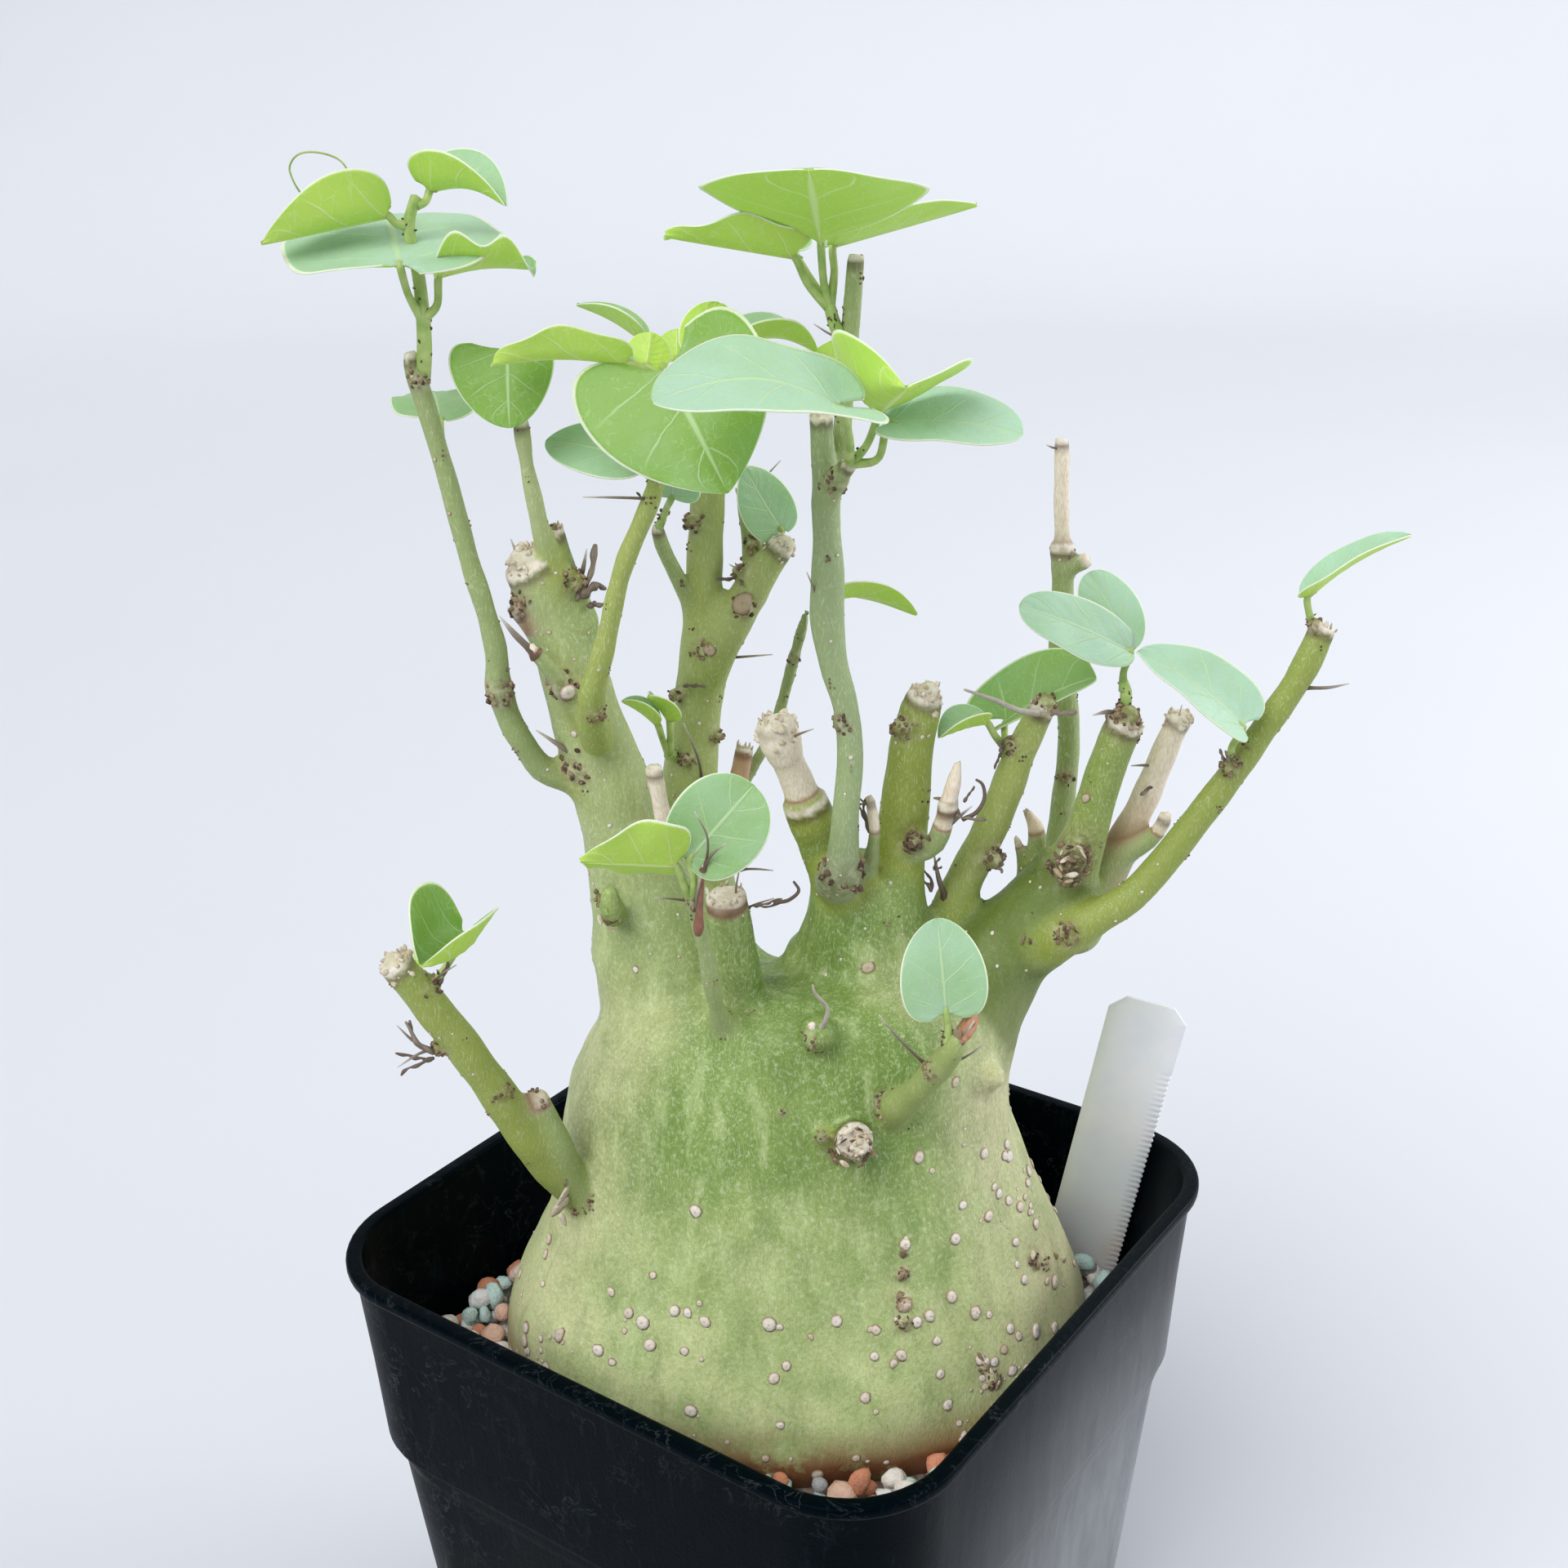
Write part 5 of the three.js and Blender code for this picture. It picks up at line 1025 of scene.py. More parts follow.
warts = {
    "trunk": 400, "stems": 320,  # how many
    "trunkSize": (0.4, 1.6), "stemSize": (0.25, 0.5),
    "height": 0.38,  # as a share of the radius
    # height on the trunk where they crowd and how far that spreads; the same for the right
    # side, and where to the right that sets in; between what heights there are any
    "crowd": (128, 16), "rightCrowd": (150, 34), "rightFrom": (18, 40), "trunkRange": (117, 205),
    "dents": 4,
    # the large ones of the front: place, radius and tint
    "placed": [
        [-17.2, -31.5, 170.6, 1.7, 0.6], [45.5, -18.1, 164.2, 1.3, 0.7], [44.6, -18.6, 166.5, 1, 0.7],
        [48.3, -16.5, 161.1, 1.2, 0.6], [54.2, -13.5, 152.3, 1.4, 0.5], [35.9, -28.6, 159.5, 1.5, 0.6],
        [25.1, -33, 161.4, 1.3, 0.5], [51.6, -22.2, 145.3, 1.3, 0.7], [58.9, -15.5, 139.1, 1.6, 0.4],
        [30.3, -36.5, 148.1, 1.6, 0.6], [33.9, -33.8, 150.1, 1.3, 0.5], [39.5, -32.8, 145.1, 1.5, 0.5],
        [42.8, -31.7, 143.1, 1, 0.5], [47.3, -30.5, 138, 1.2, 0.7], [49.1, -30.3, 135.7, 1, 0.3],
        [23.3, -41.9, 141.2, 1.3, 0.4], [18.2, -42.9, 141.5, 1.1, 0.6], [31.8, -40.9, 136.1, 1.2, 0.6],
        [-3.4, -41.1, 149.7, 1.7, 0.7], [10, -41, 149.5, 1.5, 0.6], [-22.8, -36.9, 148.6, 1.4, 0.7],
        [-29.6, -35, 145.9, 1.7, 0.6], [-27.5, -38.1, 142.1, 1.4, 0.5], [-15.9, -39.3, 148.8, 1.2, 0.4],
        [-0.6, -41.9, 148.2, 0.9, 0.5], [-0.2, -44.4, 142.1, 1.1, 0.6], [-20.8, -40.6, 142.2, 1.1, 0.5],
        [40.7, -36.6, 135.6, 1.3, 0.6], [58.1, -23, 132, 1.4, 0.7], [65.1, -12.6, 128.2, 1.5, 0.4],
        [24.9, -38, 150.3, 1.8, 0.9], [27, -38.5, 147.2, 1.3, 0.8], [-5.7, 20, 283.3, 2.4, 1],
        [-13.9, 19, 274.3, 1.5, 0.97], [-21, -8, 241.5, 1.2, 0.9], [18.7, -12, 215, 1.4, 0.9],
        [62, -3, 247, 1.1, 0.9], [-39.5, -4, 264.1, 0.9, 0.7], [-30, -9, 214, 0.9, 0.6],
        [-40.2, -9, 274.6, 1.7, 0.6],
    ],
}


def buildWarts(skin, normals, tone):
    # on the trunk they crowd its lower third and its right side; on stems they are small
    rng = np.random.default_rng(41)
    x, z = skin[:, 0], skin[:, 2]
    low, right = (np.exp(-((z - warts[key][0]) / warts[key][1]) ** 2) for key in ("crowd", "rightCrowd"))
    right = np.clip((x - warts["rightFrom"][0]) / warts["rightFrom"][1], 0, 1) * right
    onTrunk = (tone["youth"] < 0.12) & (z > warts["trunkRange"][0]) & (z < warts["trunkRange"][1])
    chance = onTrunk * (0.03 + 1.5 * low + 0.9 * right)
    chance *= np.clip(0.6 + waves(skin, 30, 42), 0.05, 3)
    onStems = (tone["youth"] > 0.2) & (tone["dry"] < 0.3) & (z > 200)
    picks = np.concatenate([rng.choice(len(skin), warts["trunk"], False, chance / chance.sum()),
                            rng.choice(len(skin), warts["stems"], False, onStems / onStems.sum())])
    least, most = warts["trunkSize"]
    radius = np.concatenate([least + (most - least) * rng.random(warts["trunk"]) ** 1.7,
                             rng.uniform(*warts["stemSize"], warts["stems"])])
    placed = np.array(warts["placed"])
    centres, outward = nearestOnSkin(placed[:, :3], skin, normals)
    centres, outward = np.concatenate([skin[picks], centres]), np.concatenate([normals[picks], outward])
    radius = np.concatenate([radius, placed[:, 3]])
    size = radius[:, None] * np.stack([rng.uniform(0.8, 1.3, len(radius)), np.ones(len(radius)),
                                       np.full(len(radius), warts["height"])], -1)
    points, tris = scattered(pebble(2), centres, size, turnsFor(outward, 43), warts["dents"], 44)
    tint = np.repeat(np.concatenate([rng.random(len(picks)) * 0.9, placed[:, 4]]),
                     len(points) // len(radius))
    # how far up each wart a point is: its top is worn pale
    crown = np.tile(pebble(2)[0][:, 2], len(radius))
    return meshPiece("corkyWarts", points, noQuads, tris, [wartMaterial()],
                     attributes={"tint": tint, "crown": crown})


# root, tip, radius at the root
spineLines = [
    [[-13, 26, 270], [0, 22, 272], 0.8], [[-16, 22, 243], [-18.5, 8, 262], 0.8], [[-15, -28, 238],
    [-23, -34, 242], 0.6], [[-8, -15, 230], [-7, -16, 240.5], 0.6], [[-7, -16, 239.5], [-0.5, -18, 240],
    0.6], [[29.5, -40, 207], [19, -46, 222.5], 0.7], [[32, -44, 210.5], [39, -46, 216], 0.6],
    [[106, 0, 270], [114.5, -4, 272], 0.9], [[-68, -29, 221], [-61.5, -35, 229], 0.7], [[-66, -28, 207],
    [-74.5, -36, 207.5], 0.8], [[-20.5, -16, 314.5], [-33.5, -22, 316.5], 0.7], [[-6, 30, 304],
    [2.5, 28, 312], 0.7], [[15, -3, 341], [9, -8, 344.5], 0.6], [[70, 0, 265], [64, -3, 266], 1.3],
    [[61, 32, 312.5], [57.5, 29, 314], 0.6], [[-4, 25, 288], [-8.5, 21, 292], 1], [[2, -3, 261.5],
    [8, -8, 266], 0.7], [[-7, -13, 229], [-0.5, -16, 233], 0.6], [[-38, 1, 293], [-35.5, -1, 301.5], 1.3],
    [[-38, 0, 257], [-47.5, -3, 265], 1.6], [[36, 6, 222], [33, 3, 234], 1.5], [[34, -7, 243],
    [39.5, -9.5, 249.5], 1.2], [[-14, -28, 230], [-13.5, -36, 249.5], 1.1], [[-13.5, -35.5, 248],
    [-14.5, -40, 262], 0.6], [[-13.7, -35.5, 248], [-9, -40, 255.5], 0.7], [[-68, -29, 207],
    [-75, -31, 214], 0.9], [[80, 9, 251], [83.5, 5, 265], 0.8], [[80, 9, 250], [74, 6, 251.5], 0.8],
    [[9.5, -10.5, 291], [7, -14, 299.5], 0.6], [[-47.5, 0, 297], [-50, -2, 304], 1], [[-49, -15, 168],
    [-43, -19, 178], 2.2], [[33, -46, 214], [36.5, -49, 222.5], 1.7], [[-45.6, -8.4, 282.4],
    [-52.2, -9, 290.6], 1.7],
]


# knobbly dead twigs: root, heading, length, radius, how many
twigTufts = [
    [[-38, -2, 291.5], [0.3, 0, 1], 12, 1.3, 1], [[-37, -2, 292], [0.8, -0.2, 0.7], 7, 1.5, 1],
    [[-36, -1, 290], [0.9, 0.1, 0.3], 5, 0.9, 2], [[-68.5, -30, 207], [-0.7, -0.4, 0.8], 9, 0.8, 2],
    [[-68.5, -30, 206], [-1, -0.3, 0], 8, 0.7, 2], [[36.5, -8, 246], [0.5, -0.2, 0.7], 8, 0.7, 2],
    [[38, -8.5, 250], [0.2, 0, 1], 4, 0.6, 1], [[32.5, 2, 225.5], [0.1, 0, 1], 8, 0.7, 2], [[33, 1, 231],
    [0.5, -0.3, 0.5], 3, 0.6, 2], [[-4.5, -16, 231.5], [1, -0.2, 0.2], 6, 0.5, 2], [[19, -8, 243.5],
    [0, 0, 1], 8, 0.6, 2], [[18.7, -9, 250], [-0.6, 0, 0.5], 4, 0.5, 2], [[-66.5, -29.5, 222],
    [0.9, -0.2, 0.8], 7, 0.9, 1], [[61, -1, 266], [-0.9, -0.2, 0.1], 5, 1.1, 1], [[91, -5, 255],
    [-0.4, -0.3, 0.9], 4, 0.6, 3], [[47, 6, 255], [-0.3, -0.3, 0.8], 4, 0.6, 3], [[71, 0, 264],
    [0.1, -0.2, 1], 5, 0.6, 3], [[79.5, 7, 246], [-0.8, -0.3, 0.2], 5, 0.8, 2], [[-53.5, -5, 276],
    [0.4, -0.3, 1], 4, 0.5, 2], [[-19, 20, 266], [0.8, -0.3, 0.3], 5, 0.6, 2], [[-6, 25, 288],
    [-0.8, -0.4, 0.4], 6, 0.8, 2], [[-22, -14, 313], [-0.3, -0.2, 1], 4, 0.5, 2], [[46, 3, 230],
    [0.6, -0.4, 0.5], 4, 0.6, 3], [[-8, -15, 230], [-0.6, -0.4, 0.6], 4, 0.5, 2],
]
# dry curled ends of old tendrils: paleness, points and radii
dryCurls = [
    [0.05, [[-13.7, -33, 259, 0.25], [-13.9, -33, 254, 0.35], [-13.7, -33, 248.8, 0.45],
    [-14.2, -34, 241.6, 0.5], [-14.7, -34, 238, 0.8], [-14.9, -34, 235.4, 1.1], [-15, -34, 233.9, 0.6]]],
    [0.8, [[53.9, 4, 264.3, 0.9], [50, 1, 265.8, 0.65], [44, -4, 270, 0.5], [37.7, -8, 273.6, 0.25]]], [0.8,
    [[8.2, -27.5, 209.5, 0.55], [9.4, -28.6, 212.5, 0.5], [9.7, -29, 215, 0.42], [8.4, -30, 217.4, 0.4],
    [7.2, -30.8, 219.4, 0.34], [6.8, -31.2, 221.4, 0.2]]], [0.3, [[37.8, -8, 246, 0.5],
    [40.5, -9, 248, 0.45], [42, -9, 251, 0.4], [41.5, -9, 254, 0.35], [40.2, -9, 255, 0.25]]], [0.3,
    [[-0.5, -18, 233, 0.45], [2.5, -19, 234, 0.4], [4.5, -19, 236, 0.35], [3.5, -19, 238, 0.25]]],
]
# loose flat flakes of bark: middle, heading, width, thickness and length, tint
barkFlakes = [
    [[35.3, -47, 219.8], [0.55, -0.3, 0.8], (2.5, 0.5, 3.9), 1.4], [[33.6, -46.8, 218], [0.2, -0.5, 0.9],
    (1.2, 0.4, 2.4), 0.6], [[-43.6, -17.5, 173.5], [0.2, -0.1, 1], (0.7, 0.4, 2.4), 0.95],
    [[-45.5, -20.5, 168], [0.5, 0, 0.9], (1.1, 0.5, 4.2), 0.86], [[-47, -20, 164], [0.6, 0, 0.8],
    (1.3, 0.5, 3.2), 0.82], [[-46.5, -21, 161.5], [-0.3, 0, 1], (0.9, 0.5, 2.2), 0.9], [[-45, -21.5, 173],
    [0.15, 0, 1], (0.6, 0.4, 3.4), 0.5], [[6.6, -27.6, 210.2], [0, -1, 0.3], (1.0, 1.0, 0.7), 1.0],
    [[24.7, -33.9, 160.2], [0, -0.3, 1], (0.9, 0.4, 1.4), 0.5], [[24.3, -35.8, 156.3], [0.2, -0.3, 1],
    (1.1, 0.5, 1.5), 0.7], [[23.7, -37.5, 152.6], [-0.2, -0.3, 1], (1.2, 0.5, 1.3), 0.55],
    [[25.2, -38, 150], [0.3, -0.3, 1], (1.0, 0.5, 1.6), 0.82], [[53.5, -18.3, 148.4], [0.5, -0.2, 1],
    (1.3, 0.5, 1.0), 0.85], [[54.8, -18.5, 145.8], [-0.2, -0.2, 1], (1.0, 0.5, 1.3), 0.6],
    [[61.4, -9.1, 140.2], [0.2, 0, 1], (1.2, 0.5, 1.3), 0.8], [[59.7, -11, 143], [-0.2, 0, 1],
    (0.9, 0.4, 1.1), 0.7], [[42, -37.1, 134.2], [-0.5, 0, 1], (0.6, 0.4, 1.9), 0.75], [[43.4, -37.1, 131.9],
    [-0.4, 0, 1], (0.6, 0.4, 2.2), 0.92], [[40.8, -36.7, 136.3], [-0.6, 0, 1], (0.5, 0.4, 1.6), 0.6],
    [[44.4, -37.7, 129.9], [0.3, 0, 1], (0.6, 0.4, 1.4), 0.8],
]


def twigParts(rng):
    # each wanders from its heading a little at every step, thick where a bud once sat
    parts = []
    for root, heading, length, radius, count in twigTufts:
        for k in range(count):
            stray = np.cumsum(rng.normal(size=(6, 3)) * 0.28, 0)
            ways = unit(np.array(heading, float) + stray + rng.normal(size=3) * 0.25 * k)
            points = np.concatenate([[root], root + np.cumsum(ways * length / 6, 0)])
            thick = 0.66 * radius * np.where(np.arange(7) % 2, 1.0, 0.6) * np.linspace(1.1, 0.75, 7)
            thick = thick * rng.uniform(0.75, 1.2, 7)
            parts.append(tube(np.column_stack([points, thick]).tolist(), 7, 22, dome=0.5))
    return parts


def buildSpines():
    # thin cones, each a little bowed, with a swollen root
    rng = np.random.default_rng(51)
    parts, along = [], []
    for root, tip, radius in spineLines:
        root, tip = np.array(root, float), np.array(tip, float)
        bow = rng.normal(size=3) * np.linalg.norm(tip - root) * 0.04
        path = [[*root, radius], [*(root * 0.85 + tip * 0.15 + bow * 0.5), radius * 0.5],
                [*((root + tip) / 2 + bow), radius * 0.38], [*tip, 0.12]]
        parts.append(tube(path, 7, 12, dome=0.6))
        along.append(np.linspace(0, 1, len(parts[-1][0])))
    for part in twigParts(rng):
        parts.append(part)
        along.append(np.full(len(part[0]), rng.uniform(0.2, 0.6)))
    for paleness, curl in dryCurls:
        parts.append(tube(curl, 7, 30, dome=0.4))
        along.append(np.full(len(parts[-1][0]), paleness))
    points, quads, tris, _ = joined(parts)
    return meshPiece("spines", points, quads, tris, [spineMaterial()],
                     attributes={"along": np.concatenate(along)})


# Leaves

# what a leaf is where its row says nothing else: the folds of its left and right halves in
# degrees, the bow of its midrib as a share of its length, how early it is widest, the
# width of its halves, the wave of its edge, how far its lobes reach back, how sharply it
# narrows, how square its shoulders are and how white its bloom is
leafShape = {"fold": (5, 5), "arch": 0.05, "rise": 0.42, "sides": (1, 1), "wave": 0, "lobe": 0.1,
             "point": 0.6, "corner": 0, "bloom": 0.5}
bladeMesh = {"rows": 34, "columns": 25, "thickness": 0.5, "edge": 0.28, "midrib": 0.45, "puff": 0.16,
             "veinStep": 0.17, "bend": 0.4}
leafScales = {"count": 26, "reach": 0.8, "size": (0.2, 0.55)}


def leaf(path, width, face, **shape):
    # the path holds the leaf's own stalk, its base and its tip; face is how its upper side looks
    *petiole, base, tip = path
    return {**leafShape, "petiole": petiole, "base": base, "tip": tip, "width": width, "face": face, **shape}


def shoot(*leaves, stalks=(), tendril=()):
    return {"leaves": leaves, "stalks": stalks, "tendril": tendril}


# leafy shoots by the frame's node they stand for
shootTable = {
    "leafy_shoot_left_top": shoot(
        leaf([[-63.5, -7, 363], [-65.5, -8, 363.5], [-67, -8, 365], [-88.5, -14, 361]], 22, [0, 0.3, 1],
             fold=(58, 55), arch=0, point=0.95, bloom=0.3),
        leaf([[-62.5, -7, 346.5], [-64, -10, 351], [-64, -16, 357], [-72.5, 18, 363]], 40, [0, -0.2, 1],
             fold=(-4, -4), wave=1, bloom=0.8),
        leaf([[-62.5, -7, 346.5], [-59.5, -8, 349], [-58.5, -8, 354.5], [-41.5, -6, 355]], 19, [0, 0, 1],
             fold=(25, 50), arch=0.06, wave=1.5, point=0.7),
        leaf([[-62, -6, 366.5], [-60.5, -5, 367], [-59.5, -4, 369], [-45.5, -10, 366.5]], 17,
             [-0.2, 0.2, 1], fold=(62, 52), arch=0.12, lobe=0.3, point=0.8, bloom=0.55),
        stalks=[[[-63.5, -6, 336, 1.5], [-62.5, -7, 342, 1.4], [-62.5, -7, 354, 1.2], [-63.5, -7, 363, 1.1],
                 [-62, -6, 368, 0.9]]],
        tendril=[[-72, -10, 371], [-74, -10, 374.5], [-78.5, -10, 376], [-81.5, -10, 375.5],
                 [-83, -10, 373.5], [-82.5, -10, 371], [-81, -9.5, 368]]),
    "leaf_left_behind": shoot(
        leaf([[-61.5, -5, 322], [-62.5, 2, 324], [-63.5, 8, 325.5], [-67.5, 26, 327.5]], 18, [0, -0.1, 1],
             fold=(8, 8), wave=0.5)),
    "leaf_left_hanging": shoot(
        leaf([[-46, -6, 326], [-46.5, -4, 334], [-47.5, -5, 340.5], [-47.5, -10, 327]], 20, [0, -1, 0.3],
             fold=(-12, -12), rise=0.14, point=0.55, sides=(0.85, 1.15), bloom=-0.1)),
    "leafy_shoot_centre_left": shoot(
        leaf([[-17, -12, 335], [-21, -15, 337.5], [-25, -16, 339.5], [-49, -16, 339.5]], 15, [0, 0.15, 1],
             fold=(58, 35), wave=0.6, bloom=0.7),
        leaf([[-17, -12, 335], [-20, -4, 338], [-23.5, 4, 341], [-35.5, 6, 347]], 12, [0.2, 0.2, 1],
             fold=(20, 40), point=0.8, bloom=0.35),
        leaf([[-17, -12, 335], [-20, -10, 336.5], [-22, -8, 337.5], [-21, -4, 343]], 8.5, [0, 1, 0.2],
             point=0.5, bloom=0.3),
        leaf([[-16.5, -12, 335], [-16.5, -4, 335.5], [-17, 6, 336.5], [-17, 10, 341.5]], 8, [0, 1, 0.2],
             point=0.5, bloom=0.3),
        leaf([[-16.5, -12, 335], [-14, -4, 335], [-12, 4, 336.5], [-8.5, 8, 346.5]], 12, [0, 1, 0.2],
             point=0.5, bloom=0.3),
        leaf([[-16.5, -12, 335], [-11, -4, 336.5], [-5.5, 2, 340], [9.5, 6, 337.5]], 16, [0, -0.3, 1],
             fold=(10, 60), arch=0.14, bloom=0.6),
        leaf([[-16.5, -12, 334], [-18, -16, 337.5], [-18, -18, 338.5], [-7, -30, 318.5]], 36, [0, -1, 0.6],
             fold=(-8, -12), arch=0.06, lobe=0.3, rise=0.26, point=0.85, bloom=0.0),
        stalks=[[[-17, -12.5, 332, 1.5], [-16.7, -12, 336, 1.6]]]),
    "leaf_centre_left_low": shoot(
        leaf([[-20.8, -16, 317], [-22, -12, 318.5], [-23, -6, 319], [-42.5, 4, 321.5]], 13, [0, -0.8, 1],
             fold=(0, 8), lobe=0.08, bloom=0.65)),
    "leaf_centre_left_small": shoot(
        leaf([[-22.7, 18.5, 300.5], [-20.5, 13, 306], [-19, 8, 309.5], [-17, 4, 318]], 11, [0, -1, 0.5],
             point=0.8, bloom=0.6)),
    "leaf_centre_hanging": shoot(
        leaf([[-3.8, 29, 291], [0, 26, 294], [2.5, 26, 297.5], [-5, 22, 312]], 12, [0.3, -1, 0.4],
             arch=-0.05, point=0.7, bloom=0.6)),
    "leafy_shoot_centre_top": shoot(
        leaf([[12, -2, 346.5], [11, -2, 351], [10.5, -2, 358], [8, -26, 372.5]], 41, [0, 0.2, 1],
             fold=(3, 8), arch=0, lobe=0, rise=0.95, point=0.5, corner=0.45, bloom=0.4),
        leaf([[12, -2, 346.5], [13, 0, 352.5], [13, 2, 357.5], [40, 8, 363.5]], 18, [0, 0.12, 1],
             fold=(8, 30), arch=0, point=0.8, bloom=0.4),
        leaf([[12, -2, 346.5], [8, -2, 351], [5.5, -2, 356], [-17.5, -8, 360.5]], 16, [0, 0.25, 1],
             fold=(45, 20), arch=0, wave=0.8, lobe=0.15, point=0.75, bloom=0.4),
        leaf([[12, -2, 346.5], [8.5, 3, 351.5], [5.5, 6, 356], [3.5, 18, 359]], 9, [0, -0.6, 1], arch=0),
        stalks=[[[15.8, -3, 338, 1.3], [13, -3, 343.5, 1.2], [12, -2, 347, 1.1]]]),
    "leaf_centre_top_low": shoot(
        leaf([[14.6, -4, 330], [15, 2, 330.5], [14.5, 6, 331.5], [13, 12, 338.5]], 14, [0, 1, 0.2], arch=0,
             point=0.5, bloom=0.3)),
    "leafy_shoot_centre_front": shoot(
        leaf([[15, -16.5, 320.5], [18, -18, 324], [20.5, -19, 330.5], [24, -36, 337.5]], 34, [-0.2, 0.5, 1],
             fold=(22, 76), arch=0, bloom=0.45),
        leaf([[15, -16.5, 320.5], [20, -18, 321.5], [22, -20, 328.5], [45.6, -24, 326.6]], 18,
             [0, -0.35, 1], fold=(4, -6), rise=0.3, point=0.45, sides=(1.35, 0.65), lobe=0.15, bloom=1.1),
        leaf([[15, -16.5, 320.5], [14.5, -27, 328], [12.5, -36, 334.5], [-18.5, -48, 338]], 26,
             [0, -0.4, 1], fold=(8, 6), arch=0.14, lobe=0.3, point=0.55, bloom=0.95)),
    "leaf_centre_behind": shoot(
        leaf([[10.5, -9, 290], [11, -3, 290.5], [11.5, 0, 290.5], [29.5, 8, 284.5]], 9, [0, 0.6, 1],
             fold=(10, 25), arch=0.1, point=0.75)),
    "leafy_shoot_back_arm": shoot(
        leaf([[-22.5, 20, 250.5], [-23.5, 16, 255.5], [-24.5, 14, 260], [-31.5, 14, 265]], 9, [0, 0, 1],
             fold=(45, 30)),
        leaf([[-22.5, 20, 250.5], [-22, 17, 255], [-22, 16, 260], [-26, 12, 266.5]], 9, [0, 0, 1],
             fold=(20, 35)),
        stalks=[[[-20.5, 22, 249, 1.6], [-22.7, 19.5, 251, 1.3]]]),
    "leafy_shoot_low_middle": shoot(
        leaf([[-16.3, -31, 240], [-15.5, -33, 244.5], [-16, -34, 250], [-3.6, -31, 263.4]], 18.5,
             [0, -1, 0.35], fold=(6, 6), lobe=0.14, point=0.45, bloom=0.42),
        leaf([[-16.3, -31, 240], [-17.5, -33, 244.5], [-18.8, -34, 248.8], [-36, -38, 251.5]], 19,
             [0, 1.4, 1], fold=(14, 16), arch=0, wave=0.5, lobe=0.14, point=0.85, sides=(1.3, 0.9),
             bloom=0.35),
        stalks=[[[-15.6, -29.5, 237, 1.1], [-16.5, -31, 241, 1.1]]]),
    "leaf_low_left": shoot(
        leaf([[-67.5, -29, 221.5], [-64.5, -29.5, 226], [-60.3, -28.5, 232.5], [-66.3, -44, 233.5]], 30,
             [0.36, 0.2, 1], fold=(72, 66), arch=-0.06, rise=0.35, point=0.42, lobe=0.05, bloom=0.0)),
    "leaf_low_right": shoot(
        leaf([[32, -45, 215], [32, -46, 220], [31.5, -46.5, 223], [30, -42, 240.5]], 16.5, [0, -1, 0.25],
             fold=(6, 6), rise=0.3, point=0.56, bloom=0.68)),
    "leafy_shoot_right_slim": shoot(
        leaf([[48, 7.5, 255.5], [45.5, 5, 259], [43.5, 4, 262.5], [33.5, 0, 261]], 12, [0, -0.2, 1],
             fold=(60, 20), point=0.7),
        leaf([[48, 7.5, 253.5], [48.3, 11.5, 256], [48.7, 14, 258.8], [66.5, 9, 270]], 15.5,
             [0, -0.75, 0.8], fold=(6, 30), arch=0.1, lobe=0.35, rise=0.3, point=0.36, sides=(1.35, 0.35),
             bloom=0.1),
        stalks=[[[50.5, 8, 254.5, 1.6], [47.6, 7, 256, 1.4]]]),
    "leaf_right_fork": shoot(
        leaf([[70.5, 0, 270], [70.3, 0, 274], [71.5, 0, 278], [48, -8, 290.5]], 12, [0, -1, 0.8],
             fold=(0, 6), lobe=0.04, point=0.45, bloom=0.9),
        leaf([[70.5, 0, 270], [70.3, 0, 274], [71.5, 0, 278.5], [63.5, 6, 293]], 12, [0, -1, 0.8],
             fold=(0, 0), arch=0.04, lobe=0.02, point=0.45, bloom=0.85),
        stalks=[[[70.5, 0, 262, 1.4], [71, 0, 269.5, 1.2], [70.3, 0, 272, 1]]]),
    "leaf_right_long_stem": shoot(
        leaf([[93.5, -2, 253], [91.5, -6, 259.5], [92.5, -10, 265.5], [71.5, -6, 280]], 15, [0.2, -0.8, 1],
             fold=(14, 16), arch=0.08, rise=0.25, sides=(0.75, 1.15), bloom=1.0)),
    "leaf_right_long_stem_top": shoot(
        leaf([[109, 2, 280], [107, 2, 285], [106.5, 2, 288.5], [123, -6, 302.5]], 10, [0, -0.3, 1],
             fold=(30, 40), arch=0.06, point=0.7, bloom=0.85)),
}


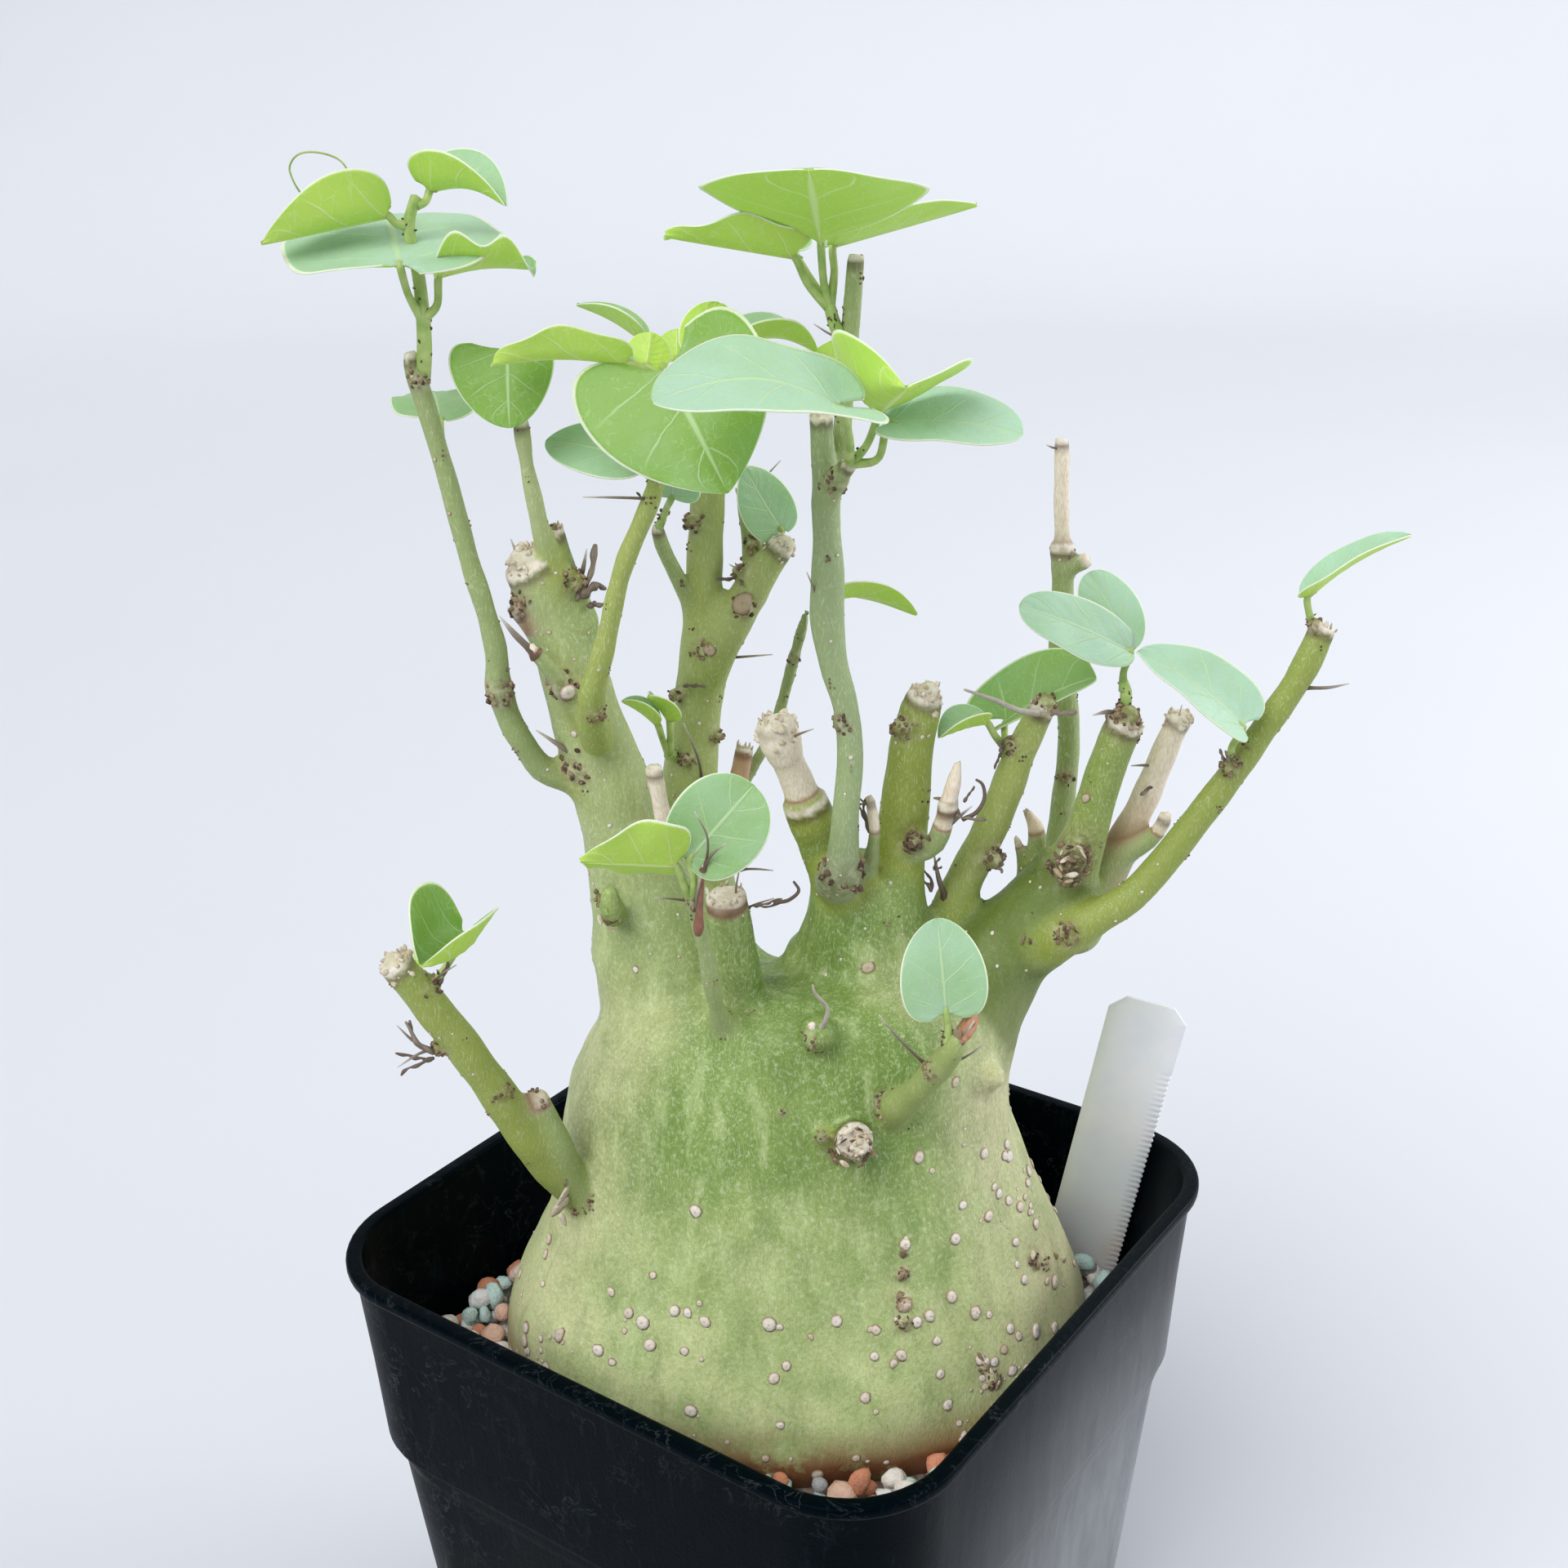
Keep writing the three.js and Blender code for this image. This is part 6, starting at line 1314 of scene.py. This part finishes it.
def blade(form, seed):
    # t runs from base to tip, s from the right edge to the left. Half width follows
    # t^rise (1 - t)^point, drawn toward a straight-sided diamond by the corner share. Each
    # half turns up by its fold in an even curve within two fifths of its width and goes on
    # straight; the midrib rises as a sine bow, the edge waves twice along its length, and
    # the back lobes reach behind the base.
    base, tip = np.array(form["base"], float), np.array(form["tip"], float)
    length = np.linalg.norm(tip - base)
    ahead = (tip - base) / length
    up = np.array(form["face"], float)
    up = unit(up - ahead * (up @ ahead))
    left = np.cross(up, ahead)
    rows, columns = bladeMesh["rows"], bladeMesh["columns"]
    t = ((1 - np.cos(np.linspace(0.1, math.pi - 0.06, rows))) / 2)[:, None]
    s = np.linspace(-1, 1, columns)[None]
    s = np.sign(s) * np.abs(s) ** 0.9
    reach = np.abs(s)
    widest = form["rise"] / (form["rise"] + form["point"])
    peak = widest ** form["rise"] * (1 - widest) ** form["point"]
    diamond = np.minimum(t / widest, (1 - t) / (1 - widest))
    half = t ** form["rise"] * (1 - t) ** form["point"] / peak
    half = form["width"] / 2 * (half + (diamond - half) * form["corner"])
    half = half * np.where(s > 0, form["sides"][0], form["sides"][1])
    fold = np.radians(np.where(s > 0, form["fold"][0], form["fold"][1]))
    fold = np.where(np.abs(fold) < 1e-3, 1e-3, fold)
    bend = bladeMesh["bend"]
    inner = fold * np.minimum(reach / bend, 1)
    outer = np.maximum(reach - bend, 0)
    across = half * (bend / fold * np.sin(inner) + outer * np.cos(fold)) * np.sign(s)
    lift = (half * (bend / fold * (1 - np.cos(inner)) + outer * np.sin(fold))
            + form["arch"] * length * np.sin(math.pi * t)
            + form["wave"] * s * s * np.sin(2 * math.pi * (2 * t + 0.25 * np.sign(s))))
    forward = length * t - form["lobe"] * length * s * s * (1 - t) ** 3 * (half / (form["width"] / 2) + 0.4)
    middle = base + forward[..., None] * ahead + across[..., None] * left + lift[..., None] * up
    # soft unevenness, and the flesh standing up a little between the side veins
    veins = np.abs(np.sin(math.pi * (t - 0.34 * reach ** 0.9) / bladeMesh["veinStep"]))
    uneven = 0.35 * waves(middle.reshape(-1, 3), 16, seed).reshape(rows, columns) * reach
    uneven = uneven + bladeMesh["puff"] * veins ** 0.7 * np.clip(reach * 6, 0, 1) * (1 - reach ** 4)
    normal = unit(np.cross(np.gradient(middle, axis=0), np.gradient(middle, axis=1)))
    normal = -normal if (normal[rows // 2, columns // 2] @ up) < 0 else normal
    middle = middle + normal * uneven[..., None]
    thick = bladeMesh["thickness"] + (bladeMesh["edge"] - bladeMesh["thickness"]) * reach ** 3
    rib = bladeMesh["midrib"] * np.exp(-(s * half / 0.7) ** 2) * (1 - t) ** 0.5
    upper = middle + normal * (thick / 2)[..., None]
    under = middle - normal * (thick / 2 + rib)[..., None]
    points = np.concatenate([upper.reshape(-1, 3), under.reshape(-1, 3)])
    sheet = rows * columns
    t, s = np.broadcast_to(t, middle.shape[:2]), np.broadcast_to(s, middle.shape[:2])
    flat = np.stack([forward, across, np.full_like(forward, seed * 60.0)], -1).reshape(-1, 3)
    marks = {
        "upperSide": np.concatenate([np.ones(sheet), np.zeros(sheet)]),
        "bladeMm": np.concatenate([flat, flat]),
        "bloom": np.full(2 * sheet, float(form["bloom"])),
    }
    uv = np.stack([t, s * 0.5 + 0.5], -1).reshape(-1, 2)
    return (points, sheetFaces(rows, columns), noTris), marks, np.concatenate([uv, uv])


def stalkScales(grown, seed):
    # dark dry scales round the foot of the stalks, or of the leaf's own stalk
    rng = np.random.default_rng(700 + seed)
    lines = grown["stalks"] or [[[*p, 0.9] for p in grown["leaves"][0]["petiole"]]]
    centres, ways = [], []
    for line in lines:
        line = np.array(line, float)
        share = rng.random(leafScales["count"]) ** 1.5 * leafScales["reach"] * (len(line) - 1)
        here = np.stack([np.interp(share, np.arange(len(line)), line[:, k]) for k in range(4)], -1)
        turn = rng.uniform(0, 2 * math.pi, len(here))
        out = np.stack([np.cos(turn), np.sin(turn), rng.uniform(-0.2, 0.6, len(here))], -1)
        centres.append(here[:, :3] + out * here[:, 3:4])
        ways.append(unit(out))
    centres, ways = np.concatenate(centres), np.concatenate(ways)
    size = rng.uniform(*leafScales["size"], (len(centres), 3)) * [1, 0.6, 1.3]
    points, tris = scattered(pebble(1), centres, size, turnsFor(ways, seed), 3, seed)
    return points, noQuads, tris


def buildShoot(node, grown, seed):
    parts = [tube(path, 8, 18, dome=0.3) for path in grown["stalks"]]
    if grown["tendril"]:
        parts.append(tube([[*p, 0.18] for p in grown["tendril"]], 6, 48))
    for form in grown["leaves"]:
        base, tip = np.array(form["base"], float), np.array(form["tip"], float)
        path = [*form["petiole"], base, base + (tip - base) * 0.08]
        radii = np.interp(np.linspace(0, 1, len(path)), [0, 0.25, 0.8, 1], [1.05, 0.75, 0.7, 0.45])
        parts.append(tube([[*p, r] for p, r in zip(path, radii)], 8, 16, dome=0.4))
    scales = stalkScales(grown, seed)
    parts.append(scales)
    stalkPoints = sum(len(p) for p, _, _ in parts)
    stalkQuads, stalkTris = sum(len(q) for _, q, _ in parts), sum(len(t) for _, _, t in parts)
    blades = [blade(form, seed * 10 + k) for k, form in enumerate(grown["leaves"])]
    points, quads, tris, _ = joined(parts + [shape for shape, _, _ in blades])
    marks = {"upperSide": np.full(stalkPoints, 0.5), "bloom": np.full(stalkPoints, 0.3),
             "bladeMm": np.zeros((stalkPoints, 3))}
    marks = {key: np.concatenate([value] + [m[key] for _, m, _ in blades]) for key, value in marks.items()}
    uv = np.concatenate([np.zeros((stalkPoints, 2))] + [u for _, _, u in blades])
    slots = np.ones(len(quads) + len(tris), int)
    slots[:stalkQuads] = 0
    slots[len(quads):] = 0
    slots[-len(scales[2]):] = 2
    marks["tint"] = np.linspace(0, 0.7, len(points))
    piece = meshPiece(node + "_grown", points, quads, tris,
                      [stalkMaterial(), leafMaterial(), crustMaterial()], slots, marks, uv=uv)
    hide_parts(node)
    return piece


# Pot, gravel and label, square to the frame

pot = {
    # half width, corner radius and height, from the foot's middle up the outside, over the
    # rim and down the inside to the floor's middle
    "profile": [[61.2, 26.5, 0.0], [61.7, 27, 0.5], [62.0, 27, 1.8], [66.0, 27, 50], [70.15, 27, 99.0],
                [70.3, 27, 100.2], [70.5, 26.4, 101.2], [70.6, 24.2, 102.8], [70.7, 22.4, 103.6],
                [70.9, 22, 104.4], [71.9, 22, 125], [73.2, 22, 146.0], [73.5, 22.1, 146.9],
                [74.3, 23.2, 147.2], [74.85, 23.8, 147.6], [75.0, 24, 148.2], [75.0, 24, 149.2],
                [74.8, 23.8, 149.7], [74.3, 23.3, 150.0], [72.2, 21.2, 150.0], [71.6, 20.5, 149.8],
                [71.25, 20.1, 149.2], [70.4, 20.3, 125], [69.4, 20.6, 104.2], [68.9, 25.6, 100],
                [64.6, 25.6, 50], [60.9, 25.6, 4.0], [60.2, 25, 2.4], [59.2, 24, 2.0]],
    "cornerSteps": 14, "sideSteps": 6, "rows": 3,
    "drainRadius": 4.5, "drainReach": 38,
}


def roundedSquare(half, corner, steps, sideSteps):
    # quarter circles round the corners, joined by straight sides; counter-clockwise
    arcs = []
    for quarter in range(4):
        a = (np.linspace(0, 1, steps) + quarter) * math.pi / 2
        x, y = ((half - corner) * sign for sign in ((1, 1), (-1, 1), (-1, -1), (1, -1))[quarter])
        arcs.append(np.stack([x + corner * np.cos(a), y + corner * np.sin(a)], -1))
    share = np.linspace(0, 1, sideSteps + 1)[1:-1, None]
    sides = [arc[-1] + (after[0] - arc[-1]) * share for arc, after in zip(arcs, arcs[1:] + arcs[:1])]
    return np.concatenate([part for pair in zip(arcs, sides) for part in pair])


def buildPot():
    # rounded squares up the outside, over the rim and down the inside
    rings = []
    table = np.array(pot["profile"])
    for low, high in zip(table[:-1], table[1:]):
        steps = pot["rows"] if abs(high[2] - low[2]) > 8 else 1
        rings += [low + (high - low) * k / steps for k in range(steps)]
    rings.append(table[-1])
    count = 4 * (pot["cornerSteps"] + pot["sideSteps"] - 1)
    loops = [np.column_stack([roundedSquare(half, corner, pot["cornerSteps"], pot["sideSteps"]),
                              np.full(count, z)]) for half, corner, z in rings]
    points = np.concatenate(loops + [[[0, 0, pot["profile"][0][2]], [0, 0, pot["profile"][-1][2]]]])
    piece = meshPiece("potMoulding", points, *closedRings(len(loops), count), [potMaterial()], turned=False)
    # eight drain holes through the floor, none in its middle
    pins = []
    for x in (-1, 0, 1):
        for y in (-1, 0, 1):
            if x or y:
                at = [x * pot["drainReach"], y * pot["drainReach"]]
                pins.append(tube([[*at, -4, pot["drainRadius"]], [*at, 6, pot["drainRadius"]]], 20, 3))
    drill = meshPiece("drill", *joined(pins)[:3], [], turned=False)
    finished(piece, "BOOLEAN", object=drill, operation="DIFFERENCE", solver="EXACT")
    bpy.data.objects.remove(drill)
    sharp = piece.modifiers.new("edges", "WEIGHTED_NORMAL")
    sharp.keep_sharp = True
    print("stage: pot,", len(piece.data.polygons), "faces")
    return piece


gravel = {
    "top": 117.0, "pitch": 5.2, "layers": [(-3.0, 1.0), (-0.4, 1.0), (1.6, 0.6)],  # height and share kept
    "jitter": 1.7, "size": (1.9, 3.5),  # how far a stone strays from its place, and its radius
    "potSides": 70.0, "potCorner": 20.3, "bedSides": 67.5, "bedCorner": 19, "bedBelow": 4, "bottom": 98.3,
    "dents": 7,
}


def buildGravel():
    rng = np.random.default_rng(61)
    spots = []
    reach = int((gravel["potSides"] - 1) / gravel["pitch"])
    stray = gravel["jitter"]
    for level, share in gravel["layers"]:
        i, j = np.meshgrid(np.arange(-reach, reach + 1), np.arange(-reach, reach + 1), indexing="ij")
        x = (i + 0.5 * (j % 2)).ravel() * gravel["pitch"] + rng.uniform(-stray, stray, i.size)
        y = j.ravel() * gravel["pitch"] * 0.95 + rng.uniform(-stray, stray, i.size)
        z = gravel["top"] + level + rng.uniform(-0.8, 0.8, i.size)
        spots.append(np.stack([x, y, z], -1)[rng.random(i.size) < share])
    spots = np.concatenate(spots)
    radius = rng.uniform(*gravel["size"], len(spots))
    seen = toPlant(spots * 0.001)
    right, away, wide, deep = trunkSection(np.full(len(spots), gravel["top"] + 1))
    rho = np.hypot((seen[:, 0] - right) / (wide + radius * 0.55),
                   (seen[:, 1] - away) / (deep + radius * 0.55))
    half, corner = gravel["potSides"], gravel["potCorner"]
    over = np.maximum(np.abs(spots[:, :2]) - (half - corner), 0)
    wall = np.maximum(np.hypot(over[:, 0], over[:, 1]) - corner, np.abs(spots[:, :2]).max(1) - half)
    fits = (rho > 1) & (wall < -radius * 0.95 - 0.3)
    tag = labelClear(spots, radius)
    spots, radius = spots[fits & tag], radius[fits & tag]
    size = radius[:, None] * rng.uniform(0.68, 1.15, (len(spots), 3))
    # turned every way, but lying rather flat
    outward = unit(rng.normal(size=(len(spots), 3)) * 0.45 + [0, 0, 1])
    size[:, 2] *= 0.8
    points, tris = scattered(pebble(2), spots, size, turnsFor(outward, 62), gravel["dents"], 63)
    tint = np.repeat(rng.random(len(spots)), len(points) // len(spots))
    # a bed under the stones, so no gap shows between them
    heights = np.array([gravel["bottom"], gravel["top"] - gravel["bedBelow"]])
    square = roundedSquare(gravel["bedSides"], gravel["bedCorner"], 8, 3)
    bed = np.concatenate([np.column_stack([square, np.full(len(square), z)]) for z in heights]
                         + [[[0, 0, heights[0]], [0, 0, heights[1]]]])
    bedQuads, bedTris = closedRings(2, len(square))
    points, quads, tris, sizes = joined([(bed, bedQuads, bedTris), (points, noQuads, tris)])
    slots = np.zeros(len(quads) + len(tris), int)
    slots[len(quads) + len(bedTris):] = 1
    tint = np.concatenate([np.full(sizes[0], 0.5), tint])
    piece = meshPiece("gravelStones", points, quads, tris, [gritMaterial(), stoneMaterial()], slots,
                      {"tint": tint}, turned=False)
    print("stage: gravel,", len(spots), "stones")
    return piece


label = {
    "width": 18.0, "thickness": 0.8, "top": 188.5, "bottom": 86.0, "clip": 3.5, "point": 12.0,
    "lean": 10.5, "turn": -14.0, "foot": (72.5, 25.2, 120.0),
    "tooth": 1.45, "toothDepth": 0.5, "toothTop": 172.0,  # fine teeth up the right side, to this height
}


def labelPlace(flat):
    # flat is across, out and up from the foot: lean to the right, turn, move to the foot
    lean, turn = math.radians(label["lean"]), math.radians(label["turn"])
    x, y, z = flat[..., 0], flat[..., 1], flat[..., 2] - label["foot"][2]
    x, z = x * math.cos(lean) + z * math.sin(lean), z * math.cos(lean) - x * math.sin(lean)
    x, y = x * math.cos(turn) - y * math.sin(turn), x * math.sin(turn) + y * math.cos(turn)
    return np.stack([x, y, z], -1) + label["foot"]


def labelClear(spots, radius):
    # true for stones that stay off the label, taken as points over its lower part
    upright = np.linspace(0, 1, 30)[:, None] * [0, 0, 40] + [0, 0, 95]
    line = np.concatenate([labelPlace(upright + [x, 0, 0]) for x in (-8, -4, 0, 4, 8)])
    seen = toPlant(spots * 0.001)
    gap = np.linalg.norm(seen[:, None] - line[None], axis=-1).min(1)
    return gap > radius * 0.8 + 0.5


def buildLabel():
    # a thin strip: its half width is even up the sides, is cut off slanting at the top
    # and runs to a point at the foot; the right side has small teeth
    bottom, point, top, clip = (label[key] for key in ("bottom", "point", "top", "clip"))
    z = np.concatenate([np.linspace(bottom, bottom + point, 12),
                        np.arange(bottom + point + 0.2, top - clip, 0.25),
                        top - clip * (1 - np.sin(np.linspace(0.1, math.pi / 2, 12)))])
    low, high = np.clip((z - bottom) / point, 0, 1), np.clip((z - top + clip) / clip, 0, 1)
    half = label["width"] / 2 * (0.2 + 0.8 * low) - clip * high
    saw = np.abs(((z / label["tooth"]) % 1) * 2 - 1)
    bite = label["toothDepth"] * saw * (low >= 1) * (z < label["toothTop"])
    across = np.array([-1, -0.985, -0.6, -0.2, 0.2, 0.6, 0.985, 1.0])
    x = half[:, None] * across - bite[:, None] * (across > 0.9)
    up = np.broadcast_to(z[:, None], x.shape)
    bow = 0.5 * np.sin((z - 90) / 98 * math.pi)[:, None]
    thin = label["thickness"] / 2 * np.array([0.45, 1, 1, 1, 1, 1, 1, 0.45])
    sides = [np.stack([x, bow + side + 0 * x, up], -1).reshape(-1, 3) for side in (-thin, thin)]
    points = labelPlace(np.concatenate(sides))
    return meshPiece("labelStrip", points, sheetFaces(*x.shape)[:, ::-1], noTris, [labelMaterial()])


# Camera, floor and light

camera = {"at": (0.2125, -0.29205, 0.3938), "pitch": 21.54, "roll": -1.0586, "view": 44.86}


def buildCamera():
    turn, pitch, roll = math.radians(plantTurn), math.radians(camera["pitch"]), math.radians(camera["roll"])
    right = Vector((math.cos(turn), math.sin(turn), 0))
    ahead = Vector((-math.sin(turn) * math.cos(pitch), math.cos(turn) * math.cos(pitch), -math.sin(pitch)))
    up = right.cross(ahead)
    right, up = right * math.cos(roll) + up * math.sin(roll), up * math.cos(roll) - right * math.sin(roll)
    data = bpy.data.cameras.new("camera")
    data.sensor_fit = "HORIZONTAL"
    data.angle = math.radians(camera["view"])
    data.clip_start = 0.01
    eye = bpy.data.objects.new("camera", data)
    bpy.context.scene.collection.objects.link(eye)
    eye.matrix_world = Matrix.Translation(camera["at"]) @ Matrix((right, up, -ahead)).transposed().to_4x4()
    bpy.context.scene.camera = eye


studio = {
    "floor": "#d6d8dd", "air": "#eef2f8", "airStrength": 0.64,
    # where the sun comes from, its strength and how wide it is in degrees
    "sun": (-0.051, -0.678, 0.733), "sunStrength": 2.15, "sunWidth": 45,
    "lamp": ((1.2, 1.3, 1.0), (0, 0, 0.1), 0.9, 16),  # place, target, width and watts
    "bowl": {"flat": 2.4, "curve": 1.1, "height": 1.5, "sides": 64},  # a floor that curves up all round
}


def buildStudio():
    # circles of growing radius: flat, then a quarter turn, then straight up
    bowl = studio["bowl"]
    bend = np.linspace(0, math.pi / 2, 16)
    radius = bowl["flat"] + bowl["curve"] * np.sin(bend)
    radius = np.concatenate([[0.4, 1.2], radius, [bowl["flat"] + bowl["curve"]]])
    height = np.concatenate([[0, 0], bowl["curve"] * (1 - np.cos(bend)), [bowl["height"]]])
    sides = bowl["sides"]
    turn = np.linspace(0, 2 * math.pi, sides, endpoint=False)
    ring = np.stack([np.cos(turn), np.sin(turn), 0 * turn], -1)
    rows = ring[None] * radius[:, None, None] + height[:, None, None] * np.array([0, 0, 1.0])
    j = np.arange(sides)
    fan = np.stack([np.full(sides, len(radius) * sides), j, (j + 1) % sides], -1)
    points = np.concatenate([rows.reshape(-1, 3), [[0, 0, 0]]]) * 1000
    floor = meshPiece("floor", points, gridFaces(len(radius), sides, True)[:, ::-1], fan, [floorMaterial()],
                      turned=False)
    world = bpy.data.worlds.new("studio")
    bpy.context.scene.world = world
    world.use_nodes = True
    sky = world.node_tree.nodes["Background"]
    sky.inputs[0].default_value = linear(studio["air"])
    sky.inputs[1].default_value = studio["airStrength"]
    at, target, width, watts = studio["lamp"]
    for kind, place, toward, power in (("AREA", at, target, watts),
                                       ("SUN", studio["sun"], (0, 0, 0), studio["sunStrength"])):
        data = bpy.data.lights.new("window" + kind.title(), kind)
        data.energy = power
        if kind == "SUN":
            data.angle = math.radians(studio["sunWidth"])
        else:
            data.size = width
        lamp = bpy.data.objects.new(data.name, data)
        lamp.location = place
        lamp.rotation_euler = (Vector(toward) - Vector(place)).to_track_quat("-Z", "Y").to_euler()
        bpy.context.scene.collection.objects.link(lamp)
    bpy.context.scene.view_settings.view_transform = "Standard"


# Everything in place

buildCamera()
buildStudio()

caudex = buildCaudex()
caudex.data.materials.append(barkMaterial())
skin = toPlant(rowsOf(caudex.data.vertices, "co"))
normals = unit(toPlant(rowsOf(caudex.data.vertex_normals, "vector") * 0.001))
tone = {}
for key in ("youth", "dry"):
    values = np.empty(len(skin), np.float32)
    caudex.data.attributes[key].data.foreach_get("value", values)
    tone[key] = values
growth = [buildScabs(skin, normals), buildWarts(skin, normals, tone), buildSpines()]
for piece in [caudex] + growth:
    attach(piece, "root")
    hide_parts("caudex_and_stems")
print("stage: scabs, warts and spines")

for number, (node, grown) in enumerate(shootTable.items()):
    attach(buildShoot(node, grown, number + 1), "root")
print("stage: leaves")

for piece, slotName, node in ((buildPot(), "pot_plastic", "pot"), (buildGravel(), "gravel_stone", "gravel"),
                              (buildLabel(), "label_plastic", "label")):
    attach(piece, "root")
    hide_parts(node)
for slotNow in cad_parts["potting_mix"].material_slots:
    slotNow.material = gritMaterial()
print("stage: pot, gravel and label")
